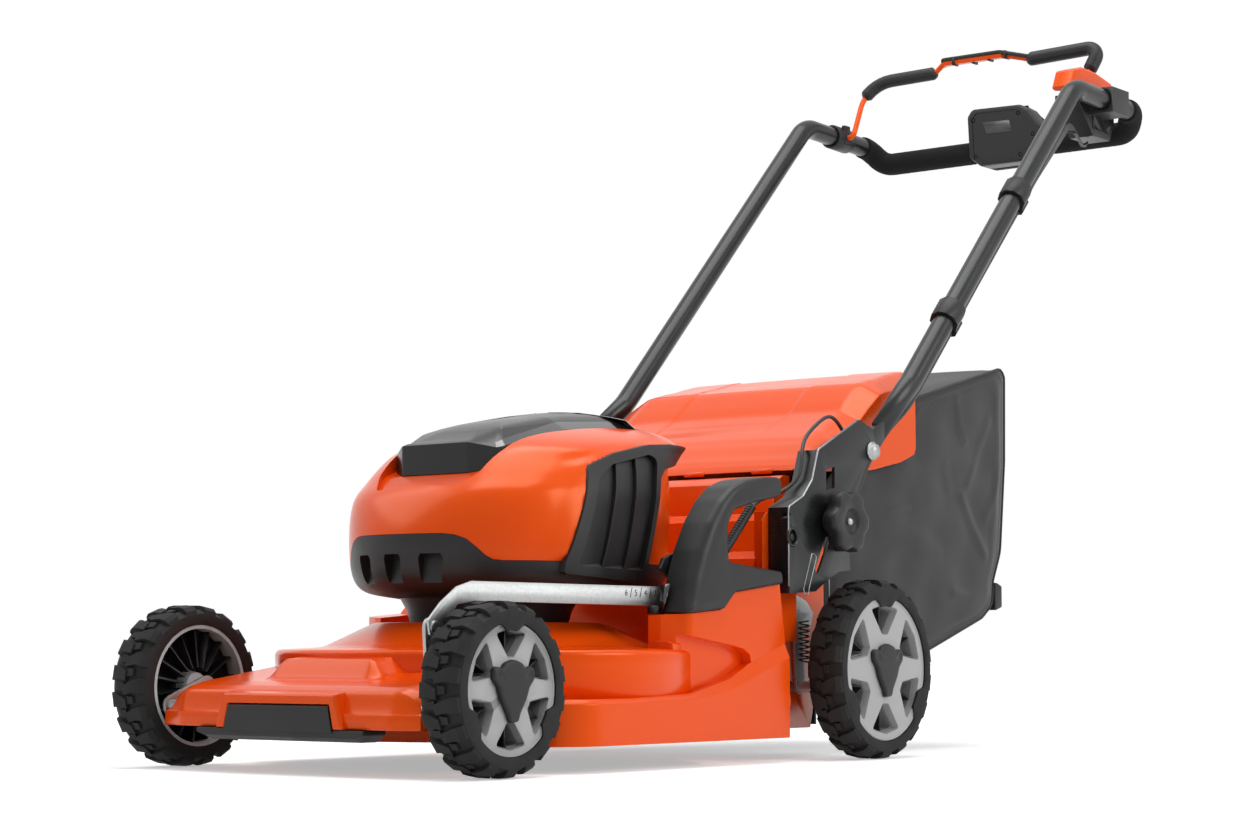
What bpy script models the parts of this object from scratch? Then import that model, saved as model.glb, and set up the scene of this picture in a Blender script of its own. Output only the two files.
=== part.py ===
"""Cordless lawn mower with a rear grass bag, as separate named pieces.

Units are metres and +Z is up. The mower faces -Y, its left side is +X. Every piece is drawn from
the front axle's ground point, and the "mower" empty moves them all so that the origin lies on the
ground under the middle of the whole machine. Side-view outlines are (y, z) pairs.
"""

import math

import bmesh
import bpy
from mathutils import Matrix, Vector

# Wheels
FRONT_WHEEL_R = 0.0875
REAR_WHEEL_R = 0.1040
FRONT_WHEEL_WIDTH = 0.0530
REAR_WHEEL_WIDTH = 0.0476
FRONT_HALF_TRACK = 0.2500
SPRING_X = 0.2160
SPRING_TO_WHEEL = 0.0249
REAR_HALF_TRACK = SPRING_X + SPRING_TO_WHEEL + REAR_WHEEL_WIDTH
WHEELBASE = 0.6230
FRONT_RIM_R = 0.0666
REAR_RIM_R = 0.0837
TREAD_DEPTH = 0.0050
FRONT_LUGS = 14
REAR_LUGS = 14
SPOKES = 6
HUB_R = 0.0140
RIM_INSET = 0.0040
RIM_DISC = 0.0070
CAP_R = 0.0300
CAP_THICKNESS = 0.0060
RIM_SIDES = 16

# Cranked axles and the height bar
AXLE_R = 0.0060
CRANK_BACK = 0.0500
CRANK_RISE = 0.0205
LINK_BACK = -0.0060
LINK_RISE = 0.0820
ARM_THICKNESS = 0.0040
ARM_HALF_WIDTH = 0.0110
ARM_TO_NOSE = 0.0030
ARM_TO_WHEEL = 0.0029
PIN_R = 0.0040
BAR_X = 0.1920
BAR_THICKNESS = 0.0030
BAR_HEIGHT = 0.0200
BAR_STRAIGHT_Z = 0.1850
SPRING_Y = 0.5570
SPRING_LOW = 0.1100
SPRING_HIGH = 0.1600
SPRING_COIL_R = 0.0062
SPRING_WIRE_R = 0.0010
SPRING_TURNS = 8
SPRING_STEPS = 7

# Deck
SHEET = 0.0020
SKIRT_HALF = 0.2450
SKIRT_FRONT = 0.0900
SKIRT_BOTTOM = 0.0275
SKIRT_TOP = 0.0670
SKIRT_CORNER = 0.0600
DECK_REAR = 0.4970
BLADE_Y = 0.2500
DRUM_R = 0.2380
DRUM_TOP = 0.1260
DOME_R = 0.1250
DOME_TOP = 0.1560
SHAFT_HOLE_R = 0.0140
NOSE_HALF = 0.1840
NOSE_FRONT = -0.0720
NOSE_BOTTOM = 0.0470
NOSE_LIP = 0.0620
NOSE_TOP_FRONT = 0.0940
NOSE_TOP_REAR = 0.1180
PLATEAU_HALF = 0.0630
PLATEAU_FRONT = -0.0055
PLATEAU_TOP = 0.1180
PANEL_FRONT = 0.3850
PANEL_INNER = 0.2050
TOWER_FRONT = 0.2960
TOWER_OUTER = 0.2260
TOWER_LOW = 0.1640
TOWER_STEP_Y = 0.3600
TOWER_HIGH = 0.1890
PANEL_TOP = 0.2000
CHUTE_HALF = 0.1880
CHUTE_WALL = 0.0040
CHUTE_FRONT = 0.4700
CHUTE_REAR = 0.6400
CHUTE_TOP = 0.3300
CHUTE_CROWN = 0.0840
CHUTE_STEPS = 4
CHUTE_FOOT = 0.0350
CHUTE_FLOOR_FRONT = 0.0600
CHUTE_FLOOR_REAR = 0.1500
BOX_TOP = 0.2850
BOX_BOTTOM = 0.2120
BOX_DEPTH = 0.0450

# Front bumper and rear guard
BUMPER_HALF = 0.0720
BUMPER_TOP = 0.0705
BUMPER_DEPTH = 0.0060
BUMPER_FOOT = 0.0340
BUMPER_FOOT_HALF = 0.1200
GUARD_HALF = 0.1780
GUARD_DROP = 0.1000
GUARD_THICKNESS = 0.0035

# Motor casing as level sections: height, front, rear, half width, depth of the front curve, fullness
CASING = [
    (0.1830, 0.1500, 0.3700, 0.1080, 0.1080, 2.0),
    (0.1890, 0.1180, 0.4200, 0.1420, 0.1420, 2.0),
    (0.2000, 0.1020, 0.4360, 0.1530, 0.1530, 2.0),
    (0.2200, 0.0950, 0.4420, 0.1570, 0.1570, 2.0),
    (0.2500, 0.0930, 0.4440, 0.1580, 0.1580, 2.0),
    (0.2900, 0.1120, 0.4440, 0.1560, 0.1660, 2.5),
    (0.3120, 0.1330, 0.4430, 0.1520, 0.1600, 2.6),
    (0.3320, 0.1520, 0.4430, 0.1460, 0.1600, 2.6),
    (0.3460, 0.1720, 0.4640, 0.1400, 0.1450, 2.6),
    (0.3580, 0.1940, 0.4760, 0.1310, 0.1750, 2.6),
    (0.3700, 0.2300, 0.4680, 0.1100, 0.1700, 2.4),
    (0.3810, 0.2850, 0.4480, 0.0770, 0.1200, 2.2),
    (0.3890, 0.3350, 0.4200, 0.0380, 0.0420, 2.0),
]
REAR_FULLNESS = 3.6
CASING_WALL = 0.0040
CASING_POINTS = 20
CASING_FLOOR = 0.1790
COLLAR_R = 0.0945
SPLIT_FRONT_Z = 0.2500
SPLIT_SIDE_Z = 0.2210
SPLIT_START_Y = 0.1120
SPLIT_END_Y = 0.1310
SCOOPS = 3
SCOOP_TURN = 18
SCOOP_HALF = 0.0170
SCOOP_LOW = 0.1950
SCOOP_HIGH = 0.2280
SCOOP_DEPTH = 0.0120
GRILLE_PROUD = 0.0035
GRILLE_OUTLINE = [
    (0.1960, 0.2070), (0.1960, 0.2190), (0.2400, 0.3260), (0.2870, 0.3420), (0.3580, 0.3560),
    (0.4000, 0.3590), (0.4660, 0.3570), (0.4630, 0.3500), (0.4150, 0.3360), (0.3700, 0.3280),
    (0.3630, 0.3180), (0.3230, 0.1990),
]
GRILLE_INNER = 0.1050
LID_PLAN = [(0.0490, 0.1570), (0.0780, 0.1800), (0.0850, 0.2800), (0.0850, 0.4150)]
LID_SEAT = [(0.0, 0.3175), (0.1570, 0.3175), (0.3000, 0.3520), (0.4600, 0.3660), (0.6000, 0.3660)]
LID_PROUD = 0.0080
LID_WALL = 0.0040
LID_HINGE_Z = 0.3975
TRAY_PLAN = [(0.0570, 0.1260), (0.0740, 0.1500), (0.0800, 0.1850)]
TRAY_FLOOR = [(0.0, 0.2910), (0.1260, 0.2910), (0.1570, 0.3165), (0.1900, 0.3290)]

# Battery, motor and blade
BATTERY_HALF = 0.0460
BATTERY_FRONT = 0.2300
BATTERY_REAR = 0.3850
BATTERY_BOTTOM = 0.2620
BATTERY_TOP = 0.3700
MOTOR_R = 0.0720
MOTOR_TOP = 0.2450
SHAFT_R = 0.0100
FLANGE_R = 0.0280
FLANGE_THICKNESS = 0.0080
BLADE_LENGTH = 0.4600
BLADE_WIDTH = 0.0560
BLADE_THICKNESS = 0.0040
BLADE_Z = 0.0480
BLADE_BOLT_R = 0.0050

# Height handle
GRIP_INNER = 0.2060
GRIP_OUTER = 0.2460
GRIP_OUTLINE = [
    (0.2960, 0.1645), (0.3600, 0.1705), (0.3810, 0.1895), (0.4740, 0.2005), (0.4720, 0.2145),
    (0.4240, 0.2210), (0.3790, 0.2250), (0.3700, 0.2370), (0.3710, 0.2620), (0.3830, 0.2780),
    (0.4060, 0.2880), (0.4600, 0.3000), (0.4710, 0.3120), (0.4560, 0.3200), (0.3740, 0.3040),
    (0.3375, 0.2690), (0.3190, 0.2360), (0.2990, 0.2040),
]
LATCH_X = 0.1985
LATCH_THICKNESS = 0.0050
LATCH_PIN_Y = 0.3500
LATCH_PIN_Z = 0.2320

# Handle brackets, their bolts and knobs
PIVOT_Y = 0.6610
PIVOT_Z = 0.3620
KNOB_Y = 0.5780
KNOB_Z = 0.2740
HANDLE_HALF = 0.2240
BRACKET_OUTER = HANDLE_HALF + 0.0200
BRACKET_PLATE = 0.0040
BRACKET_FLANGE = 0.0290
BRACKET_TAB = 0.0400
BRACKET_OUTLINE = [
    (-0.1740, -0.1720), (-0.1740, -0.0740), (-0.1450, -0.0610), (-0.1260, -0.0410), (-0.1130, -0.0050),
    (-0.0260, 0.0360), (0.0040, 0.0260), (0.0120, 0.0020), (-0.0060, -0.0200), (-0.0540, -0.0900),
    (-0.0480, -0.1430), (-0.0710, -0.1450), (-0.0990, -0.1570), (-0.1210, -0.1690),
]
SLOT_TRAVEL = 0.0650
SLOT_DOWN = 58.5
BOLT_R = 0.0040
PIVOT_BOLT_R = 0.0050
BOLT_HEAD_R = 0.0090
BOLT_HEAD = 0.0050
KNOB_R = 0.0385
KNOB_LOBES = 6
KNOB_THICKNESS = 0.0265

# Handle
TUBE_R = 0.0140
TUBE_WALL = 0.0020
TUBE_START = 0.0420
TANG_THICKNESS = 0.0060
TANG_HALF_WIDTH = 0.0150
KNEE_Y = 0.7820
KNEE_Z = 0.4550
HANDLE_TOP_Y = 1.2160
HANDLE_TOP_Z = 0.9000
HANDLE_END_Y = 1.3880
HANDLE_END_Z = 0.8930
HANDLE_BAR_Y = 1.4080
HANDLE_BAR_Z = 0.8690
HANDLE_BAR_HALF = 0.2060
FOAM_R = 0.0155
FOAM_FRONT = 1.3710
FOAM_INNER = 0.0900
CLIP_LOW = (0.8730, 0.5480)
CLIP_HIGH = (1.0480, 0.7277)
CLIP_LENGTH = 0.0300
CLIP_WALL = 0.0040
CABLE_R = 0.0025
CABLE_LIFT = 0.0028
CABLE_FROM_PLATE = 0.0160
SLEEVE_X = 0.1995
SLEEVE_R = 0.0056
SLEEVE_GROOVE_R = 0.0049

# Controls on the handle
BOX_LEFT = 0.0850
BOX_RIGHT = -0.0440
CONTROL_LOW = 0.8410
CONTROL_HIGH = 0.9300
CONTROL_CORNERS = (0.0110, 0.0260)
CONTROL_FRONT = 1.3780
CONTROL_BACK = 1.4230
PANEL_SLOPE = 0.0350
PANEL_THICKNESS = 0.0020
BUTTON_R = 0.0065
BUTTON_DEPTH = 0.0050
BUTTON_TRAVEL = 0.0020
SWITCH_INNER = 0.1680
SWITCH_OUTER = 0.2050
SWITCH_OUTLINE = [
    (-0.0420, -0.0020), (0.0000, -0.0470), (0.0500, -0.0470), (0.0640, -0.0200), (0.0640, 0.0240),
    (-0.0420, 0.0080),
]
LEVER_OUTLINE = [
    (-0.0560, 0.0160), (-0.0500, 0.0130), (0.0600, 0.0290), (0.0700, 0.0340), (0.0680, 0.0400),
    (0.0200, 0.0480), (-0.0200, 0.0490), (-0.0440, 0.0420),
]
LEVER_CLEARANCE = 0.0045
BAIL_PIVOT_Y = 1.3060
BAIL_PIVOT_Z = 0.8960
BAIL_BAR_Y = 1.3450
BAIL_RISE = 0.0530
BAIL_BAR_Z = CONTROL_HIGH + BAIL_RISE
BAIL_SKEW = 0.0480
BAIL_ARCH = 0.0130
BAIL_R = 0.0040
BAIL_GRIP_R = 0.0095
BAIL_MIDDLE_R = 0.0062
BAIL_MIDDLE = (-0.0750, 0.0350)
CLAMP_LENGTH = 0.0440

# Flap and grass bag
FLAP_HALF = 0.1955
FLAP_SHOULDER = 0.62
FLAP_SHEET = 0.0030
FLAP_HINGE_Y = 0.5650
FLAP_HINGE_Z = 0.3380
FLAP_CREASE = [
    (0.5700, 0.3370, 0.1955), (0.5880, 0.3510, 0.1900), (0.6270, 0.3760, 0.1800), (0.6480, 0.3880, 0.1750),
    (0.6830, 0.4020, 0.1700), (0.7360, 0.4270, 0.1650), (0.7770, 0.4400, 0.1640), (0.8030, 0.4460, 0.1630),
    (0.8390, 0.4545, 0.1630), (0.8620, 0.4590, 0.1630),
]
FLAP_EDGE = [
    (0.5700, 0.3340), (0.5880, 0.3345), (0.6270, 0.3375), (0.6480, 0.3395), (0.6830, 0.3420),
    (0.7360, 0.3455), (0.7770, 0.3535), (0.8030, 0.3590), (0.8350, 0.3700), (0.8390, 0.3780),
]
HUMP_RISE = 0.0150
HUMP_PLAN = [(0.0520, 0.7150), (0.0650, 0.7900), (0.0760, 0.8540)]
HUMP_TOP_PLAN = [(0.0450, 0.7550), (0.0580, 0.8000), (0.0700, 0.8540)]
BAG_HALF = 0.1900
BAG_WALL = 0.0040
BAG_OUTLINE = [
    (0.0060, -0.1880), (0.0060, -0.0120), (0.0600, 0.0370), (0.1350, 0.0820), (0.2080, 0.1010),
    (0.2190, 0.1140), (0.4350, 0.1700), (0.4460, 0.1610), (0.4430, 0.0460), (0.4290, -0.0750),
    (0.4090, -0.1140), (0.4060, -0.1450), (0.3800, -0.1620), (0.2250, -0.2100), (0.0800, -0.2120),
]
BAG_FRAME_R = 0.0035
BAG_GRIP_HALF = 0.1860
BAG_GRIP_DEPTH = 0.0180
BAG_GRIP_LOW = 0.1780
BAG_GRIP_HIGH = 0.2140

# Gaps between neighbours
GAP = 0.0003
RUN = 0.0006

# The whole machine runs from the front tyres to the back of the handle
MID_Y = (HANDLE_BAR_Y + FOAM_R - FRONT_WHEEL_R) / 2

X = Vector((1, 0, 0))
Y = Vector((0, 1, 0))
Z = Vector((0, 0, 1))
SIDES = {"left": 1, "right": -1}


def clear_scene():
    """Removes whatever the file opened with."""
    for obj in list(bpy.data.objects):
        bpy.data.objects.remove(obj, do_unlink=True)


def material(name, colour, roughness, metallic=0.0):
    """A plain Principled material from an sRGB hex colour."""
    channels = [int(colour[i:i + 2], 16) / 255 for i in (0, 2, 4)]
    linear = [c / 12.92 if c <= 0.04045 else ((c + 0.055) / 1.055) ** 2.4 for c in channels]
    made = bpy.data.materials.new(name)
    made.use_nodes = True
    shader = made.node_tree.nodes["Principled BSDF"]
    shader.inputs["Base Color"].default_value = (*linear, 1)
    shader.inputs["Roughness"].default_value = roughness
    shader.inputs["Metallic"].default_value = metallic
    made.diffuse_color = (*linear, 1)
    return made


def arc(centre, radius, start, end, steps):
    """Points on an arc in a plane, angles in degrees."""
    turns = [math.radians(start + (end - start) * i / steps) for i in range(steps + 1)]
    return [(centre[0] + radius * math.cos(t), centre[1] + radius * math.sin(t)) for t in turns]


def rounded(points, radius, steps=3, closed=True):
    """A polygon or path with its corners turned into arcs, in two or three dimensions."""
    size = len(points[0])
    corners = [Vector(p).to_3d() for p in points]
    radii = radius if isinstance(radius, (list, tuple)) else [radius] * len(corners)
    out = []
    for i, corner in enumerate(corners):
        ends = not closed and i in (0, len(corners) - 1)
        before = (corners[i - 1] - corner).normalized()
        after = (corners[(i + 1) % len(corners)] - corner).normalized()
        half = before.angle(after) / 2 if not ends else 0
        if ends or radii[i] <= 0 or abs(half - math.pi / 2) < 1e-3:
            out.append(corner)
            continue
        reach = radii[i] / math.tan(half)
        centre = corner + (before + after).normalized() * radii[i] / math.sin(half)
        first = corner + before * reach - centre
        last = corner + after * reach - centre
        sweep = first.angle(last)
        for k in range(steps + 1):
            t = k / steps
            point = (first * math.sin((1 - t) * sweep) + last * math.sin(t * sweep)) / math.sin(sweep)
            out.append(centre + point)
    return [tuple(p[:size]) for p in out]


def facet_reach(radius, sides):
    """Corner radius of a polygon whose flats lie at this radius."""
    return radius / math.cos(math.pi / sides)


def loft(rings, closed=False):
    """A solid through rings of equal length, capped at both ends unless the rings close on themselves."""
    bm = bmesh.new()
    rows = [[bm.verts.new(p) for p in ring] for ring in rings]
    count = len(rows[0])
    pairs = list(zip(rows, rows[1:] + rows[:1])) if closed else list(zip(rows, rows[1:]))
    for low, high in pairs:
        for i in range(count):
            j = (i + 1) % count
            bm.faces.new((low[i], low[j], high[j], high[i]))
    if not closed:
        bm.faces.new(rows[0][::-1])
        bm.faces.new(rows[-1])
    bmesh.ops.recalc_face_normals(bm, faces=bm.faces)
    return bm


def prism(outline, axis, low, high):
    """An outline in the other two axes, run from low to high along this one."""
    def at(point, height):
        """The point in space over a point of the outline."""
        return {"x": (height, *point), "y": (point[0], height, point[1]), "z": (*point, height)}[axis]
    return loft([[at(p, low) for p in outline], [at(p, high) for p in outline]])


def block(low, high):
    """A box between two corners."""
    return prism([(low[0], low[1]), (high[0], low[1]), (high[0], high[1]), (low[0], high[1])], "z", low[2],
                 high[2])


def frame_of(axis):
    """Two directions square to an axis."""
    across = Z if abs(axis.dot(Z)) < 0.9 else X
    u = axis.cross(across).normalized()
    return u, axis.cross(u).normalized()


def turned(profile, centre, axis, sides, closed=False):
    """A turned solid: (radius, distance) points about an axis, with flats at each radius."""
    axis = Vector(axis).normalized()
    u, v = frame_of(axis)
    bm = bmesh.new()
    rows = []
    for radius, along in profile:
        base = Vector(centre) + axis * along
        if radius == 0:
            rows.append([bm.verts.new(base)])
            continue
        reach = facet_reach(radius, sides)
        spin = [2 * math.pi * (i + 0.5) / sides for i in range(sides)]
        rows.append([bm.verts.new(base + (u * math.cos(t) + v * math.sin(t)) * reach) for t in spin])
    if closed:
        rows.append(rows[0])
    for low, high in zip(rows, rows[1:]):
        for i in range(sides):
            j = (i + 1) % sides
            corners = [low[i % len(low)], low[j % len(low)], high[j % len(high)], high[i % len(high)]]
            corners = [c for k, c in enumerate(corners) if c not in corners[:k]]
            if len(corners) > 2:
                bm.faces.new(corners)
    if not closed:
        for row in (rows[0], rows[-1]):
            if len(row) > 1:
                bm.faces.new(row)
    bmesh.ops.recalc_face_normals(bm, faces=bm.faces)
    return bm


def rod(start, end, radius, sides=12):
    """A plain round bar between two points."""
    start = Vector(start)
    span = Vector(end) - start
    return turned([(radius, 0), (radius, span.length)], start, span, sides)


def sweep_rings(path, radius, sides):
    """Rings of a round section carried along a path without twist."""
    points = [Vector(p) for p in path]
    count = len(points)
    tangents = [(points[min(i + 1, count - 1)] - points[max(i - 1, 0)]).normalized() for i in range(count)]
    u, _ = frame_of(tangents[0])
    radii = radius if isinstance(radius, list) else [radius] * count
    rings = []
    for point, tangent, r in zip(points, tangents, radii):
        u = (u - tangent * u.dot(tangent)).normalized()
        v = tangent.cross(u)
        spin = [2 * math.pi * (i + 0.5) / sides for i in range(sides)]
        rings.append([point + (u * math.cos(t) + v * math.sin(t)) * r for t in spin])
    return rings


def pipe(path, radius, sides=10, bore=0.0):
    """A round bar or, with a bore, a tube along a path."""
    outer = sweep_rings(path, radius, sides)
    if not bore:
        return loft(outer)
    return loft(outer + sweep_rings(path, bore, sides)[::-1], closed=True)


def turn_about(bm, centre, axis, degrees):
    """Turns a shape about an axis through a centre."""
    bmesh.ops.rotate(bm, verts=bm.verts, cent=centre, matrix=Matrix.Rotation(math.radians(degrees), 3, axis))
    return bm


def mirrored(bm):
    """The same shape on the other side of the machine."""
    for vert in bm.verts:
        vert.co.x = -vert.co.x
    bmesh.ops.reverse_faces(bm, faces=bm.faces)
    return bm


def on_side(bm, side):
    """A shape drawn on the left, or its mirror image for the right."""
    return bm if side > 0 else mirrored(bm)


def merged(*shapes):
    """Several closed shapes in one mesh, for use as one cutter or as one set of joined solids."""
    whole = bmesh.new()
    for shape in shapes:
        mesh = bpy.data.meshes.new("merged")
        shape.to_mesh(mesh)
        shape.free()
        whole.from_mesh(mesh)
        bpy.data.meshes.remove(mesh)
    return whole


def piece(name, bm, finish, at=(0, 0, 0)):
    """A named piece of the machine, with its origin at a point of its own, such as on its joint's axis."""
    bmesh.ops.translate(bm, verts=bm.verts, vec=-Vector(at))
    mesh = bpy.data.meshes.new(name)
    bm.to_mesh(mesh)
    bm.free()
    mesh.materials.append(finish)
    mesh.shade_smooth()
    mesh.set_sharp_from_angle(angle=math.radians(35))
    obj = bpy.data.objects.new(name, mesh)
    obj.location = at
    obj.parent = MACHINE
    bpy.context.scene.collection.objects.link(obj)
    return obj


def helper(name, shape):
    """A hidden shape that only serves to cut or to extend a piece."""
    obj = piece(name, shape, HELPER)
    obj.hide_render = True
    obj.display_type = "WIRE"
    return obj


def reshape(obj, operation, *shapes):
    """Cuts shapes from a piece, joins them to it or keeps what they share, with one Boolean each."""
    for shape in shapes:
        name = f"{obj.name}_{operation.lower()}_{len(obj.modifiers)}"
        tool = shape if isinstance(shape, bpy.types.Object) else helper(name, shape)
        step = obj.modifiers.new(tool.name, "BOOLEAN")
        step.operation = operation
        step.solver = "EXACT"
        step.object = tool
    return obj


def cut(obj, *shapes):
    """Takes shapes away from a piece."""
    return reshape(obj, "DIFFERENCE", *shapes)


def join(obj, *shapes):
    """Adds overlapping shapes to a piece."""
    return reshape(obj, "UNION", *shapes)


def keep(obj, *shapes):
    """Keeps only what a piece shares with each shape."""
    return reshape(obj, "INTERSECT", *shapes)


def moved(points, y, z):
    """A side-view outline given from a point of its own."""
    return [(y + dy, z + dz) for dy, dz in points]


def both_ways(half, front, rear):
    """A plan rectangle centred on the machine."""
    return [(-half, front), (half, front), (half, rear), (-half, rear)]


def disc(centre, axis, radius, length, sides=16):
    """A round bar that starts at a centre."""
    return turned([(radius, 0), (radius, length)], centre, axis, sides)


def front_pivot():
    """Where the front crank turns, seen from the side."""
    return -CRANK_BACK, FRONT_WHEEL_R - CRANK_RISE


def rear_pivot():
    """Where the rear crank turns, seen from the side."""
    return WHEELBASE - CRANK_BACK, REAR_WHEEL_R - CRANK_RISE


def link_pin(pivot):
    """Where the height bar meets a crank's lever."""
    return pivot[0] + LINK_BACK, pivot[1] + LINK_RISE


# Wheels

def tyre(name, at, radius, width, rim_r, lugs):
    """A tyre with two staggered rows of lugs; one outer lug stands centred on the ground."""
    outward = 1 if at[0] > 0 else -1
    inner_face = abs(at[0]) - width / 2
    low = radius - TREAD_DEPTH
    high = radius / math.cos(0.22 * 2 * math.pi / lugs)
    bead = facet_reach(facet_reach(rim_r, RIM_SIDES) + GAP, 4 * lugs)
    stations = [(0.0, bead, None), (0.001, None, "inner"), (width / 2 - 0.001, None, "inner"),
                (width / 2 + 0.001, None, "outer"), (width - 0.001, None, "outer"), (width, bead, None)]
    samples = [(0.0, "outer"), (0.06, "inner"), (0.5, "inner"), (0.56, "outer")]
    rings = []
    for along, fixed, row in stations:
        ring = []
        for lug in range(lugs):
            for share, raised in samples:
                turn = 2 * math.pi * (lug + share - 0.78) / lugs - math.pi / 2
                reach = fixed or (high if raised == row else low)
                x = outward * (inner_face + along)
                ring.append((x, at[1] + reach * math.cos(turn), at[2] + reach * math.sin(turn)))
        rings.append(ring)
    return piece(name, loft(rings, closed=True), RUBBER, at)


def rim(name, at, radius, width):
    """A moulded rim: barrel, pierced disc and hub."""
    side = 1 if at[0] > 0 else -1
    face = width / 2 - RIM_INSET
    back = face - RIM_DISC
    barrel = radius - 0.0060
    bore = AXLE_R + RUN
    profile = [(radius, -width / 2 + 0.002), (radius, face), (bore, face), (bore, -width / 2 + 0.008),
               (HUB_R, -width / 2 + 0.008), (HUB_R, back), (barrel, back - 0.003),
               (barrel, -width / 2 + 0.002)]
    body = piece(name, turned(profile, at, X * side, RIM_SIDES, closed=True), RIM_GREY, at)
    windows = []
    for spoke in range(SPOKES):
        middle = 2 * math.pi * (spoke + 0.5) / SPOKES + math.pi / 2
        corners = [(0.44, 0.20), (0.84, 0.33), (0.84, -0.33), (0.44, -0.20)]
        outline = [(at[1] + radius * share * math.cos(middle + turn),
                    at[2] + radius * share * math.sin(middle + turn)) for share, turn in corners]
        x = at[0] + side * (back - 0.006)
        windows.append(prism(outline, "x", *sorted((x, at[0] + side * (face + 0.004)))))
    return cut(body, merged(*windows))


def hub_cap(name, at, width):
    """A cap with a round head, two ears and a tapered tongue."""
    side = 1 if at[0] > 0 else -1
    shape = [(0.25, -1.0), (0.45, -0.45), (0.72, 0.05), (1.0, 0.42), (0.98, 0.72), (0.72, 0.80), (0.50, 0.70),
             (0.30, 0.93), (0.0, 1.0)]
    shape = shape + [(-y, z) for y, z in shape[-2::-1]]
    base = abs(at[0]) + width / 2 - RIM_INSET + GAP
    levels = [(0.0, 1.0), (CAP_THICKNESS * 0.65, 0.96), (CAP_THICKNESS, 0.84)]
    rings = [[(side * (base + level), at[1] + CAP_R * scale * y, at[2] + CAP_R * scale * z) for y, z in shape]
             for level, scale in levels]
    body = piece(name, loft(rings), BLACK, at)
    stud = AXLE_R - RUN
    foot = side * (base - 0.004)
    return join(body, disc((foot, at[1], at[2]), X * side, stud, CAP_THICKNESS, 12))


def wheels():
    """Four wheels, each a tyre, a rim and a cap."""
    for side_name, side in SIDES.items():
        front = (side * (FRONT_HALF_TRACK - FRONT_WHEEL_WIDTH / 2), 0, FRONT_WHEEL_R)
        rear = (side * (REAR_HALF_TRACK - REAR_WHEEL_WIDTH / 2), WHEELBASE, REAR_WHEEL_R)
        tyre(f"tyre_front_{side_name}", front, FRONT_WHEEL_R, FRONT_WHEEL_WIDTH, FRONT_RIM_R, FRONT_LUGS)
        tyre(f"tyre_rear_{side_name}", rear, REAR_WHEEL_R, REAR_WHEEL_WIDTH, REAR_RIM_R, REAR_LUGS)
        rim(f"rim_front_{side_name}", front, FRONT_RIM_R, FRONT_WHEEL_WIDTH)
        rim(f"rim_rear_{side_name}", rear, REAR_RIM_R, REAR_WHEEL_WIDTH)
        hub_cap(f"hub_cap_front_{side_name}", front, FRONT_WHEEL_WIDTH)
        hub_cap(f"hub_cap_rear_{side_name}", rear, REAR_WHEEL_WIDTH)


# Axles, height bar and spring

def arm(start, end, low, high, half_width=ARM_HALF_WIDTH):
    """A flat lever with round ends, between two points seen from the side."""
    span = math.atan2(end[1] - start[1], end[0] - start[0])
    turn = math.degrees(span)
    outline = arc(end, half_width, turn - 90, turn + 90, 6) + arc(start, half_width, turn + 90, turn + 270, 6)
    return prism(outline, "x", low, high)


def cranked_axle(name, pivot, wheel, arm_inner, reach, lever_inner, pin):
    """A cross rod with an arm and a stub for each wheel, and on the left a lever with the bar's pin."""
    arm_outer = arm_inner + ARM_THICKNESS
    body = piece(name, disc((-arm_outer + RUN, *pivot), X, AXLE_R, 2 * (arm_outer - RUN), 10), ZINC,
                 (0, *pivot))
    for side in (-1, 1):
        low, high = sorted((side * arm_inner, side * arm_outer))
        start = side * (arm_inner + 0.001)
        join(body, arm(pivot, wheel, low, high))
        join(body, disc((start, *wheel), X * side, AXLE_R, reach - arm_inner - 0.001, 10))
    lever = arm(pivot, link_pin(pivot), lever_inner, lever_inner + ARM_THICKNESS, 0.009)
    return join(body, lever, disc((pin[0], *link_pin(pivot)), X, PIN_R, pin[1] - pin[0], 12))


def axles():
    """The two cranked axles that carry the wheels and set the cutting height."""
    front_inner = NOSE_HALF + ARM_TO_NOSE
    front_reach = FRONT_HALF_TRACK - RIM_INSET - 0.005
    bar_outer = BAR_X + BAR_THICKNESS
    cranked_axle("front_axle", front_pivot(), (0, FRONT_WHEEL_R), front_inner, front_reach,
                 front_inner, (front_inner + 0.001, bar_outer + 0.001))
    rear_inner = REAR_HALF_TRACK - REAR_WHEEL_WIDTH - ARM_TO_WHEEL - ARM_THICKNESS
    rear_reach = REAR_HALF_TRACK - RIM_INSET - 0.005
    cranked_axle("rear_axle", rear_pivot(), (WHEELBASE, REAR_WHEEL_R), rear_inner, rear_reach,
                 bar_outer + 0.0015, (BAR_X - 0.0012, bar_outer + 0.003))


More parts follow.
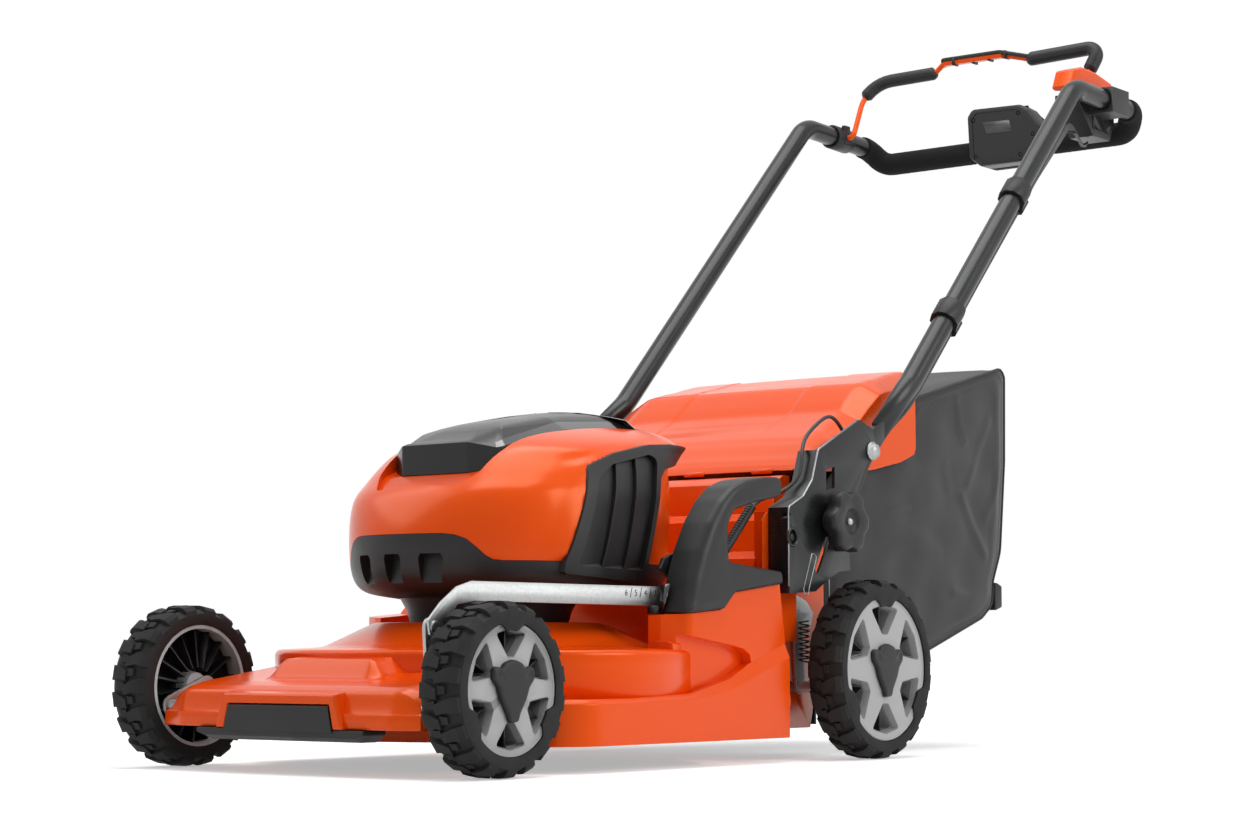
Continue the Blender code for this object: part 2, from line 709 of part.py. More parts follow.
def height_bar():
    """The flat bar that joins the two cranks and carries the height scale."""
    front = link_pin(front_pivot())
    rear = link_pin(rear_pivot())
    top = BAR_STRAIGHT_Z + BAR_HEIGHT / 2
    foot = BAR_STRAIGHT_Z - BAR_HEIGHT / 2
    outline = [(front[0] + 0.011, front[1] - 0.004), (front[0] + 0.034, foot - 0.004),
               (front[0] + 0.060, foot), (rear[0] - 0.030, foot - 0.002),
               (rear[0] + 0.010, rear[1] - 0.008), (rear[0] + 0.034, rear[1] - 0.014),
               (rear[0] + 0.040, rear[1] + 0.004), (rear[0] + 0.026, rear[1] + 0.018),
               (rear[0] - 0.010, top), (front[0] + 0.056, top), (front[0] + 0.034, top - 0.006),
               (front[0] + 0.010, front[1] + 0.024), (front[0] - 0.009, front[1] + 0.006),
               (front[0] - 0.006, front[1] - 0.008), (front[0] + 0.003, front[1] - 0.011)]
    body = piece("height_bar", prism(outline, "x", BAR_X, BAR_X + BAR_THICKNESS), ZINC, (BAR_X, *front))
    holes = [disc((BAR_X - 0.002, *front), X, PIN_R + RUN, BAR_THICKNESS + 0.004, 12),
             disc((BAR_X - 0.002, *rear), X, PIN_R + 2 * RUN, BAR_THICKNESS + 0.004, 12)]
    return cut(body, *holes)


def assist_spring():
    """One unbroken coil that helps to lift the deck."""
    steps = SPRING_TURNS * SPRING_STEPS
    height = SPRING_HIGH - SPRING_LOW
    path = []
    for i in range(steps + 1):
        turn = 2 * math.pi * i / SPRING_STEPS
        path.append((SPRING_X + SPRING_COIL_R * math.cos(turn), SPRING_Y + SPRING_COIL_R * math.sin(turn),
                     SPRING_LOW + height * i / steps))
    least = height / SPRING_TURNS - 2 * SPRING_WIRE_R
    print(f"least gap between the spring's coils: {least * 1000:.2f} mm")
    return piece("assist_spring", pipe(path, SPRING_WIRE_R, 5), STEEL, (SPRING_X, SPRING_Y, SPRING_LOW))


# Deck

def chute_outline(inset, low):
    """The side view of the discharge chute: a stepped front wall, a flat top and an open rear."""
    rise = (CHUTE_TOP - CHUTE_FLOOR_REAR) / CHUTE_STEPS
    run = (CHUTE_REAR - CHUTE_CROWN - CHUTE_FRONT) / CHUTE_STEPS
    points = [(CHUTE_FRONT + inset, low)]
    for step in range(CHUTE_STEPS):
        y = CHUTE_FRONT + run * step + inset
        z = CHUTE_FLOOR_REAR + rise * step - inset
        points += [(y, z), (y + 0.3 * run, z + 0.8 * rise)]
    return points + [(CHUTE_REAR - CHUTE_CROWN + inset, CHUTE_TOP - inset)]


def hollowed(name, outer, inner, plug):
    """A sheet shell that joins the deck: an outer shape less its inside and less the blade drum."""
    return cut(helper(name, outer), inner, plug)


def drum(inset, foot):
    """The round blade chamber with its raised dome."""
    radius = DRUM_R - inset
    top = DRUM_TOP - inset
    profile = [(radius, foot), (radius, top - 0.008), (radius - 0.008, top), (DOME_R + 0.060, top + 0.003),
               (DOME_R - inset, DOME_TOP - inset), (0, DOME_TOP - inset)]
    return turned(profile, (0, BLADE_Y, 0), Z, 24)


def drum_plug():
    """The space of the blade drum, a little inside its outer skin."""
    return drum(SHEET / 2, SKIRT_BOTTOM - 0.050)


def deck_shell():
    """The pressed deck: drum, skirt, nose, side panels, chute and the boxes for the handle brackets."""
    deck = piece("deck_shell", drum(0, SKIRT_BOTTOM), ORANGE)
    below = SKIRT_BOTTOM - 0.050
    cut(deck, drum(SHEET, below))
    corners = [SKIRT_CORNER, SKIRT_CORNER, 0.004, 0.004]
    skirt = prism(rounded(both_ways(SKIRT_HALF, SKIRT_FRONT, DECK_REAR), corners, 5), "z", SKIRT_BOTTOM,
                  SKIRT_TOP)
    inner = both_ways(SKIRT_HALF - SHEET, SKIRT_FRONT + SHEET, DECK_REAR - SHEET)
    skirt_space = prism(rounded(inner, [c - SHEET if c > SHEET else 0.002 for c in corners], 5), "z",
                        below, SKIRT_TOP - SHEET)
    shells = [hollowed("deck_skirt", skirt, skirt_space, drum_plug())]
    rise = NOSE_TOP_REAR - NOSE_TOP_FRONT
    nose = [(NOSE_FRONT, NOSE_BOTTOM), (NOSE_FRONT - 0.001, NOSE_LIP),
            (NOSE_FRONT + 0.012, NOSE_TOP_FRONT - 0.009), (NOSE_FRONT + 0.037, NOSE_TOP_FRONT),
            (NOSE_FRONT + 0.122, NOSE_TOP_FRONT + rise / 2), (BLADE_Y - DOME_R, NOSE_TOP_REAR),
            (BLADE_Y - DOME_R, NOSE_BOTTOM)]
    space = [(NOSE_FRONT + SHEET, below), (NOSE_FRONT + SHEET, NOSE_LIP - 0.002),
             (NOSE_FRONT + 0.014, NOSE_TOP_FRONT - 0.012), (NOSE_FRONT + 0.038, NOSE_TOP_FRONT - SHEET),
             (NOSE_FRONT + 0.122, NOSE_TOP_FRONT + rise / 2 - SHEET),
             (BLADE_Y - DOME_R - SHEET, NOSE_TOP_REAR - SHEET), (BLADE_Y - DOME_R - SHEET, below)]
    shells.append(hollowed("deck_nose", prism(nose, "x", -NOSE_HALF, NOSE_HALF),
                           prism(space, "x", SHEET - NOSE_HALF, NOSE_HALF - SHEET), drum_plug()))
    wide = PLATEAU_HALF + 0.022
    foot = NOSE_TOP_FRONT - 0.002
    plateau = loft([[(-wide, PLATEAU_FRONT - 0.022, foot), (wide, PLATEAU_FRONT - 0.022, foot),
                     (wide, BLADE_Y - DOME_R, foot), (-wide, BLADE_Y - DOME_R, foot)],
                    [(-PLATEAU_HALF, PLATEAU_FRONT, PLATEAU_TOP),
                     (PLATEAU_HALF, PLATEAU_FRONT, PLATEAU_TOP),
                     (PLATEAU_HALF, BLADE_Y - DOME_R, PLATEAU_TOP + 0.014),
                     (-PLATEAU_HALF, BLADE_Y - DOME_R, PLATEAU_TOP + 0.014)]])
    shells.append(cut(helper("deck_plateau", plateau), drum_plug()))
    for side_name, side in SIDES.items():
        shells.append(side_panel(f"deck_panel_{side_name}", side))
    join(deck, *shells)
    cut(deck, *[side_space(f"deck_space_{name}", side, below) for name, side in SIDES.items()])
    chute = chute_outline(0, CHUTE_FOOT) + [(CHUTE_REAR, CHUTE_TOP), (CHUTE_REAR, CHUTE_FLOOR_REAR),
                                            (CHUTE_REAR - 0.030, CHUTE_FOOT)]
    upper = chute_outline(SHEET, CHUTE_FLOOR_FRONT + SHEET) + [
        (CHUTE_REAR + 0.010, CHUTE_TOP - SHEET), (CHUTE_REAR + 0.010, CHUTE_FLOOR_REAR + 0.006 + SHEET),
        (CHUTE_FRONT + 0.020, CHUTE_FLOOR_FRONT + SHEET)]
    under = [(BLADE_Y + DRUM_R + GAP, below), (BLADE_Y + DRUM_R + GAP, CHUTE_FLOOR_FRONT),
             (CHUTE_FRONT + 0.022, CHUTE_FLOOR_FRONT), (CHUTE_REAR + 0.010, CHUTE_FLOOR_REAR + 0.006),
             (CHUTE_REAR + 0.010, below)]
    width = CHUTE_HALF - CHUTE_WALL
    join(deck, cut(helper("deck_chute", prism(chute, "x", -CHUTE_HALF, CHUTE_HALF)), drum_plug()))
    cut(deck, prism(upper, "x", -width, width), prism(under, "x", -width, width))
    for side in (1, -1):
        join(deck, *[on_side(shape, side) for shape in bracket_box()])
    mouth = [(CHUTE_FRONT - 0.040, CHUTE_FLOOR_FRONT + SHEET + 0.002),
             (CHUTE_FRONT + 0.030, CHUTE_FLOOR_FRONT + SHEET + 0.020),
             (CHUTE_FRONT + 0.030, DRUM_TOP - 0.010), (CHUTE_FRONT - 0.040, DRUM_TOP - 0.010)]
    holes = [prism(mouth, "x", -CHUTE_HALF * 0.8, CHUTE_HALF * 0.8),
             disc((0, BLADE_Y, DOME_TOP - 0.030), Z, SHAFT_HOLE_R, 0.050)]
    for pivot, half in ((front_pivot(), NOSE_HALF), (rear_pivot(), CHUTE_HALF)):
        for side in (1, -1):
            holes.append(disc((side * (half - 0.010), *pivot), X * side, AXLE_R + RUN, 0.014, 16))
    return cut(deck, merged(*holes))


def side_panel(name, side):
    """The tall side wall that ends the skirt and carries the height handle, still solid."""
    step = TOWER_STEP_Y
    foot = DRUM_TOP - 0.030
    tower = [(TOWER_FRONT, foot), (TOWER_FRONT - 0.004, TOWER_LOW - 0.001), (step, TOWER_LOW + 0.006),
             (step + 0.021, TOWER_HIGH), (step + 0.030, TOWER_HIGH), (step + 0.030, foot)]
    panel = [(PANEL_FRONT, SKIRT_BOTTOM), (PANEL_FRONT, TOWER_LOW + 0.014), (step + 0.021, TOWER_HIGH),
             (DECK_REAR - 0.023, PANEL_TOP), (DECK_REAR, SKIRT_BOTTOM)]
    body = helper(name, on_side(prism(panel, "x", PANEL_INNER, SKIRT_HALF), side))
    join(body, on_side(prism(tower, "x", PANEL_INNER + GAP, TOWER_OUTER), side))
    return cut(body, drum_plug())


def side_space(name, side, below):
    """The hollow inside a side wall, outside the blade drum and open below."""
    step = TOWER_STEP_Y
    foot = DRUM_TOP - 0.040
    tower = [(TOWER_FRONT + SHEET, foot), (TOWER_FRONT - 0.001, TOWER_LOW - 0.004), (step, TOWER_LOW + 0.002),
             (step + 0.030, TOWER_LOW + 0.012), (step + 0.030, foot)]
    panel = [(PANEL_FRONT + SHEET, below), (PANEL_FRONT + SHEET, TOWER_LOW + 0.008),
             (step + 0.023, TOWER_HIGH - SHEET), (DECK_REAR - 0.023 - SHEET, PANEL_TOP - SHEET),
             (DECK_REAR - SHEET, below)]
    body = helper(name, on_side(prism(panel, "x", PANEL_INNER + SHEET, SKIRT_HALF - SHEET), side))
    join(body, on_side(prism(tower, "x", PANEL_INNER + SHEET + GAP, TOWER_OUTER - SHEET), side))
    return cut(body, drum(-GAP, below - 0.010))


def bracket_box():
    """The left upright that a handle bracket bolts to, tied to the chute above the height bar."""
    outer = BRACKET_OUTER - BRACKET_FLANGE - 2 * GAP
    wall = SHEET
    front = PIVOT_Y + BRACKET_OUTLINE[0][0]
    rear = front + BOX_DEPTH + 0.013
    start = DECK_REAR - 0.0215
    upright = prism([(start, DRUM_TOP + 0.010), (start, BOX_TOP - 0.012), (start + 0.010, BOX_TOP - 0.002),
                     (rear - 0.001, BOX_TOP - 0.002), (rear - 0.001, DRUM_TOP + 0.010)], "x", outer - wall,
                    outer)
    bridge = block((CHUTE_HALF - 0.002, front + 0.013, BOX_TOP - wall), (outer - 0.001, rear, BOX_TOP))
    cheek = block((CHUTE_HALF - 0.002, front + 0.013, BOX_BOTTOM),
                  (outer - 0.001, front + 0.013 + wall, BOX_TOP - 0.001))
    return [upright, bridge, cheek]


def front_bumper():
    """The black bumper in the nose, with its foot under the lip."""
    face = NOSE_FRONT - 0.001 - GAP
    low = NOSE_BOTTOM - 0.003
    half = BUMPER_HALF
    rings = [[(-half - 0.006, y, low), (half + 0.006, y, low), (half, y, BUMPER_TOP), (-half, y, BUMPER_TOP)]
             for y in (face - BUMPER_DEPTH, face)]
    body = piece("front_bumper", loft(rings), BLACK, (0, face, low))
    foot = BUMPER_FOOT_HALF
    rings = [[(-foot, y, NOSE_BOTTOM - GAP - 0.001), (foot, y, NOSE_BOTTOM - GAP - 0.001),
              (foot - 0.012, y, BUMPER_FOOT), (0.012 - foot, y, BUMPER_FOOT)]
             for y in (face - BUMPER_DEPTH + 0.001, face + 0.030)]
    return join(body, loft(rings))


def rear_guard():
    """The hinged flap that hangs behind the deck, below the chute."""
    y = CHUTE_REAR - 0.004
    top = CHUTE_FLOOR_REAR - 0.012
    half = GUARD_THICKNESS / 2
    outline = [(y - half, top - GUARD_DROP), (y + half, top - GUARD_DROP), (y + half, top), (y - half, top)]
    body = piece("rear_guard", prism(outline, "x", -GUARD_HALF, GUARD_HALF), BLACK, (0, y, top))
    return join(body, disc((-GUARD_HALF - 0.0005, y, top), X, 0.0035, 2 * GUARD_HALF + 0.001, 12))


# Motor casing

def casing_ring(station, grow):
    """One level section of the casing: a round front and a squarer rear."""
    height, front, rear, half, depth, fullness = station
    front -= grow
    rear += grow
    half += grow
    middle = front + min(depth + grow, rear - front - half * 0.3)
    ring = []
    for i in range(CASING_POINTS):
        turn = 2 * math.pi * (i + 0.5) / CASING_POINTS
        power = 2 / (fullness if math.sin(turn) < 0 else REAR_FULLNESS)
        across = math.copysign(abs(math.cos(turn)) ** power, math.cos(turn))
        along = math.copysign(abs(math.sin(turn)) ** power, math.sin(turn))
        reach = rear - middle if along > 0 else middle - front
        ring.append((half * across, middle + reach * along, height))
    return ring


def casing(grow=0.0, lift=0.0):
    """The solid form of the motor casing, grown or shrunk by a wall and moved up or down."""
    low = CASING[0][0]
    high = CASING[-1][0]
    rings = []
    for station in CASING:
        share = (station[0] - low) / (high - low)
        rise = grow * (2 * share - 1) + lift
        rings.append(casing_ring((station[0] + rise, *station[1:]), grow))
    bm = loft(rings)
    bmesh.ops.triangulate(bm, faces=[face for face in bm.faces if len(face.verts) == 4], quad_method="FIXED")
    return bm


def split_space(shift, high):
    """Everything above the line where the hood meets the base, which drops in an S behind the front."""
    front, side = SPLIT_FRONT_Z + shift, SPLIT_SIDE_Z + shift
    steps = 8
    line = []
    for i in range(steps + 1):
        share = i / steps
        y = SPLIT_START_Y + (SPLIT_END_Y - SPLIT_START_Y) * share
        line.append((y, side + (front - side) * (1 + math.cos(math.pi * share)) / 2))
    outline = [(0.0, high), (0.0, front)] + line + [(0.55, side), (0.55, high)]
    return prism(outline, "x", -0.3, 0.3)


def lid_space(margin, seat):
    """The space of the battery lid in plan, grown by a margin, above its seat."""
    plan = [(x + margin, y) for x, y in LID_PLAN]
    plan[0] = (plan[0][0], plan[0][1] - margin)
    plan[-1] = (plan[-1][0], plan[-1][1] + margin)
    ring = rounded(plan + [(-x, y) for x, y in reversed(plan)],
                   [0.008, 0.012, 0.060, 0.008, 0.008, 0.060, 0.012, 0.008], 3)
    space = helper(f"lid_space_{len(bpy.data.objects)}", prism(ring, "z", 0.25, 0.60))
    below = [(y, z - seat) for y, z in LID_SEAT] + [(0.6, 0.1), (0.0, 0.1)]
    return cut(space, prism(below, "x", -0.3, 0.3))


def tray_space(margin):
    """The space of the tray in front of the lid, grown by a margin, above its sloping floor."""
    plan = [(x + margin, y) for x, y in TRAY_PLAN]
    plan[0] = (plan[0][0], plan[0][1] - margin)
    ring = rounded(plan + [(-x, y) for x, y in reversed(plan)], [0.012, 0.020, 0, 0, 0.020, 0.012], 3)
    space = helper(f"tray_space_{len(bpy.data.objects)}", prism(ring, "z", 0.25, 0.60))
    below = [(y, z - margin) for y, z in TRAY_FLOOR] + [(0.19, 0.1), (0.0, 0.1)]
    return cut(space, prism(below, "x", -0.3, 0.3))


def motor_hood():
    """The orange upper casing, open below, with a tray in front of the lid's opening."""
    body = piece("motor_hood", casing(), ORANGE)
    keep(body, split_space(0, 0.6))
    cut(body, casing(-CASING_WALL))
    tray = keep(helper("hood_tray", casing(-CASING_WALL / 4)), tray_space(CASING_WALL))
    join(body, tray)
    return cut(body, tray_space(0), lid_space(GAP, GAP))


def motor_base():
    """The black lower casing with its front scoops and the collar that stands on the deck."""
    body = piece("motor_base", casing(), BLACK)
    cut(body, split_space(-GAP, 0.6))
    scoops = []
    for scoop in range(SCOOPS):
        turn = math.radians(SCOOP_TURN * (scoop - (SCOOPS - 1) / 2))
        across = Vector((math.cos(turn), math.sin(turn), 0))
        outward = Vector((math.sin(turn), -math.cos(turn), 0))
        centre = Vector((0, BLADE_Y, 0)) + outward * (BLADE_Y - CASING[4][1] - SCOOP_DEPTH)
        corners = [(-1.0, 0.030, SCOOP_LOW), (1.0, 0.030, SCOOP_LOW), (0.8, 0.030, SCOOP_HIGH),
                   (-0.8, 0.030, SCOOP_HIGH)]
        front = [centre + across * SCOOP_HALF * s + outward * d + Z * z for s, d, z in corners]
        back = [centre + across * SCOOP_HALF * 0.8 * s + outward * 0.001 + Z
                * (z * 0.7 + SCOOP_HIGH * 0.3 - 0.002) for s, _, z in corners]
        scoops.append(loft([front, back]))
    inside = casing(-CASING_WALL)
    floor = block((-0.3, 0.0, 0.1), (0.3, 0.6, CASING_FLOOR + CASING_WALL + 0.004))
    space = cut(helper("motor_base_space", inside), floor)
    cut(body, space)
    collar = turned([(COLLAR_R, DOME_TOP + GAP), (COLLAR_R, CASING[0][0] + 0.002),
                     (COLLAR_R - 0.004, CASING[0][0] + 0.002), (COLLAR_R - 0.004, DOME_TOP + GAP)],
                    (0, BLADE_Y, 0), Z, 24, closed=True)
    join(body, collar)
    cut(body, *scoops)
    return cut(body, disc((0, BLADE_Y, DOME_TOP - 0.01), Z, SHAFT_HOLE_R, 0.060, 20))


def grilles():
    """The side vents: raised panels that follow the casing, with two slots each."""
    for side_name, side in SIDES.items():
        body = piece(f"grille_{side_name}", casing(GRILLE_PROUD), BLACK, (side * 0.15, 0.30, 0.28))
        plate = prism(GRILLE_OUTLINE, "x", GRILLE_INNER, 0.25)
        keep(body, on_side(plate, side))
        cut(body, casing(GAP))
        slots = []
        for share in (0.30, 0.62):
            low = (0.2500 + 0.085 * share, 0.2250)
            high = (0.2700 + 0.075 * share, 0.3150)
            outline = [low, (low[0] + 0.0030, low[1]), (high[0] + 0.0030, high[1]), high]
            slots.append(on_side(prism(outline, "x", 0.06, 0.25), side))
        cut(body, merged(*slots))


def battery_lid():
    """The black lid over the battery, hinged at its rear edge, with walls in the hood's opening."""
    hinge = (0, LID_PLAN[-1][1], LID_HINGE_Z)
    body = piece("battery_lid", casing(0, LID_PROUD), DARK, hinge)
    keep(body, lid_space(0, 0))
    inside = keep(helper("lid_inside", casing(0, LID_PROUD - LID_WALL)), lid_space(-LID_WALL, 0.01))
    return cut(body, inside)


def battery():
    """The battery pack in its bay."""
    outline = [(BATTERY_FRONT, BATTERY_BOTTOM), (BATTERY_FRONT, BATTERY_TOP - 0.038),
               (BATTERY_FRONT + 0.028, BATTERY_TOP - 0.014), (BATTERY_REAR, BATTERY_TOP),
               (BATTERY_REAR, BATTERY_BOTTOM)]
    body = piece("battery", prism(outline, "x", -BATTERY_HALF, BATTERY_HALF), DARK,
                 (0, BATTERY_FRONT, BATTERY_BOTTOM))
    grip = block((-0.028, BATTERY_REAR - 0.030, BATTERY_TOP - 0.012),
                 (0.028, BATTERY_REAR - 0.012, BATTERY_TOP + 0.010))
    return cut(body, grip)


def blade_drive():
    """The motor, its shaft with the blade flange, the blade and its bolt."""
    axis = (0, BLADE_Y, 0)
    floor = CASING_FLOOR + CASING_WALL + 0.004 + GAP
    bore = SHAFT_R + 0.001
    stator = [(MOTOR_R, floor), (MOTOR_R, MOTOR_TOP - 0.006), (MOTOR_R - 0.006, MOTOR_TOP),
              (bore, MOTOR_TOP), (bore, floor)]
    piece("motor", turned(stator, axis, Z, 24, closed=True), STEEL, (0, BLADE_Y, floor))
    flange = BLADE_Z + BLADE_THICKNESS + GAP
    profile = [(FLANGE_R, flange), (FLANGE_R, flange + FLANGE_THICKNESS),
               (SHAFT_R, flange + FLANGE_THICKNESS + 0.002), (SHAFT_R, MOTOR_TOP - 0.004),
               (0, MOTOR_TOP - 0.004)]
    body = piece("motor_shaft", turned(profile, axis, Z, 16), STEEL, (0, BLADE_Y, flange))
    cut(body, disc((0, BLADE_Y, flange - 0.010), Z, BLADE_BOLT_R + GAP, 0.034, 12))
    half, wide = BLADE_LENGTH / 2, BLADE_WIDTH / 2
    low, high = BLADE_Z, BLADE_Z + BLADE_THICKNESS
    plan = [(-half, BLADE_Y - wide), (-half * 0.55, BLADE_Y - wide), (half * 0.55, BLADE_Y - wide * 0.9),
            (half, BLADE_Y - wide * 0.7), (half, BLADE_Y + wide), (half * 0.55, BLADE_Y + wide),
            (-half * 0.55, BLADE_Y + wide * 0.9), (-half, BLADE_Y + wide * 0.7)]
    blade = piece("blade", prism(plan, "z", low, high), STEEL, (0, BLADE_Y, low))
    for turn in (0, 180):
        wing = [(BLADE_Y + wide * 0.6, low + 0.0005), (BLADE_Y + wide - 0.0005, low + 0.0005),
                (BLADE_Y + wide + 0.006, high + 0.012), (BLADE_Y + wide + 0.003, high + 0.012),
                (BLADE_Y + wide - 0.004, high - 0.0005), (BLADE_Y + wide * 0.6, high - 0.0005)]
        fin = prism(wing, "x", half * 0.58, half * 0.93)
        join(blade, turn_about(fin, (0, BLADE_Y, 0), "Z", turn))
    cut(blade, disc((0, BLADE_Y, low - 0.01), Z, BLADE_BOLT_R + GAP, 0.03, 12))
    head = turned([(0.009, low - 0.008), (0.009, low - GAP)], axis, Z, 6)
    bolt = piece("blade_bolt", head, ZINC, (0, BLADE_Y, low - 0.008))
    join(bolt, disc((0, BLADE_Y, low - 0.002), Z, BLADE_BOLT_R, 0.028, 12))


# Height handle

def height_grip():
    """The loop on the left of the deck that lifts it, and the catch that meets the height bar."""
    outline = rounded(GRIP_OUTLINE, 0.004, 2)
    at = (GRIP_INNER, TOWER_FRONT, TOWER_LOW)
    rings = [[(x, *point) for point in outline] for x in (GRIP_INNER, GRIP_OUTER)]
    piece("height_handle", loft(rings), BLACK, at)
    low = LATCH_X
    plate = [(-0.0240, -0.0770), (-0.0160, -0.0900), (-0.0100, -0.0770), (0.0060, -0.0080),
             (0.0040, 0.0060), (-0.0080, 0.0060), (-0.0440, -0.0060), (-0.0520, -0.0180),
             (-0.0380, -0.0250), (-0.0280, -0.0320)]
    body = piece("height_latch", prism(moved(plate, LATCH_PIN_Y, LATCH_PIN_Z), "x", low,
                                       low + LATCH_THICKNESS), BLACK, (low, LATCH_PIN_Y, LATCH_PIN_Z))
    return body


# Handle brackets

def slot_way():
    """The direction that a clamping bolt slides in its slot, seen from the side."""
    turn = math.radians(SLOT_DOWN)
    return -math.cos(turn), -math.sin(turn)


def brackets():
    """The flanged plates that hold the handle, with their pivot bolts, clamping bolts and knobs."""
    inner = BRACKET_OUTER - BRACKET_PLATE
    root = BRACKET_OUTER - BRACKET_FLANGE
    outline = moved(BRACKET_OUTLINE, PIVOT_Y, PIVOT_Z)
    front = outline[0][0]
    way = slot_way()
    for side_name, side in SIDES.items():
        pivot = (side * inner, PIVOT_Y, PIVOT_Z)
        body = piece(f"bracket_{side_name}", on_side(prism(outline, "x", inner, BRACKET_OUTER), side),
                     SATIN, pivot)
        flange = [outline[0], *outline[1:5]]
        thick = [(outline[0][0] + 0.0035, outline[0][1]), (outline[1][0] + 0.0035, outline[1][1] - 0.002),
                 (outline[2][0] + 0.002, outline[2][1] - 0.003),
                 (outline[3][0] + 0.003, outline[3][1] - 0.002),
                 (outline[4][0] + 0.0035, outline[4][1] - 0.0015)]
        strip = prism(flange + thick[::-1], "x", root, BRACKET_OUTER - 0.001)
        tab = block((root, front + 0.0005, outline[0][1] + 0.002),
                    (root + 0.0030, front + BRACKET_TAB, BOX_TOP - 0.006))
        join(body, on_side(strip, side), on_side(tab, side))
        slot_start = (KNOB_Y, KNOB_Z)
        slot_end = (KNOB_Y + way[0] * SLOT_TRAVEL, KNOB_Z + way[1] * SLOT_TRAVEL)
        slot = arm(slot_start, slot_end, inner - 0.010, BRACKET_OUTER + 0.010, BOLT_R + RUN)
        hole = disc((inner - 0.010, PIVOT_Y, PIVOT_Z), X, PIVOT_BOLT_R + GAP, 0.024, 16)
        window = prism([(y, z) for y,
                        z in moved([(-0.0980, -0.0280), (-0.0800, -0.0230), (-0.0800, -0.0480),
                                    (-0.0980, -0.0520)], PIVOT_Y, PIVOT_Z)], "x", inner - 0.010,
                       BRACKET_OUTER + 0.010)
        cut(body, on_side(slot, side), on_side(merged(hole, window), side))
        pivot_bolt(side_name, side)
        clamp(side_name, side)


def pivot_bolt(side_name, side):
    """The bolt that the handle folds about."""
    inner = HANDLE_HALF + TUBE_R - GAP - TANG_THICKNESS
    outer = BRACKET_OUTER
    profile = [(0, inner - 0.0065), (0.0075, inner - 0.0065), (0.0075, inner - RUN),
               (PIVOT_BOLT_R, inner - RUN), (PIVOT_BOLT_R, outer + GAP), (0.0110, outer + GAP),
               (0.0110, outer + 0.0020), (0.0085, outer + 0.0022), (0.0080, outer + 0.0070),
               (0, outer + 0.0076)]
    shape = turned(profile, (0, PIVOT_Y, PIVOT_Z), X, 12)
    piece(f"pivot_bolt_{side_name}", on_side(shape, side), ZINC, (side * outer, PIVOT_Y, PIVOT_Z))


def clamp(side_name, side):
    """The bolt that slides in the slot and the lobed knob that tightens it."""
    inner = HANDLE_HALF + TUBE_R - GAP - TANG_THICKNESS
    start = BRACKET_OUTER + RUN
    end = start + KNOB_THICKNESS
    profile = [(0, inner - RUN - BOLT_HEAD), (BOLT_HEAD_R, inner - RUN - BOLT_HEAD),
               (BOLT_HEAD_R, inner - RUN), (BOLT_R, inner - RUN), (BOLT_R, end - 0.004),
               (BOLT_R - 0.001, end - 0.003), (0, end - 0.003)]
    bolt = turned(profile, (0, KNOB_Y, KNOB_Z), X, 12)
    piece(f"knob_bolt_{side_name}", on_side(bolt, side), ZINC, (side * start, KNOB_Y, KNOB_Z))
    rings = []
    for along, scale in ((0, 0.62), (0.005, 0.66), (0.008, 1.0), (KNOB_THICKNESS - 0.004, 1.0),
                         (KNOB_THICKNESS, 0.93)):
        ring = []
        for i in range(KNOB_LOBES * 3):
            turn = 2 * math.pi * i / (KNOB_LOBES * 3)
            lobe = 1 - 0.085 * (1 - math.cos(KNOB_LOBES * turn)) * (1 if scale > 0.9 else 0)
            reach = KNOB_R * scale * lobe
            ring.append((start + along, KNOB_Y + reach * math.cos(turn), KNOB_Z + reach * math.sin(turn)))
        rings.append(ring)
    knob = piece(f"knob_{side_name}", on_side(loft(rings), side), BLACK, (side * start, KNOB_Y, KNOB_Z))
    recess = disc((end - 0.006, KNOB_Y, KNOB_Z), X, 0.013, 0.010, 16)
    bore = disc((start - 0.010, KNOB_Y, KNOB_Z), X, BOLT_R + GAP, KNOB_THICKNESS + 0.020, 12)
    cut(knob, on_side(recess, side), on_side(bore, side))


# Handle

def handle_axis():
    """The middle line of the handle tube, from its left foot round to its right foot."""
    down = Vector((0, KNEE_Y - PIVOT_Y, KNEE_Z - PIVOT_Z)).normalized() * TUBE_START
    left = [(HANDLE_HALF, PIVOT_Y + down.y, PIVOT_Z + down.z), (HANDLE_HALF, KNEE_Y, KNEE_Z),
            (HANDLE_HALF, HANDLE_TOP_Y, HANDLE_TOP_Z), (HANDLE_HALF, HANDLE_END_Y, HANDLE_END_Z),
            (HANDLE_BAR_HALF, HANDLE_BAR_Y, HANDLE_BAR_Z)]
    radii = [0, 0.120, 0.045, 0.026, 0.026]
    right = [(-x, y, z) for x, y, z in reversed(left)]
    return rounded(left + right, radii + radii[::-1], 2, closed=False)


def tube_side(point_y, lift):
    """A point beside the left tube at a distance along -Y/+Z from its middle line, between knee and top."""
    slope = Vector((0, HANDLE_TOP_Y - KNEE_Y, HANDLE_TOP_Z - KNEE_Z)).normalized()
    share = (point_y - KNEE_Y) / (HANDLE_TOP_Y - KNEE_Y)
    across = Vector((0, -slope.z, slope.y))
    return Vector((HANDLE_HALF, point_y, KNEE_Z + (HANDLE_TOP_Z - KNEE_Z) * share)) + across * lift


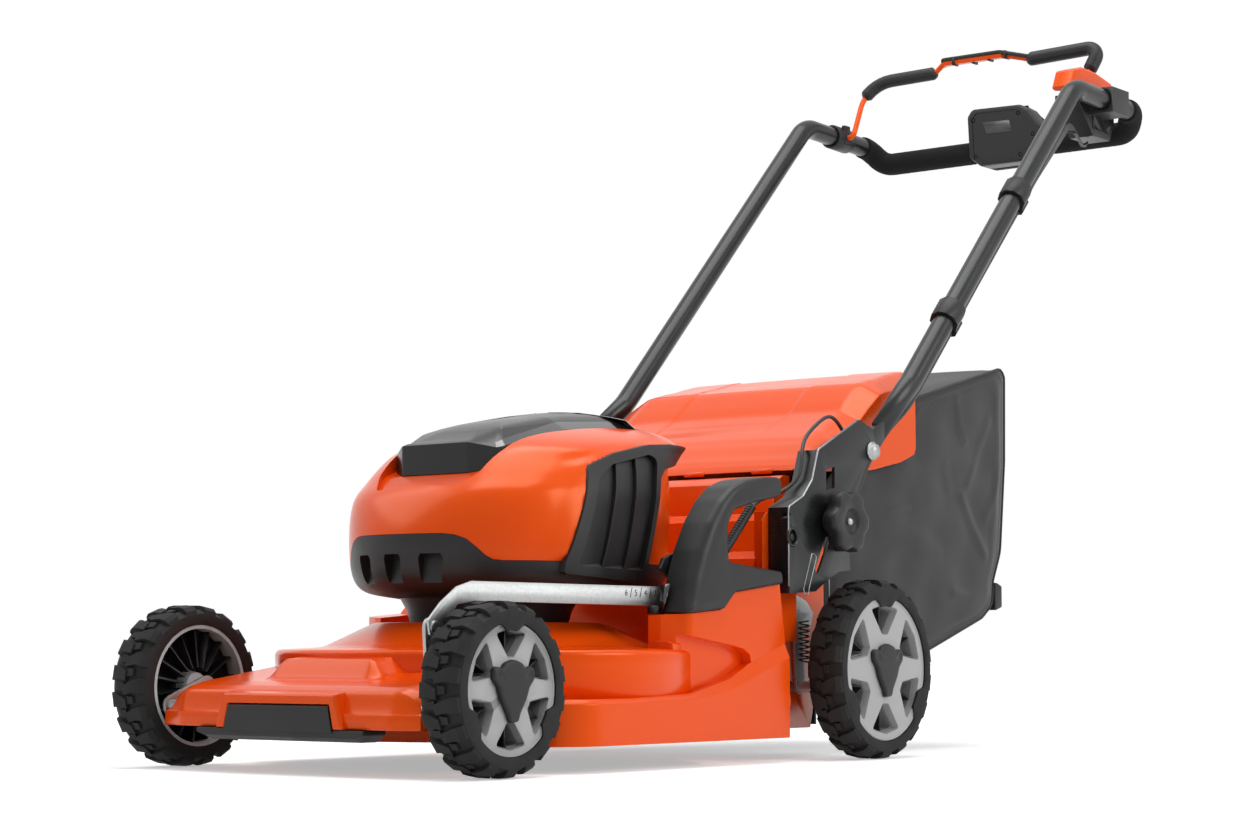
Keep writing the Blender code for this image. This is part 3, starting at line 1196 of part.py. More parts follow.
def handle_tube():
    """One bent tube with a flat tang at each foot that bears on the clamping bolt."""
    pivot = (0, PIVOT_Y, PIVOT_Z)
    body = piece("handle_tube", pipe(handle_axis(), TUBE_R, 8, TUBE_R - TUBE_WALL), SATIN, pivot)
    outer = HANDLE_HALF + TUBE_R - GAP
    inner = outer - TANG_THICKNESS
    along = Vector((KNOB_Y - PIVOT_Y, KNOB_Z - PIVOT_Z))
    length = along.length
    along.normalize()
    back = Vector((-along.y, along.x))
    up = Vector((KNEE_Y - PIVOT_Y, KNEE_Z - PIVOT_Z)).normalized()
    side = Vector((-up.y, up.x))
    centre = Vector((PIVOT_Y, PIVOT_Z))
    wide = TANG_HALF_WIDTH
    edge = -(BOLT_R + RUN) * 0.2
    corners = [centre + up * (TUBE_START + 0.030) - side * 0.008, centre + up * (TUBE_START + 0.030) + side
               * 0.008, centre + up * 0.012 + side * wide, centre - back * wide * 0.9 + along * 0.010,
               centre + along * (length - 0.022) + back * edge, centre + along * length + back * edge,
               centre + along * length + back * (wide + 0.006), centre + along * 0.030 + back * wide,
               centre - side * wide]
    plate = prism([tuple(c) for c in corners], "x", inner, outer)
    seat = disc((inner - 0.010, KNOB_Y, KNOB_Z), X, BOLT_R + RUN, TANG_THICKNESS + 0.020, 16)
    hole = disc((inner - 0.010, PIVOT_Y, PIVOT_Z), X, PIVOT_BOLT_R + GAP, TANG_THICKNESS + 0.020, 16)
    for way in (1, -1):
        tang = helper(f"tang_{way}", on_side(plate.copy(), way))
        cut(tang, on_side(merged(seat.copy(), hole.copy()), way))
        join(body, tang)
    return body


def foam_grips():
    """Foam sleeves over the crossbar and its corners."""
    path = [Vector(p) for p in handle_axis()]
    part = [p for p in path if p.x > 0 and p.y > FOAM_FRONT]
    before = [p for p in path if p.x > 0 and p.y <= FOAM_FRONT][-1]
    share = (FOAM_FRONT - before.y) / (part[0].y - before.y)
    part = [before.lerp(part[0], share)] + part + [Vector((FOAM_INNER, HANDLE_BAR_Y, HANDLE_BAR_Z))]
    for side_name, side in SIDES.items():
        inner = FOAM_INNER if side > 0 else -BOX_RIGHT + (FOAM_INNER - BOX_LEFT)
        line = part[:-1] + [Vector((inner, HANDLE_BAR_Y, HANDLE_BAR_Z))]
        body = pipe(line, FOAM_R, 8, facet_reach(TUBE_R + GAP, 8) + GAP)
        piece(f"foam_grip_{side_name}", on_side(body, side), FOAM,
              (side * HANDLE_BAR_HALF, HANDLE_BAR_Y, HANDLE_BAR_Z))


def control_frame():
    """The sloping operator's face of the control box: its middle, its way down and its outward way."""
    front = Vector((0, CONTROL_BACK - PANEL_SLOPE, CONTROL_HIGH))
    back = Vector((0, CONTROL_BACK, CONTROL_HIGH - PANEL_SLOPE))
    slope = (back - front).normalized()
    return (front + back) / 2, slope, Vector((0, -slope.z, slope.y)), (back - front).length


def sloped(x_low, x_high, half, low, high):
    """A block lying on the operator's face, from one height above it to another."""
    middle, slope, outward, _ = control_frame()
    ring = [middle - slope * half + outward * low, middle + slope * half + outward * low,
            middle + slope * half + outward * high, middle - slope * half + outward * high]
    return prism([(p.y, p.z) for p in ring], "x", x_low, x_high)


def controls():
    """The control box on the crossbar, its operator's panel and its two buttons."""
    middle, slope, outward, length = control_frame()
    outline = [(CONTROL_FRONT, CONTROL_LOW + 0.010), (CONTROL_FRONT + 0.008, CONTROL_LOW),
               (CONTROL_BACK, CONTROL_LOW), (CONTROL_BACK, CONTROL_HIGH - PANEL_SLOPE),
               (CONTROL_BACK - PANEL_SLOPE, CONTROL_HIGH), (CONTROL_FRONT, CONTROL_HIGH - 0.003)]
    body = piece("control_box", prism(outline, "x", BOX_RIGHT, BOX_LEFT), BLACK,
                 (BOX_RIGHT, HANDLE_BAR_Y, HANDLE_BAR_Z))
    bore = disc((BOX_RIGHT - 0.010, HANDLE_BAR_Y, HANDLE_BAR_Z), X, TUBE_R + GAP,
                BOX_LEFT - BOX_RIGHT + 0.020, 16)
    for side, corner in ((BOX_RIGHT, CONTROL_CORNERS[0]), (BOX_LEFT, CONTROL_CORNERS[1])):
        inward = -corner if side > 0 else corner
        wedge = [(side + inward, CONTROL_HIGH + 0.002), (side - inward, CONTROL_HIGH + 0.002),
                 (side - inward, CONTROL_HIGH - corner), (side, CONTROL_HIGH - corner * 0.8)]
        cut(body, prism(wedge, "y", CONTROL_FRONT - 0.010, CONTROL_BACK + 0.010))
    cut(body, bore)
    inset = 0.006
    low, high = BOX_RIGHT + inset + CONTROL_CORNERS[0], BOX_LEFT - inset - CONTROL_CORNERS[1]
    plate = sloped(low, high, length / 2 - inset, GAP, GAP + PANEL_THICKNESS)
    panel = piece("control_panel", plate, DARK, tuple(middle))
    span = high - low
    for name, share in (("power_button", 0.3), ("drive_button", 0.7)):
        centre = middle + X * (low + span * share)
        well = disc(centre - outward * (BUTTON_DEPTH + BUTTON_TRAVEL), outward, BUTTON_R + GAP * 2,
                    BUTTON_DEPTH + BUTTON_TRAVEL + 0.010, 16)
        cut(body, well)
        hole = disc(centre - outward * 0.002, outward, BUTTON_R + GAP * 2, 0.010, 16)
        cut(panel, hole)
        piece(name, disc(centre - outward * (BUTTON_DEPTH - GAP), outward, BUTTON_R,
                         BUTTON_DEPTH + PANEL_THICKNESS + 0.002, 16), GREY, tuple(centre))


def switch():
    """The switch box on the left tube and the orange start lever on top of it."""
    at = (HANDLE_HALF, BAIL_PIVOT_Y, BAIL_PIVOT_Z)
    outline = moved(SWITCH_OUTLINE, BAIL_PIVOT_Y, BAIL_PIVOT_Z)
    body = piece("switch_box", prism(outline, "x", SWITCH_INNER, SWITCH_OUTER), BLACK, at)
    level = HANDLE_TOP_Z + (HANDLE_END_Z - HANDLE_TOP_Z) * (BAIL_PIVOT_Y + 0.015
                                                            - HANDLE_TOP_Y) / (HANDLE_END_Y - HANDLE_TOP_Y)
    saddle = block((SWITCH_OUTER - 0.004, BAIL_PIVOT_Y - 0.010, level - TUBE_R - 0.0040),
                   (HANDLE_HALF + TUBE_R + 0.0035, BAIL_PIVOT_Y + 0.040, level + TUBE_R + 0.0040))
    join(body, saddle)
    start = (HANDLE_HALF, HANDLE_TOP_Y, HANDLE_TOP_Z)
    end = (HANDLE_HALF, HANDLE_END_Y, HANDLE_END_Z)
    cut(body, rod(start, end, TUBE_R + GAP, 16))
    cut(body, disc((SWITCH_INNER - 0.010, BAIL_PIVOT_Y, BAIL_PIVOT_Z), X, BAIL_R + RUN, 0.018, 12))
    lever = moved(LEVER_OUTLINE, BAIL_PIVOT_Y, BAIL_PIVOT_Z)
    hinge = (SWITCH_INNER, lever[3][0] - 0.005, lever[3][1] + 0.001)
    piece("start_lever", prism(lever, "x", SWITCH_INNER + 0.002, SWITCH_OUTER - LEVER_CLEARANCE), ORANGE,
          hinge)


def bail_axis():
    """The middle line of the bail, from its right pin over the top bar to its left pin."""
    pin = SWITCH_INNER - 0.008
    far = -(HANDLE_HALF - TUBE_R - 0.0125)
    near_y = BAIL_BAR_Y + BAIL_SKEW
    points = [
        (far - 0.0090, BAIL_PIVOT_Y, BAIL_PIVOT_Z), (far, BAIL_PIVOT_Y, BAIL_PIVOT_Z),
        (far, BAIL_BAR_Y, BAIL_BAR_Z),
        (BAIL_MIDDLE[0] - 0.010, BAIL_BAR_Y + BAIL_SKEW * 0.3, BAIL_BAR_Z + 0.005),
        (BAIL_MIDDLE[0] + 0.005, BAIL_BAR_Y + BAIL_SKEW * 0.35, BAIL_BAR_Z + 0.006 + BAIL_ARCH),
        (BAIL_MIDDLE[1] - 0.015, BAIL_BAR_Y + BAIL_SKEW * 0.6, BAIL_BAR_Z + 0.008 + BAIL_ARCH),
        (BAIL_MIDDLE[1] + 0.030, BAIL_BAR_Y + BAIL_SKEW * 0.7, BAIL_BAR_Z + 0.009),
        (pin + 0.015, near_y, BAIL_BAR_Z + 0.015), (pin + 0.002, near_y - 0.012, BAIL_BAR_Z - 0.020),
        (pin, BAIL_PIVOT_Y, BAIL_PIVOT_Z), (pin + 0.0145, BAIL_PIVOT_Y, BAIL_PIVOT_Z)
    ]
    radii = [0, 0.008, 0.046, 0.006, 0.006, 0.020, 0.020, 0.012, 0.012, 0.008, 0]
    return rounded(points, radii, 2, closed=False)


def bail():
    """The orange bail rod, the black cover on it and the clamp that holds its right pin."""
    path = [Vector(p) for p in bail_axis()]
    at = (0, BAIL_PIVOT_Y, BAIL_PIVOT_Z)
    piece("bail_core", pipe(path, BAIL_R, 6), ORANGE, at)
    covered = [p for p in path if p.z > BAIL_BAR_Z - 0.030]
    radii = [BAIL_MIDDLE_R if BAIL_MIDDLE[0] < p.x < BAIL_MIDDLE[1] else BAIL_GRIP_R for p in covered]
    piece("bail_cover", pipe(covered, radii, 6, facet_reach(BAIL_R + GAP, 6) + 2 * GAP), BLACK, at)
    level = HANDLE_TOP_Z + (HANDLE_END_Z - HANDLE_TOP_Z) * (BAIL_PIVOT_Y - HANDLE_TOP_Y) / (HANDLE_END_Y
                                                                                            - HANDLE_TOP_Y)
    reach = TUBE_R + CLIP_WALL
    half = CLAMP_LENGTH / 2
    body = piece("bail_clamp", disc((-HANDLE_HALF, BAIL_PIVOT_Y - half, level + half * 0.04), Y, reach,
                                    CLAMP_LENGTH, 16), BLACK, (-HANDLE_HALF, BAIL_PIVOT_Y, level))
    boss = disc((-HANDLE_HALF + 0.004, BAIL_PIVOT_Y, BAIL_PIVOT_Z), X, 0.0125, TUBE_R + 0.0015, 12)
    join(body, boss)
    start = (-HANDLE_HALF, HANDLE_TOP_Y, HANDLE_TOP_Z)
    end = (-HANDLE_HALF, HANDLE_END_Y, HANDLE_END_Z)
    bore = rod(start, end, TUBE_R + GAP, 16)
    socket = disc((bail_axis()[0][0] - 0.0005, BAIL_PIVOT_Y, BAIL_PIVOT_Z), X, BAIL_R + RUN, 0.020, 12)
    return cut(body, bore, socket)


def clips():
    """Two clips on the left tube that hold the control cable behind it."""
    slope = Vector((0, HANDLE_TOP_Y - KNEE_Y, HANDLE_TOP_Z - KNEE_Z)).normalized()
    for name, place in (("cable_clip_upper", CLIP_HIGH), ("cable_clip_lower", CLIP_LOW)):
        centre = tube_side(place[0], 0)
        start = centre - slope * CLIP_LENGTH / 2
        body = piece(name, disc(start, slope, TUBE_R + CLIP_WALL, CLIP_LENGTH, 10), BLACK, tuple(centre))
        lug = disc(tube_side(place[0], 0) - slope * CLIP_LENGTH * 0.35
                   + (tube_side(place[0], -(TUBE_R + CABLE_R + 0.003)) - centre), slope, 0.0075,
                   CLIP_LENGTH * 0.7, 8)
        join(body, lug)
        cut(body, rod(tube_side(KNEE_Y + 0.020, 0), tube_side(HANDLE_TOP_Y - 0.060, 0), TUBE_R + GAP, 16))
        cable_way = -(TUBE_R + CABLE_R + 0.003)
        cut(body, rod(tube_side(place[0] - 0.030, cable_way), tube_side(place[0] + 0.030, cable_way),
                      CABLE_R + RUN, 10))


def smooth_route(points, spacing):
    """Points at an even spacing on a smooth curve through a route's own points."""
    route = [Vector(p) for p in points]
    ends = [route[0] * 2 - route[1]] + route + [route[-1] * 2 - route[-2]]
    fine = []
    for a, b, c, d in zip(ends, ends[1:], ends[2:], ends[3:]):
        for i in range(12):
            t = i / 12
            fine.append((2 * b + (c - a) * t + (2 * a - 5 * b + 4 * c - d) * t ** 2
                         + (3 * b - a - 3 * c + d) * t ** 3) / 2)
    fine.append(route[-1])
    lengths = [0.0]
    for a, b in zip(fine, fine[1:]):
        lengths.append(lengths[-1] + (b - a).length)
    count = max(4, round(lengths[-1] / spacing))
    even = []
    for i in range(count + 1):
        target = lengths[-1] * i / count
        k = max(1, next((k for k, l in enumerate(lengths) if l >= target - 1e-9), len(fine) - 1))
        share = (target - lengths[k - 1]) / (lengths[k] - lengths[k - 1])
        even.append(fine[k - 1].lerp(fine[k], share))
    return even


def cable(name, points, radius, spacing):
    """A cable as a bevelled curve along a smooth route."""
    data = bpy.data.curves.new(name, "CURVE")
    data.dimensions = "3D"
    data.bevel_depth = radius
    data.bevel_resolution = 2
    data.use_fill_caps = True
    route = smooth_route(points, spacing)
    spline = data.splines.new("POLY")
    spline.points.add(len(route) - 1)
    for slot, place in zip(spline.points, route):
        slot.co = (*(place - route[0]), 1)
    data.materials.append(BLACK)
    obj = bpy.data.objects.new(name, data)
    obj.location = route[0]
    obj.parent = MACHINE
    bpy.context.scene.collection.objects.link(obj)
    return obj


def sleeve_ends():
    """The two ends of the ribbed sleeve in front of the left bracket."""
    y = PIVOT_Y + BRACKET_OUTLINE[0][0]
    return Vector((SLEEVE_X, y - 0.075, BOX_TOP - 0.058)), Vector((SLEEVE_X, y - 0.012, BOX_TOP + 0.004))


def cables():
    """The cable from the motor casing to the handle, its ribbed sleeve and the cable up the handle."""
    low, high = sleeve_ends()
    wall = CASING[3][3]
    edge = moved(BRACKET_OUTLINE, PIVOT_Y, PIVOT_Z)
    over = CABLE_R + CABLE_LIFT
    tube = [
        (wall + 0.0008, low.y - 0.018, low.z - 0.014),
        (wall + 0.016, low.y - 0.016, low.z - 0.013),
        (SLEEVE_X - 0.012, low.y - 0.010, low.z - 0.010),
        tuple(low),
        tuple(low.lerp(high, 0.33)),
        tuple(low.lerp(high, 0.67)),
    ]
    shares = (0, 0.18, 0.19, 0.38, 0.39, 0.58, 0.59, 0.78, 0.79, 1.0)
    sleeve_path = [low + (high - low) * share for share in shares]
    groove = SLEEVE_GROOVE_R
    thick = [SLEEVE_R, SLEEVE_R, groove, groove, SLEEVE_R, SLEEVE_R, groove, groove, SLEEVE_R, SLEEVE_R]
    piece("cable_sleeve", pipe(sleeve_path, thick, 8, CABLE_R + 3 * RUN), BLACK, tuple(low))
    along = BRACKET_OUTER - CABLE_FROM_PLATE
    beside = HANDLE_HALF - TUBE_R - CABLE_R - 0.002
    upper = [
        tuple(high),
        (SLEEVE_X + 0.004, high.y + 0.007, high.z + 0.008),
        (along - 0.010, edge[2][0] - 0.003, edge[2][1] + over + 0.002),
        (along, edge[3][0] - over, edge[3][1] + over * 0.6),
        (along, (edge[3][0] + edge[4][0]) / 2 - over - 0.001, (edge[3][1] + edge[4][1]) / 2 + 0.002),
        (along - 0.005, edge[4][0] - over * 0.3, edge[4][1] + over + 0.001),
        (beside, (edge[4][0] + edge[5][0]) / 2 - 0.003, (edge[4][1] + edge[5][1]) / 2 + over + 0.001),
        (beside - 0.004, edge[5][0] - 0.002, edge[5][1] + over + 0.0015),
        (beside - 0.005, PIVOT_Y - 0.004, PIVOT_Z + 0.034),
        (beside - 0.001, PIVOT_Y + 0.004, PIVOT_Z + 0.020),
    ]
    behind = -(TUBE_R + CABLE_R + 0.003)
    first = Vector(upper[-1]) + Vector((0.0055, 0.001, -0.001))
    rise = HANDLE_TOP_Y - KNEE_Y - 0.090
    climb = [tuple(tube_side(KNEE_Y + 0.030 + rise * i / 6, behind)) for i in range(7)]
    box_foot = (SWITCH_INNER + 0.020, BAIL_PIVOT_Y + 0.018, BAIL_PIVOT_Z + SWITCH_OUTLINE[1][1] - 0.0032)
    route = [
        tuple(first),
        (first.x + 0.003, first.y + 0.006, first.z - 0.008),
        (first.x + 0.006, PIVOT_Y + 0.036, PIVOT_Z + 0.006),
        (HANDLE_HALF - 0.001, PIVOT_Y + 0.075, PIVOT_Z + 0.033),
        (HANDLE_HALF, KNEE_Y + 0.006, KNEE_Z - 0.024),
        *climb,
        (HANDLE_HALF - 0.003, HANDLE_TOP_Y - 0.012, HANDLE_TOP_Z - 0.048),
        (HANDLE_HALF - 0.016, HANDLE_TOP_Y + 0.034, HANDLE_TOP_Z - 0.056),
        (box_foot[0], box_foot[1] - 0.016, box_foot[2] - 0.014),
        (box_foot[0], box_foot[1] - 0.002, box_foot[2] - 0.008),
        box_foot,
    ]
    cable("handle_cable", route, CABLE_R, 0.030)
    cable("body_cable", tube + upper, CABLE_R, 0.014)


# Flap and grass bag

def flap_height(at_y):
    """The height of the flap's top surface at a distance along the mower."""
    for (y0, z0, _), (y1, z1, _) in zip(FLAP_CREASE, FLAP_CREASE[1:]):
        if y0 <= at_y <= y1:
            return z0 + (z1 - z0) * (at_y - y0) / (y1 - y0)
    return FLAP_CREASE[-1][1]


def rear_flap():
    """The orange flap over the chute and the front of the bag, with side cheeks and a raised middle."""
    rings = []
    inner = []
    sheet = FLAP_SHEET
    for (y, z, crease), (edge_y, edge_z) in zip(FLAP_CREASE, FLAP_EDGE):
        shoulder = max(z - FLAP_SHOULDER * (FLAP_HALF - crease) - 0.0002, edge_z + 0.0010)
        wide = FLAP_HALF
        rings.append([(-wide, edge_y, edge_z), (-wide, edge_y, shoulder), (-crease, y, z), (crease, y, z),
                      (wide, edge_y, shoulder), (wide, edge_y, edge_z)])
        wide -= sheet
        narrow = crease - sheet * 0.6
        top = z - sheet * 1.25
        side = max(min(shoulder - sheet * 0.5, top - 0.0003), edge_z - 0.0400)
        inner.append([(-wide, edge_y, edge_z - 0.060), (-wide, edge_y, side), (-narrow, y + 0.0002, top),
                      (narrow, y + 0.0002, top), (wide, edge_y, side), (wide, edge_y, edge_z - 0.060)])
    body = piece("rear_flap", loft(rings), ORANGE, (0, FLAP_HINGE_Y, FLAP_HINGE_Z))
    plans = []
    for plan, rise in ((HUMP_PLAN, -0.0020), (HUMP_TOP_PLAN, HUMP_RISE)):
        sides = plan + [(-x, y) for x, y in reversed(plan)]
        plans.append([(x, y, flap_height(y) + rise) for x, y in sides])
    join(body, loft(plans))
    inner = inner[1:]
    last = inner[-1]
    inner.append([(x, y + 0.030, z) for x, y, z in last])
    return cut(body, loft(inner))


def bag():
    """The grass bag with an open front, its wire frame and the grip on its back."""
    outline = moved(BAG_OUTLINE, CHUTE_REAR, CHUTE_TOP)
    at = (0, CHUTE_REAR, CHUTE_FLOOR_REAR)
    body = piece("grass_bag", prism(outline, "x", -BAG_HALF, BAG_HALF), FABRIC, at)
    centre = (sum(y for y, _ in outline) / len(outline), sum(z for _, z in outline) / len(outline))
    inner = [(y - math.copysign(BAG_WALL, y - centre[0]), z - math.copysign(BAG_WALL, z - centre[1]))
             for y, z in outline]
    inner[0] = (outline[0][0] - 0.010, outline[0][1] + BAG_WALL)
    inner[1] = (outline[1][0] - 0.010, outline[1][1] - BAG_WALL * 2)
    cut(body, prism(inner, "x", BAG_WALL - BAG_HALF, BAG_HALF - BAG_WALL))
    wide = BAG_HALF - BAG_WALL - BAG_FRAME_R - GAP
    low = outline[0][1] + BAG_WALL + BAG_FRAME_R + 0.003
    high = outline[1][1] - BAG_WALL * 2 - BAG_FRAME_R - 0.004
    y = outline[0][0] + 0.012
    corners = rounded([(-wide, low), (wide, low), (wide, high), (-wide, high)], 0.020, 4)
    ring = [Vector((x, y, z)) for x, z in corners]
    rings = []
    for i, point in enumerate(ring):
        tangent = (ring[(i + 1) % len(ring)] - ring[i - 1]).normalized()
        across = tangent.cross(Y)
        rings.append([point + (across * math.cos(t) + Y * math.sin(t)) * BAG_FRAME_R
                      for t in [2 * math.pi * k / 6 for k in range(6)]])
    piece("bag_frame", loft(rings, closed=True), STEEL, (0, y, low))
    back = max(y for y, _ in outline)
    face = [(BAG_GRIP_LOW, 0.004), (BAG_GRIP_LOW + 0.004, BAG_GRIP_DEPTH),
            (BAG_GRIP_HIGH - 0.004, BAG_GRIP_DEPTH), (BAG_GRIP_HIGH, 0.006)]
    wall = max(wall_at(outline, BAG_GRIP_LOW), wall_at(outline, BAG_GRIP_HIGH)) + GAP
    grip = [(wall + out, z) for z, out in face] + [(wall, BAG_GRIP_HIGH), (wall, BAG_GRIP_LOW)]
    handle = piece("bag_handle", prism(grip, "x", -BAG_GRIP_HALF, BAG_GRIP_HALF), BLACK,
                   (0, back, BAG_GRIP_LOW))
    fingers = block((-0.055, back - 0.080, BAG_GRIP_LOW + 0.012),
                    (0.055, back + 0.060, BAG_GRIP_HIGH - 0.008))
    return cut(handle, fingers)


def wall_at(outline, height):
    """How far back the bag's rear wall stands at a height."""
    found = []
    for (y1, z1), (y2, z2) in zip(outline, outline[1:] + outline[:1]):
        if min(z1, z2) <= height <= max(z1, z2) and z1 != z2:
            found.append(y1 + (y2 - y1) * (height - z1) / (z2 - z1))
    return max(found)


def build():
    """Makes every piece."""
    wheels()
    axles()
    height_bar()
    assist_spring()
    deck_shell()
    front_bumper()
    rear_guard()
    motor_hood()
    motor_base()
    grilles()
    battery_lid()
    battery()
    blade_drive()
    height_grip()
    brackets()
    handle_tube()
    foam_grips()
    controls()
    switch()
    bail()
    clips()
    cables()
    rear_flap()
    bag()
    MACHINE.location = (0, -MID_Y, 0)


clear_scene()
ORANGE = material("painted_steel_orange", "E4501B", 0.30)
BLACK = material("moulded_plastic_black", "3A3A3B", 0.50)
DARK = material("moulded_plastic_dark", "262728", 0.35)
SATIN = material("powder_coated_steel", "303133", 0.38)
RUBBER = material("tyre_rubber", "2C2C2C", 0.85)
FOAM = material("grip_foam", "343434", 0.90)
FABRIC = material("bag_fabric", "474748", 0.95)
RIM_GREY = material("moulded_plastic_grey", "B4B4B4", 0.45)
GREY = material("button_grey", "8A8A8A", 0.50)
ZINC = material("zinc_plated_steel", "C6C9C6", 0.32, 1.0)
STEEL = material("plain_steel", "8C8F92", 0.38, 1.0)
HELPER = material("helper", "FFFFFF", 0.50)
MACHINE = bpy.data.objects.new("mower", None)
bpy.context.scene.collection.objects.link(MACHINE)
build()
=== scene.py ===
"""Looks of a cordless lawn mower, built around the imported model.

Sizes are in metres. Every piece is drawn from the front axle's ground point, as the solids are, and
moved back by MID_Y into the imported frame. The mower faces -Y and its left side is +X. Side-view
outlines are (y, z) pairs.
"""

import math

import bmesh
import bpy
from mathutils import Matrix, Vector
from mathutils.bvhtree import BVHTree


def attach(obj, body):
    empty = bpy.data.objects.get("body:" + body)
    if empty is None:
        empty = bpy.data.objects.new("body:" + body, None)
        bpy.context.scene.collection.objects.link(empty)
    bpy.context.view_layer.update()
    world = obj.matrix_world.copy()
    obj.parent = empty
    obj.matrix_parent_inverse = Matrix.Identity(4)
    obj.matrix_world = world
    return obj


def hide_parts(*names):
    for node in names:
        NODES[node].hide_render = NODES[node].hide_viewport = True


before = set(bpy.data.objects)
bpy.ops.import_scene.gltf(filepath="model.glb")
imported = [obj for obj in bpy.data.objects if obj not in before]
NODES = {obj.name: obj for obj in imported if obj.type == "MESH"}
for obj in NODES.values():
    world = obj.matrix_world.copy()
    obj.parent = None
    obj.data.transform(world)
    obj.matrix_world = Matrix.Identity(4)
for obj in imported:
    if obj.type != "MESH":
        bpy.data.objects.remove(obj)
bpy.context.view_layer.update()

MID_Y = 0.6680
X = Vector((1, 0, 0))
Y = Vector((0, 1, 0))
Z = Vector((0, 0, 1))
SIDES = {"left": 1, "right": -1}
ENDS = ("front", "rear")

# Wheels
WHEEL_R = {"front": 0.0875, "rear": 0.1040}
WHEEL_WIDTH = {"front": 0.0530, "rear": 0.0476}
HALF_TRACK = {"front": 0.2500, "rear": 0.2885}
AXLE_Y = {"front": 0.0, "rear": 0.6230}
RIM_R = {"front": 0.0666, "rear": 0.0837}
RIM_INSET = 0.0040
AXLE_R = 0.0060
CAP_R = 0.0300

# Motor casing as level sections: height, front, rear, half width, depth of the front curve, its fullness
CASING = [
    (0.1830, 0.1500, 0.3700, 0.1080, 0.1080, 2.0),
    (0.1890, 0.1180, 0.4200, 0.1420, 0.1420, 2.0),
    (0.2000, 0.1020, 0.4360, 0.1530, 0.1530, 2.0),
    (0.2200, 0.0950, 0.4420, 0.1570, 0.1570, 2.0),
    (0.2500, 0.0930, 0.4440, 0.1580, 0.1580, 2.0),
    (0.2900, 0.1120, 0.4440, 0.1560, 0.1660, 2.5),
    (0.3120, 0.1330, 0.4430, 0.1520, 0.1600, 2.6),
    (0.3320, 0.1520, 0.4430, 0.1460, 0.1600, 2.6),
    (0.3460, 0.1720, 0.4640, 0.1400, 0.1450, 2.6),
    (0.3580, 0.1940, 0.4760, 0.1310, 0.1750, 2.6),
    (0.3700, 0.2300, 0.4680, 0.1100, 0.1700, 2.4),
    (0.3810, 0.2850, 0.4480, 0.0770, 0.1200, 2.2),
    (0.3890, 0.3350, 0.4200, 0.0380, 0.0420, 2.0),
]
REAR_FULLNESS = 3.6
BLADE_Y = 0.2500

# Handle
PIVOT_Y, PIVOT_Z = 0.6610, 0.3620
KNOB_Y, KNOB_Z = 0.5780, 0.2740
KNOB_FACE, KNOB_R = 0.2446, 0.0378
BRACKET_OUTER = 0.2440
RECESS_Y, RECESS_Z = 0.4944, 0.2541
TUBE_R = 0.0140
HANDLE_HALF = 0.2240
KNEE_Y, KNEE_Z = 0.7820, 0.4550
HANDLE_TOP_Y, HANDLE_TOP_Z = 1.2160, 0.9000
HANDLE_END_Y, HANDLE_END_Z = 1.3880, 0.8930
HANDLE_BAR_Y, HANDLE_BAR_Z = 1.4080, 0.8690
HANDLE_BAR_HALF = 0.2060
FOAM_R = 0.0155
FOAM_FRONT = 1.3710
BOX_LEFT, BOX_RIGHT = 0.0850, -0.0440
BAIL_PIVOT_Y, BAIL_PIVOT_Z = 1.3060, 0.8960
SWITCH_INNER, SWITCH_OUTER = 0.1680, 0.2050


# Materials

def linear(colour):
    """A linear colour with full alpha from an sRGB hex value."""
    channels = [int(colour[i:i + 2], 16) / 255 for i in (0, 2, 4)]
    return (*[c / 12.92 if c <= 0.04045 else ((c + 0.055) / 1.055) ** 2.4 for c in channels], 1.0)


def add(tree, kind, inputs=None, **settings):
    """Adds a node with its settings; each input gets a value or a link from another node's socket."""
    node = tree.nodes.new(kind)
    for key, value in settings.items():
        setattr(node, key, value)
    for socket, value in (inputs or {}).items():
        if isinstance(value, bpy.types.NodeSocket):
            tree.links.new(value, node.inputs[socket])
        else:
            node.inputs[socket].default_value = value
    return node


def blank(name, **values):
    """A material with its shader's own sockets set, the tree, the shader and the object's coordinates."""
    made = bpy.data.materials.new(name)
    made.use_nodes = True
    tree = made.node_tree
    shader = tree.nodes["Principled BSDF"]
    for socket, value in values.items():
        shader.inputs[socket.replace("_", " ")].default_value = value
    place = add(tree, "ShaderNodeTexCoord").outputs["Object"]
    return made, tree, shader, place


def tint(tree, shader, factor, low, high):
    """Runs the base colour between two sRGB values along a factor from 0 to 1."""
    mix = add(tree, "ShaderNodeMix", {"Factor": factor}, data_type="RGBA")
    mix.inputs[6].default_value = linear(low)
    mix.inputs[7].default_value = linear(high)
    tree.links.new(mix.outputs[2], shader.inputs["Base Color"])
    return mix


def finish(name, colour, roughness, patch_mm=60, patch_colour=None, spread=0.05, grain_mm=0.8, grain_um=20,
           **values):
    """A moulded or coated surface: faint patches of tone and gloss, and a fine grain."""
    made, tree, shader, place = blank(name, **values)
    patches = add(tree, "ShaderNodeTexNoise", {"Vector": place, "Scale": 1000 / patch_mm, "Detail": 4.0,
                                               "Roughness": 0.6})
    spot = patches.outputs["Fac"]
    tint(tree, shader, spot, colour, patch_colour or colour)
    gloss = add(tree, "ShaderNodeMapRange", {"Value": spot, "From Min": 0.3, "From Max": 0.7,
                                             "To Min": roughness - spread, "To Max": roughness + spread})
    tree.links.new(gloss.outputs["Result"], shader.inputs["Roughness"])
    grain = add(tree, "ShaderNodeTexNoise", {"Vector": place, "Scale": 1000 / grain_mm, "Detail": 2.0})
    bump = add(tree, "ShaderNodeBump", {"Height": grain.outputs["Fac"], "Strength": 1.0,
                                        "Distance": grain_um * 1e-6})
    tree.links.new(bump.outputs["Normal"], shader.inputs["Normal"])
    return made


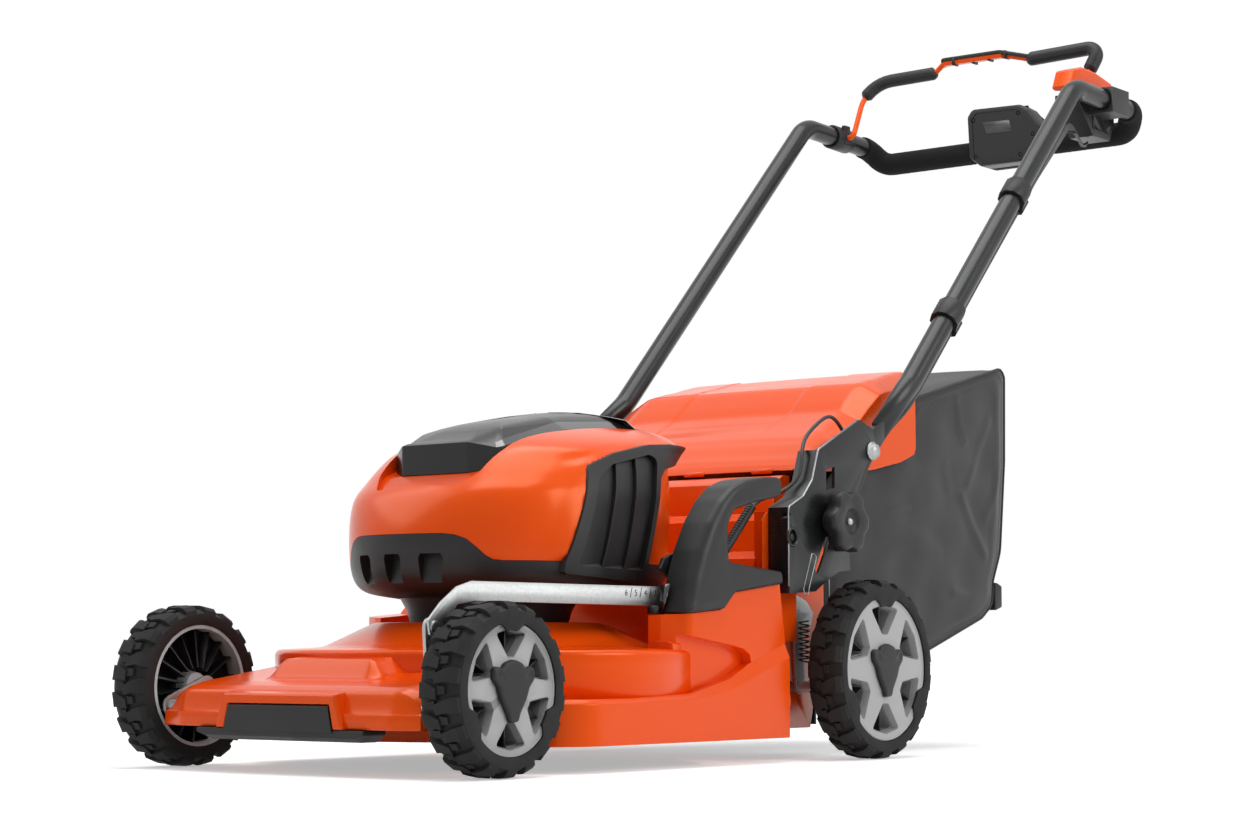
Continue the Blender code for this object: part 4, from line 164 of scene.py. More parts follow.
# Pressed steel, primed and baked enamel: a deep gloss with a faint orange peel 2 mm across
ENAMEL = finish("baked_enamel_orange", "EC4A04", 0.20, 90, "F05208", 0.04, 2.0, 22, IOR=1.5,
                Specular_Tint=linear("FFAE78"))
# Injection-moulded ABS, polished mould: smooth gloss, flow patches hardly seen
ABS_ORANGE = finish("moulded_abs_orange", "EE4C05", 0.22, 70, "F2540A", 0.03, 1.2, 8, IOR=1.53,
                    Specular_Tint=linear("FFB684"))
# Glass-filled nylon from a spark-eroded mould: dull black with a grain of 0.9 mm
NYLON = finish("moulded_nylon_black", "1B1B1C", 0.44, 40, "202021", 0.06, 0.9, 45, IOR=1.37)
# Polypropylene covers, finer grain and a little lighter
POLYPROPYLENE = finish("moulded_polypropylene_black", "1F1F20", 0.40, 50, "242425", 0.05, 0.7, 28, IOR=1.37)
# Polished black ABS, as on the lid's edge
ABS_BLACK = finish("polished_abs_black", "161617", 0.14, 80, "19191A", 0.03, 1.5, 4, IOR=1.53,
                   Coat_Weight=0.5, Coat_Roughness=0.05)
# Satin black ABS, as on the lid's top
ABS_SATIN = finish("satin_abs_black", "0F0F10", 0.26, 70, "131314", 0.04, 0.9, 12, IOR=1.40)
# Powder coat on steel tube and plate: satin, with a slight peel 1.6 mm across
POWDER = finish("powder_coat_black", "161718", 0.30, 60, "1A1B1C", 0.05, 1.6, 26, IOR=1.42)
# Tread rubber: matt, with scuffed patches and a coarse skin
RUBBER = finish("tread_rubber", "1A1A1A", 0.74, 22, "232323", 0.08, 1.4, 90, IOR=1.35)
# Talc-filled polypropylene for the wheels: light grey, dull
WHEEL_GREY = finish("moulded_wheel_grey", "A6A6A6", 0.42, 35, "B0B0B0", 0.05, 0.8, 20, IOR=1.49)
# The wheel grey made darker and less glossy: painted shade in the recesses behind the wheel windows; the
# button caps use it too
WHEEL_SHADE = finish("moulded_wheel_grey_recess", "8B8B8C", 0.55, 30, "959596", 0.05, 0.8, 30, IOR=1.49)
# Closed-cell foam: no gloss, cells of 1 mm
FOAM = finish("closed_cell_foam", "191919", 0.90, 30, "1F1F1F", 0.04, 1.0, 160, IOR=1.3)
# Cable sheath: smooth soft PVC
SHEATH = finish("pvc_sheath", "191919", 0.48, 30, "1E1E1E", 0.05, 0.6, 8, IOR=1.5)
# Printed label film: an even mid grey, bare
LABEL = finish("label_film", "4B4C4D", 0.35, 40, "505152", 0.03, 0.5, 4, IOR=1.5)
# Screen ink on the height bar
INK = finish("screen_ink", "1B1B1B", 0.55, 20, "222222", 0.03, 0.4, 4)


def plated(name, colour, roughness, spangle_mm, spread):
    """A metal surface: flakes of tone a few millimetres across, and fine rolling lines along Y."""
    made, tree, shader, place = blank(name, Metallic=1.0)
    flakes = add(tree, "ShaderNodeTexVoronoi", {"Vector": place, "Scale": 1000 / spangle_mm})
    tint(tree, shader, flakes.outputs["Distance"], colour[0], colour[1])
    lines = add(tree, "ShaderNodeMapping", {"Vector": place, "Scale": (1.0, 0.03, 1.0)})
    scratch = add(tree, "ShaderNodeTexNoise", {"Vector": lines.outputs["Vector"], "Scale": 900.0,
                                               "Detail": 2.0})
    gloss = add(tree, "ShaderNodeMapRange", {"Value": scratch.outputs["Fac"], "To Min": roughness - spread,
                                             "To Max": roughness + spread})
    tree.links.new(gloss.outputs["Result"], shader.inputs["Roughness"])
    bump = add(tree, "ShaderNodeBump", {"Height": scratch.outputs["Fac"], "Strength": 1.0, "Distance": 8e-6})
    tree.links.new(bump.outputs["Normal"], shader.inputs["Normal"])
    return made


# Bright zinc plate over rolled steel: pale, with a spangle of 3 mm
ZINC = plated("bright_zinc_plate", ("ABADAC", "9D9F9F"), 0.48, 3.0, 0.05)
# Ground and oiled steel for the shaft, the motor can and the bolts' ends
STEEL = plated("ground_steel", ("9A9C9E", "85878A"), 0.34, 1.5, 0.08)
# Spring wire, drawn and oiled
SPRING_STEEL = plated("drawn_spring_steel", ("3C3D3E", "303132"), 0.30, 0.8, 0.06)


WAVES_PER_UNIT = 1000 / 6.2832


def woven(name, dark, light, thread_mm):
    """Coated polyester cloth: warp and weft threads over a soft variation of tone."""
    made, tree, shader, place = blank(name, IOR=1.45, Sheen_Weight=0.25, Sheen_Roughness=0.5)
    threads = {}
    for direction, swirl in (("X", 1.0), ("Y", 3.0), ("Z", 3.0)):
        wave = add(tree, "ShaderNodeTexWave", {"Vector": place, "Scale": WAVES_PER_UNIT / thread_mm,
                                               "Distortion": 0.6, "Detail": 1.0, "Detail Scale": swirl},
                   bands_direction=direction)
        threads[direction] = wave.outputs["Fac"]
    cross = add(tree, "ShaderNodeMath", {0: threads["Y"], 1: threads["Z"]}, operation="MAXIMUM")
    cloth = add(tree, "ShaderNodeMath", {0: cross.outputs[0], 1: threads["X"]}, operation="ADD")
    half = add(tree, "ShaderNodeMath", {0: cloth.outputs[0], 1: 0.5}, operation="MULTIPLY")
    patches = add(tree, "ShaderNodeTexNoise", {"Vector": place, "Scale": 9.0, "Detail": 5.0,
                                               "Roughness": 0.6})
    tone = add(tree, "ShaderNodeMath", {0: half.outputs[0], 1: patches.outputs["Fac"]}, operation="MULTIPLY")
    tint(tree, shader, tone.outputs[0], dark, light)
    shader.inputs["Roughness"].default_value = 0.85
    bump = add(tree, "ShaderNodeBump", {"Height": half.outputs[0], "Strength": 0.6, "Distance": 120e-6})
    tree.links.new(bump.outputs["Normal"], shader.inputs["Normal"])
    return made


# Bag cloth, threads drawn 1.6 mm apart, which is as fine as the picture can show
CLOTH = woven("woven_polyester", "232324", "3E3E3F", 1.6)
# The binding tape sewn over the bag's edges
BINDING = woven("binding_tape", "202021", "38383A", 1.2)


# Camera, lights and floor

FRAME_WIDTH_PX = 1245
FOCAL_PX = 2600.0
SENSOR_MM = 36.0
YAW = 0.66595
PITCH = 0.08955
CAMERA_AT = Vector((1.92017, -2.62112, 0.12770))
VIEW = Vector((-math.sin(YAW) * math.cos(PITCH), math.cos(YAW) * math.cos(PITCH), math.sin(PITCH)))

# Each lamp: its place, its width and depth, and its watts, all facing TARGET
TARGET = Vector((0.0, -0.25, 0.35))
LAMPS = {
    "key_softbox": ((-2.2, -1.6, 2.8), (2.4, 1.8), 22.0),
    "side_softbox": ((3.0, 0.6, 1.7), (1.6, 1.6), 40.0),
    "top_softbox": ((0.2, -0.2, 2.9), (2.2, 2.2), 56.0),
}
WORLD_LIGHT = 0.30

# The floor glows a little near the mower, and turns plain white between these distances from it
FLOOR_LIFT = 0.42
FADE_FROM, FADE_TO = 1.1, 2.6
FLOOR_REACH = 14.0
FLOOR_DROP = 0.0002


def look(obj, place, way):
    """Puts a camera or a light at a place, facing a way, with its top upwards."""
    right = way.cross(Z).normalized()
    up = right.cross(way).normalized()
    turn = Matrix((right, up, -way.normalized())).transposed()
    obj.matrix_world = Matrix.Translation(place) @ turn.to_4x4()
    bpy.context.scene.collection.objects.link(obj)
    return obj


def backdrop_rays(tree):
    """1 for the rays that see the backdrop as white: the camera's, and those in gloss and glass."""
    rays = add(tree, "ShaderNodeLightPath").outputs
    seen = add(tree, "ShaderNodeMath", {0: rays["Is Camera Ray"], 1: rays["Is Glossy Ray"]},
               operation="MAXIMUM")
    clear = add(tree, "ShaderNodeMath", {0: seen.outputs[0], 1: rays["Is Transmission Ray"]},
                operation="MAXIMUM")
    return clear.outputs[0]


def studio():
    """The camera at the photograph's place, soft lamps, a pale world and a white floor with the shadow."""
    lens = bpy.data.cameras.new("camera")
    lens.sensor_width = SENSOR_MM
    lens.sensor_fit = "HORIZONTAL"
    lens.lens = FOCAL_PX / FRAME_WIDTH_PX * SENSOR_MM
    lens.clip_end = 60
    bpy.context.scene.camera = look(bpy.data.objects.new("camera", lens), CAMERA_AT, VIEW)
    for name, (place, size, power) in LAMPS.items():
        light = bpy.data.lights.new(name, "AREA")
        light.shape = "RECTANGLE"
        light.size, light.size_y = size
        light.energy = power
        place = Vector(place)
        look(bpy.data.objects.new(name, light), place, TARGET - place)
    world = bpy.data.worlds.new("studio")
    bpy.context.scene.world = world
    world.use_nodes = True
    tree = world.node_tree
    strength = add(tree, "ShaderNodeMapRange", {"Value": backdrop_rays(tree), "To Min": WORLD_LIGHT,
                                                "To Max": 1.0})
    ground = tree.nodes["Background"]
    ground.inputs["Color"].default_value = (1, 1, 1, 1)
    tree.links.new(strength.outputs["Result"], ground.inputs["Strength"])
    bpy.context.scene.view_settings.view_transform = "Standard"
    paper, tree, shader, _ = blank("paper_floor", Roughness=0.9)
    shader.inputs["Base Color"].default_value = linear("F4F4F4")
    shader.inputs["Emission Color"].default_value = (1, 1, 1, 1)
    place = add(tree, "ShaderNodeNewGeometry")
    away = add(tree, "ShaderNodeVectorMath", {0: place.outputs["Position"]}, operation="LENGTH")
    far = add(tree, "ShaderNodeMapRange", {"Value": away.outputs["Value"], "From Min": FADE_FROM,
                                           "From Max": FADE_TO, "To Min": FLOOR_LIFT, "To Max": 1.0})
    lift = add(tree, "ShaderNodeMath", {0: backdrop_rays(tree), 1: far.outputs["Result"]},
               operation="MULTIPLY")
    tree.links.new(lift.outputs[0], shader.inputs["Emission Strength"])
    plane = bmesh.new()
    bmesh.ops.create_grid(plane, x_segments=1, y_segments=1, size=FLOOR_REACH)
    mesh = bpy.data.meshes.new("floor")
    plane.to_mesh(mesh)
    mesh.materials.append(paper)
    floor = bpy.data.objects.new("floor", mesh)
    floor.location.z = -FLOOR_DROP
    bpy.context.scene.collection.objects.link(floor)


studio()


# Shapes

def unit(value):
    """A value held between 0 and 1."""
    return max(0.0, min(1.0, value))


def ease(share):
    """A share between 0 and 1 with a soft start and end."""
    return share * share * (3 - 2 * share)


def polar(reach, i, sides):
    """A point of a ring, as y and z."""
    t = 2 * math.pi * i / sides
    return reach * math.cos(t), reach * math.sin(t)


def scaled(outline, centre, share, to=None):
    """An outline scaled about its centre, which may also move to another place."""
    return [tuple(t + (c - m) * share for c, m, t in zip(p, centre, to or centre)) for p in outline]


def run_length(line):
    """The length of a line of points."""
    return sum((b - a).length for a, b in zip(line, line[1:]))


def at_stations(line, stations):
    """The points of a line at given distances from its start."""
    route = []
    for station in stations:
        run = 0.0
        for a, b in zip(line, line[1:]):
            step = (b - a).length
            if station <= run + step + 1e-9:
                route.append(a.lerp(b, min(1.0, (station - run) / step)))
                break
            run += step
    return route


def rounded(points, radius, steps=5, closed=True):
    """A polygon or path with its corners turned into arcs, in two or three dimensions."""
    size = len(points[0])
    corners = [Vector(p).to_3d() for p in points]
    radii = radius if isinstance(radius, (list, tuple)) else [radius] * len(corners)
    out = []
    for i, corner in enumerate(corners):
        ends = not closed and i in (0, len(corners) - 1)
        before = (corners[i - 1] - corner).normalized()
        after = (corners[(i + 1) % len(corners)] - corner).normalized()
        half = before.angle(after) / 2 if not ends else 0
        if ends or radii[i] <= 0 or abs(half - math.pi / 2) < 1e-3:
            out.append(corner)
            continue
        reach = radii[i] / math.tan(half)
        centre = corner + (before + after).normalized() * radii[i] / math.sin(half)
        first = corner + before * reach - centre
        last = corner + after * reach - centre
        sweep = first.angle(last)
        for k in range(steps + 1):
            t = k / steps
            point = (first * math.sin((1 - t) * sweep) + last * math.sin(t * sweep)) / math.sin(sweep)
            out.append(centre + point)
    return [tuple(p[:size]) for p in out]


def loft(rings, closed=False, caps=True):
    """A surface through rings of equal length, capped unless the rings close on themselves."""
    bm = bmesh.new()
    rows = [[bm.verts.new(p) for p in ring] for ring in rings]
    count = len(rows[0])
    pairs = list(zip(rows, rows[1:] + rows[:1])) if closed else list(zip(rows, rows[1:]))
    for low, high in pairs:
        for i in range(count):
            j = (i + 1) % count
            bm.faces.new((low[i], low[j], high[j], high[i]))
    if caps and not closed:
        bm.faces.new(rows[0][::-1])
        bm.faces.new(rows[-1])
    bmesh.ops.recalc_face_normals(bm, faces=bm.faces)
    return bm


def prism(outline, axis, low, high):
    """An outline in the other two axes, run from low to high along this one."""
    def at(point, height):
        return {"x": (height, *point), "y": (point[0], height, point[1]), "z": (*point, height)}[axis]
    return loft([[at(p, low) for p in outline], [at(p, high) for p in outline]])


def block(low, high):
    """A box between two corners."""
    return prism([(low[0], low[1]), (high[0], low[1]), (high[0], high[1]), (low[0], high[1])], "z", low[2],
                 high[2])


def frame_of(axis):
    """Two directions square to an axis."""
    across = Z if abs(axis.dot(Z)) < 0.9 else X
    u = axis.cross(across).normalized()
    return u, axis.cross(u).normalized()


def turned(profile, centre, axis, sides=48, closed=False):
    """A turned shape: (radius, distance) points about an axis through a centre."""
    axis = Vector(axis).normalized()
    u, v = frame_of(axis)
    bm = bmesh.new()
    rows = []
    for radius, along in profile:
        base = Vector(centre) + axis * along
        if radius == 0:
            rows.append([bm.verts.new(base)])
            continue
        spin = [2 * math.pi * (i + 0.5) / sides for i in range(sides)]
        rows.append([bm.verts.new(base + (u * math.cos(t) + v * math.sin(t)) * radius) for t in spin])
    if closed:
        rows.append(rows[0])
    for low, high in zip(rows, rows[1:]):
        for i in range(sides):
            j = (i + 1) % sides
            corners = [low[i % len(low)], low[j % len(low)], high[j % len(high)], high[i % len(high)]]
            corners = [c for k, c in enumerate(corners) if c not in corners[:k]]
            if len(corners) > 2:
                bm.faces.new(corners)
    if not closed:
        for row in (rows[0], rows[-1]):
            if len(row) > 1:
                bm.faces.new(row)
    bmesh.ops.recalc_face_normals(bm, faces=bm.faces)
    return bm


def disc(centre, axis, radius, length, sides=32):
    """A round bar that starts at a centre."""
    return turned([(radius, 0), (radius, length)], centre, axis, sides)


def rod(start, end, radius, sides=24):
    """A plain round bar between two points."""
    start = Vector(start)
    span = Vector(end) - start
    return turned([(radius, 0), (radius, span.length)], start, span, sides)


def sweep_rings(path, radius, sides, flat=1.0):
    """Rings of a round or flattened section carried along a path without twist."""
    points = [Vector(p) for p in path]
    count = len(points)
    tangents = [(points[min(i + 1, count - 1)] - points[max(i - 1, 0)]).normalized() for i in range(count)]
    u, _ = frame_of(tangents[0])
    radii = radius if isinstance(radius, list) else [radius] * count
    rings = []
    for point, tangent, r in zip(points, tangents, radii):
        u = (u - tangent * u.dot(tangent)).normalized()
        v = tangent.cross(u)
        spin = [2 * math.pi * (i + 0.5) / sides for i in range(sides)]
        rings.append([point + (u * math.cos(t) + v * math.sin(t) * flat) * r for t in spin])
    return rings


def pipe(path, radius, sides=24, bore=0.0):
    """A round bar or, with a bore, a tube along a path."""
    outer = sweep_rings(path, radius, sides)
    if not bore:
        return loft(outer)
    return loft(outer + sweep_rings(path, bore, sides)[::-1], closed=True)


def mirrored(bm):
    """The same shape on the other side of the machine."""
    for vert in bm.verts:
        vert.co.x = -vert.co.x
    bmesh.ops.reverse_faces(bm, faces=bm.faces)
    return bm


def on_side(bm, side):
    """A shape drawn on the left, or its mirror image for the right."""
    return bm if side > 0 else mirrored(bm)


def merged(*shapes):
    """Several shapes in one mesh."""
    whole = bmesh.new()
    for shape in shapes:
        mesh = bpy.data.meshes.new("merged")
        shape.to_mesh(mesh)
        shape.free()
        whole.from_mesh(mesh)
        bpy.data.meshes.remove(mesh)
    return whole


def solid(name, bm, *finishes):
    """An object from a shape, still where the drawing has it."""
    mesh = bpy.data.meshes.new(name)
    bm.to_mesh(mesh)
    bm.free()
    for made in finishes:
        mesh.materials.append(made)
    mesh.shade_smooth()
    obj = bpy.data.objects.new(name, mesh)
    bpy.context.scene.collection.objects.link(obj)
    return obj


def settled(obj):
    """Replaces an object's mesh by what its modifiers make of it, and drops them."""
    bpy.context.view_layer.update()
    old = obj.data
    obj.data = bpy.data.meshes.new_from_object(obj.evaluated_get(bpy.context.evaluated_depsgraph_get()))
    obj.modifiers.clear()
    bpy.data.meshes.remove(old)
    return obj


def reshape(obj, operation, *shapes):
    """Cuts shapes from an object, joins them to it or keeps what they share."""
    tools = []
    for shape in shapes:
        tool = shape if isinstance(shape, bpy.types.Object) else solid("tool", shape)
        step = obj.modifiers.new("step", "BOOLEAN")
        step.operation = operation
        step.solver = "EXACT"
        step.object = tool
        tools.append(tool)
    settled(obj)
    for tool in tools:
        bpy.data.objects.remove(tool, do_unlink=True)
    return obj


def cut(obj, *shapes):
    """Takes shapes away from an object."""
    return reshape(obj, "DIFFERENCE", *shapes)


def join(obj, *shapes):
    """Adds overlapping shapes to an object."""
    return reshape(obj, "UNION", *shapes)


def keep(obj, *shapes):
    """Keeps only what an object shares with each shape."""
    return reshape(obj, "INTERSECT", *shapes)


def round_edges(obj, width, segments=3, angle=32):
    """Gives every edge sharper than an angle the small radius that moulds and dies leave."""
    step = obj.modifiers.new("edge_radius", "BEVEL")
    step.width = width
    step.segments = segments
    step.limit_method = "ANGLE"
    step.angle_limit = math.radians(angle)
    step.harden_normals = True
    step.use_clamp_overlap = True
    return obj


def copied(node, name, *finishes):
    """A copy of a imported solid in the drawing's place, its loose triangles merged into faces."""
    bm = bmesh.new()
    bm.from_mesh(NODES[node].data)
    bmesh.ops.remove_doubles(bm, verts=bm.verts, dist=1e-6)
    bmesh.ops.dissolve_limit(bm, angle_limit=math.radians(1.0), verts=bm.verts, edges=bm.edges)
    bmesh.ops.translate(bm, verts=bm.verts, vec=(0, MID_Y, 0))
    return solid(name, bm, *finishes)


def smoothed(obj):
    """Rounds a coarse shape off by one level of subdivision."""
    step = obj.modifiers.new("smooth", "SUBSURF")
    step.levels = step.render_levels = 1
    return settled(obj)


def place(obj, body, slot, *nodes):
    """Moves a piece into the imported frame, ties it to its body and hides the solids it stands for."""
    obj.data.transform(Matrix.Translation((0, -MID_Y, 0)))
    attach(obj, body)
    if nodes:
        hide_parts(*nodes)
    return obj


def finished(node, name, made, edge, body, slot):
    """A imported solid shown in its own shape, with its finish and its edges rounded."""
    place(round_edges(copied(node, name, made), *edge), body, slot, node)


# What repeats round an axle or along a line

def repeater():
    """A node tree that sets out copies of a shape, each moved by a step and turned by a step about X."""
    tree = bpy.data.node_groups.new("repeat_round_or_along", "GeometryNodeTree")
    tree.interface.new_socket("Shape", in_out="INPUT", socket_type="NodeSocketGeometry")
    sockets = {}
    for name, kind in (("Count", "NodeSocketInt"), ("Step", "NodeSocketVector"), ("Turn", "NodeSocketVector"),
                       ("Start", "NodeSocketVector"), ("Finish", "NodeSocketMaterial")):
        sockets[name] = tree.interface.new_socket(name, in_out="INPUT", socket_type=kind).identifier
    tree.interface.new_socket("Shape", in_out="OUTPUT", socket_type="NodeSocketGeometry")
    given = tree.nodes.new("NodeGroupInput").outputs
    index = add(tree, "GeometryNodeInputIndex").outputs[0]
    spot = add(tree, "ShaderNodeVectorMath", {0: given["Step"]}, operation="SCALE")
    tree.links.new(index, spot.inputs["Scale"])
    turn = add(tree, "ShaderNodeVectorMath", {0: given["Turn"]}, operation="SCALE")
    tree.links.new(index, turn.inputs["Scale"])
    angle = add(tree, "ShaderNodeVectorMath", {0: turn.outputs[0], 1: given["Start"]}, operation="ADD")
    points = add(tree, "GeometryNodePoints", {"Count": given["Count"], "Position": spot.outputs[0]})
    copies = add(tree, "GeometryNodeInstanceOnPoints",
                 {"Points": points.outputs[0], "Instance": given["Shape"], "Rotation": angle.outputs[0]})
    real = add(tree, "GeometryNodeRealizeInstances", {"Geometry": copies.outputs[0]})
    dressed = add(tree, "GeometryNodeSetMaterial", {"Geometry": real.outputs[0], "Material": given["Finish"]})
    out = tree.nodes.new("NodeGroupOutput")
    tree.links.new(dressed.outputs[0], out.inputs[0])
    return tree, sockets


REPEAT, REPEAT_SOCKETS = repeater()


def repeated(bm, finish_used, count, step=(0, 0, 0), turn=0.0, start=0.0, name="repeated"):
    """Copies of a shape drawn at the origin, stepped along a vector and turned about X by degrees."""
    obj = solid(name, bm, finish_used)
    modifier = obj.modifiers.new("repeat", "NODES")
    modifier.node_group = REPEAT
    for key, value in (("Count", count), ("Step", step), ("Turn", (math.radians(turn), 0, 0)),
                       ("Start", (math.radians(start), 0, 0)), ("Finish", finish_used)):
        modifier[REPEAT_SOCKETS[key]] = value
    return settled(obj)


def gathered(name, *objects):
    """One object from several that share a body, with their modifiers applied and all their finishes."""
    whole = bmesh.new()
    finishes = []
    for obj in objects:
        if obj.modifiers:
            settled(obj)
        slots = []
        for made in obj.data.materials:
            if made not in finishes:
                finishes.append(made)
            slots.append(finishes.index(made))
        before = len(whole.faces)
        whole.from_mesh(obj.data)
        whole.faces.ensure_lookup_table()
        for face in whole.faces[before:]:
            face.material_index = slots[face.material_index] if slots else 0
        mesh = obj.data
        bpy.data.objects.remove(obj, do_unlink=True)
        bpy.data.meshes.remove(mesh)
    return solid(name, whole, *finishes)


def even_line(points, count):
    """A line resampled to a fixed number of even points."""
    line = [Vector(p) for p in points]
    lengths = [0.0]
    for a, b in zip(line, line[1:]):
        lengths.append(lengths[-1] + (b - a).length)
    out = []
    k = 0
    for i in range(count):
        target = lengths[-1] * i / (count - 1)
        while k < len(line) - 2 and lengths[k + 1] < target:
            k += 1
        share = (target - lengths[k]) / max(1e-9, lengths[k + 1] - lengths[k])
        out.append(line[k].lerp(line[k + 1], share))
    return out


# Wheels

LUGS = 18
LUG_DEPTH = 0.0050
NOTCHES = (90, 210, 330)


def wave(angle, centre, half):
    """A smooth bump from 0 to 1 about an angle, in degrees."""
    off = (angle - centre + 180) % 360 - 180
    return 0.0 if abs(off) >= half else 0.5 * (1 + math.cos(math.pi * off / half))


def bead_radius(angle, rim_r):
    """The tyre's inner edge on the outside: round, with three tongues that reach over the rim."""
    tongue = max(min(1.0, 2.2 * wave(angle, notch, 17)) for notch in NOTCHES)
    return rim_r * (1 - 0.135 * tongue)


def on_axle(obj, end, side_name, edge, slot, node):
    """Sets a wheel piece on its axle, rounds its edges and ties it to its wheel."""
    out = SIDES[side_name] * (HALF_TRACK[end] - WHEEL_WIDTH[end] / 2)
    obj.data.transform(Matrix.Translation((out, AXLE_Y[end], WHEEL_R[end])))
    place(round_edges(obj, *edge), f"wheel_{end}_{side_name}", slot, f"{node}_{end}_{side_name}")


def tyre(end, side_name):
    """A moulded tyre: a carcass with round shoulders, and blocks standing on the tread and the shoulders."""
    side = SIDES[side_name]
    radius, width, rim_r = WHEEL_R[end], WHEEL_WIDTH[end], RIM_R[end]
    half = width / 2
    low = radius - LUG_DEPTH
    wall = radius - rim_r
    sides = 144
    section = [(-half + 0.002, None), (-half, rim_r + wall * 0.25), (-half + 0.0008, rim_r + wall * 0.55),
               (-half + 0.004, low - 0.003), (-half + 0.010, low), (0, low), (half - 0.010, low),
               (half - 0.004, low - 0.003), (half - 0.0008, rim_r + wall * 0.55), (half, rim_r + wall * 0.25),
               (half - 0.0012, None), (half - 0.0045, None)]
    rings = []
    for x, reach in section:
        ring = []
        for i in range(sides):
            angle = 360 * i / sides
            share = reach or (bead_radius(angle, rim_r) if x > 0 else rim_r * 0.985)
            if reach and x > half - 0.0011 and reach < rim_r + wall * 0.3:
                share = bead_radius(angle, rim_r) + wall * 0.22
            t = math.radians(angle)
            ring.append((x * side, share * math.cos(t), share * math.sin(t)))
        rings.append(ring)
    rings.append([(side * (half - 0.0045), *polar(rim_r * 0.985, i, sides)) for i in range(sides)])
    carcass = solid("carcass", loft(rings, closed=True), RUBBER)
    step = 360 / LUGS

    def lug(stations):
        """One block from the tread to the wall: (x, inner radius, outer radius, turn back, turn forward)."""
        outline = []
        taper = 0.86
        for x, inner, outer, back, forward in stations:
            a, b = math.radians(back), math.radians(forward)
            mid, open_ = (a + b) / 2, (b - a) / 2 * taper
            corners = [(inner, a), (inner, b), (outer, mid + open_), (outer, mid - open_)]
            outline.append([(x * side, r * math.cos(t), r * math.sin(t)) for r, t in corners])
        return loft(outline)

    parts = [carcass]
    for sign, phase in ((1, 0.0), (-1, step / 2)):
        inside, outer_edge = -0.0015 * sign, (half - 0.0010) * sign
        block_up = [
            (inside, low - 0.002, radius, -1.5, 6.5),
            ((half - 0.014) * sign, low - 0.002, radius, -5.0, 5.0),
            ((half - 0.0065) * sign, low - 0.004, radius - 0.0012, -6.2, 6.2),
            ((half - 0.0020) * sign, low - 0.010, radius - 0.0052, -6.2, 6.2),
            (outer_edge + 0.0006 * sign, low - 0.0135, radius - 0.0125, -5.6, 5.6)
        ]
        small = [(0.0020 * sign, low - 0.002, radius - 0.0016, step / 2 - 3.6, step / 2 + 3.4),
                 ((half - 0.0150) * sign, low - 0.002, radius - 0.0016, step / 2 - 3.0, step / 2 + 2.6)]
        for form in (block_up, small):
            parts.append(repeated(lug(form), RUBBER, LUGS, turn=step, start=-90 + phase * side))
    on_axle(gathered(f"{end}_tyre_{side_name}", *parts), end, side_name, (0.0009, 2, 30), "tyre", "tyre")


def rim(end, side_name):
    """A moulded wheel: a barrel, six spokes with deep windows between them, and ribs behind the disc."""
    side = SIDES[side_name]
    radius, width = RIM_R[end], WHEEL_WIDTH[end]
    face = width / 2 - RIM_INSET
    sides = 144
    plate = 0.0070
    shelf = face - plate
    back_x, hub_x = -width / 2 + 0.002, -width / 2 + 0.008
    bore = AXLE_R + 0.0006

    def level(x, reach):
        """A round ring across the wheel."""
        return [(x * side, *polar(reach, i, sides)) for i in range(sides)]

    rings = [level(back_x, radius * 0.985), level(back_x, radius * 0.93), level(shelf - 0.003, radius * 0.93),
             level(shelf, radius * 0.30), level(hub_x, 0.0140), level(hub_x, bore), level(face, bore),
             level(face, radius * 0.50)]
    for share, lift in ((0.955, 0.0), (0.975, 0.0016), (0.990, 0.0010)):
        ring = []
        for i in range(sides):
            edge = bead_radius(360 * i / sides, radius)
            reach = min(radius * share, edge * 0.992 - (0.992 - share) * radius * 0.6)
            ring.append(((face + lift) * side, *polar(reach, i, sides)))
        rings.append(ring)
    rings.append(level(face - 0.006, radius * 0.985))
    body = solid("rim", loft(rings, closed=True), WHEEL_GREY)
    centre = math.pi / 6
    cutters = []
    shades = []
    for spoke in range(6):
        middle = centre + spoke * math.pi / 3
        corners = [(0.475, 0.155), (0.905, 0.405), (0.905, 0.0), (0.905, -0.405), (0.475, -0.155)]
        rim_side = [(share * radius * math.cos(middle + turn), share * radius * math.sin(middle + turn))
                    for share, turn in corners]
        outline = rounded(rim_side, [0.003, 0.003, 0, 0.003, 0.003], 3)
        middle_point = (0.70 * radius * math.cos(middle), 0.70 * radius * math.sin(middle))
        floor = scaled(outline, middle_point, 0.80)
        cutters.append(loft([[(side * (shelf - 0.012), *p) for p in floor],
                             [(side * (face + 0.003), *p) for p in outline]]))
        hole_at = (0.62 * radius * math.cos(middle - 0.10 * side),
                   0.62 * radius * math.sin(middle - 0.10 * side))
        hole = scaled(outline, middle_point, 0.36, hole_at)
        wide = scaled(floor, middle_point, 1.06)
        tray = loft([[(side * (shelf - depth), *p) for p in ring] for ring,
                     depth in ((floor, 0.0005), (floor, 0.0140), (hole, 0.0140), (hole, 0.0175),
                               (wide, 0.0175), (wide, 0.0005))], closed=True)
        # The trays take the darker grey as painted shade inside the windows
        shades.append(solid("window_tray", tray, WHEEL_SHADE))
    cut(body, merged(*cutters))
    # The ribs and the thin plate behind the window trays are black nylon: painted shade deep inside the grey
    # wheel
    top = shelf - 0.001
    rib = loft([[(side * x, reach, s * 0.0010) for x, s in ((foot, -1), (foot, 1), (top, 1), (top, -1))]
                for foot, reach in ((-width / 2 + 0.006, 0.020), (-width / 2 + 0.012, radius * 0.94))])
    ribs = repeated(rib, NYLON, 18, turn=20.0, start=10.0)
    back = turned([(radius * 0.94, shelf - 0.0182), (radius * 0.94, shelf - 0.0195), (0.015, shelf - 0.0195),
                   (0.015, shelf - 0.0182)], (0, 0, 0), X * side, 96, closed=True)
    whole = gathered(f"{end}_rim_{side_name}", body, ribs, solid("back", back, NYLON), *shades)
    on_axle(whole, end, side_name, (0.0006, 2, 35), "rim_plastic", "rim")


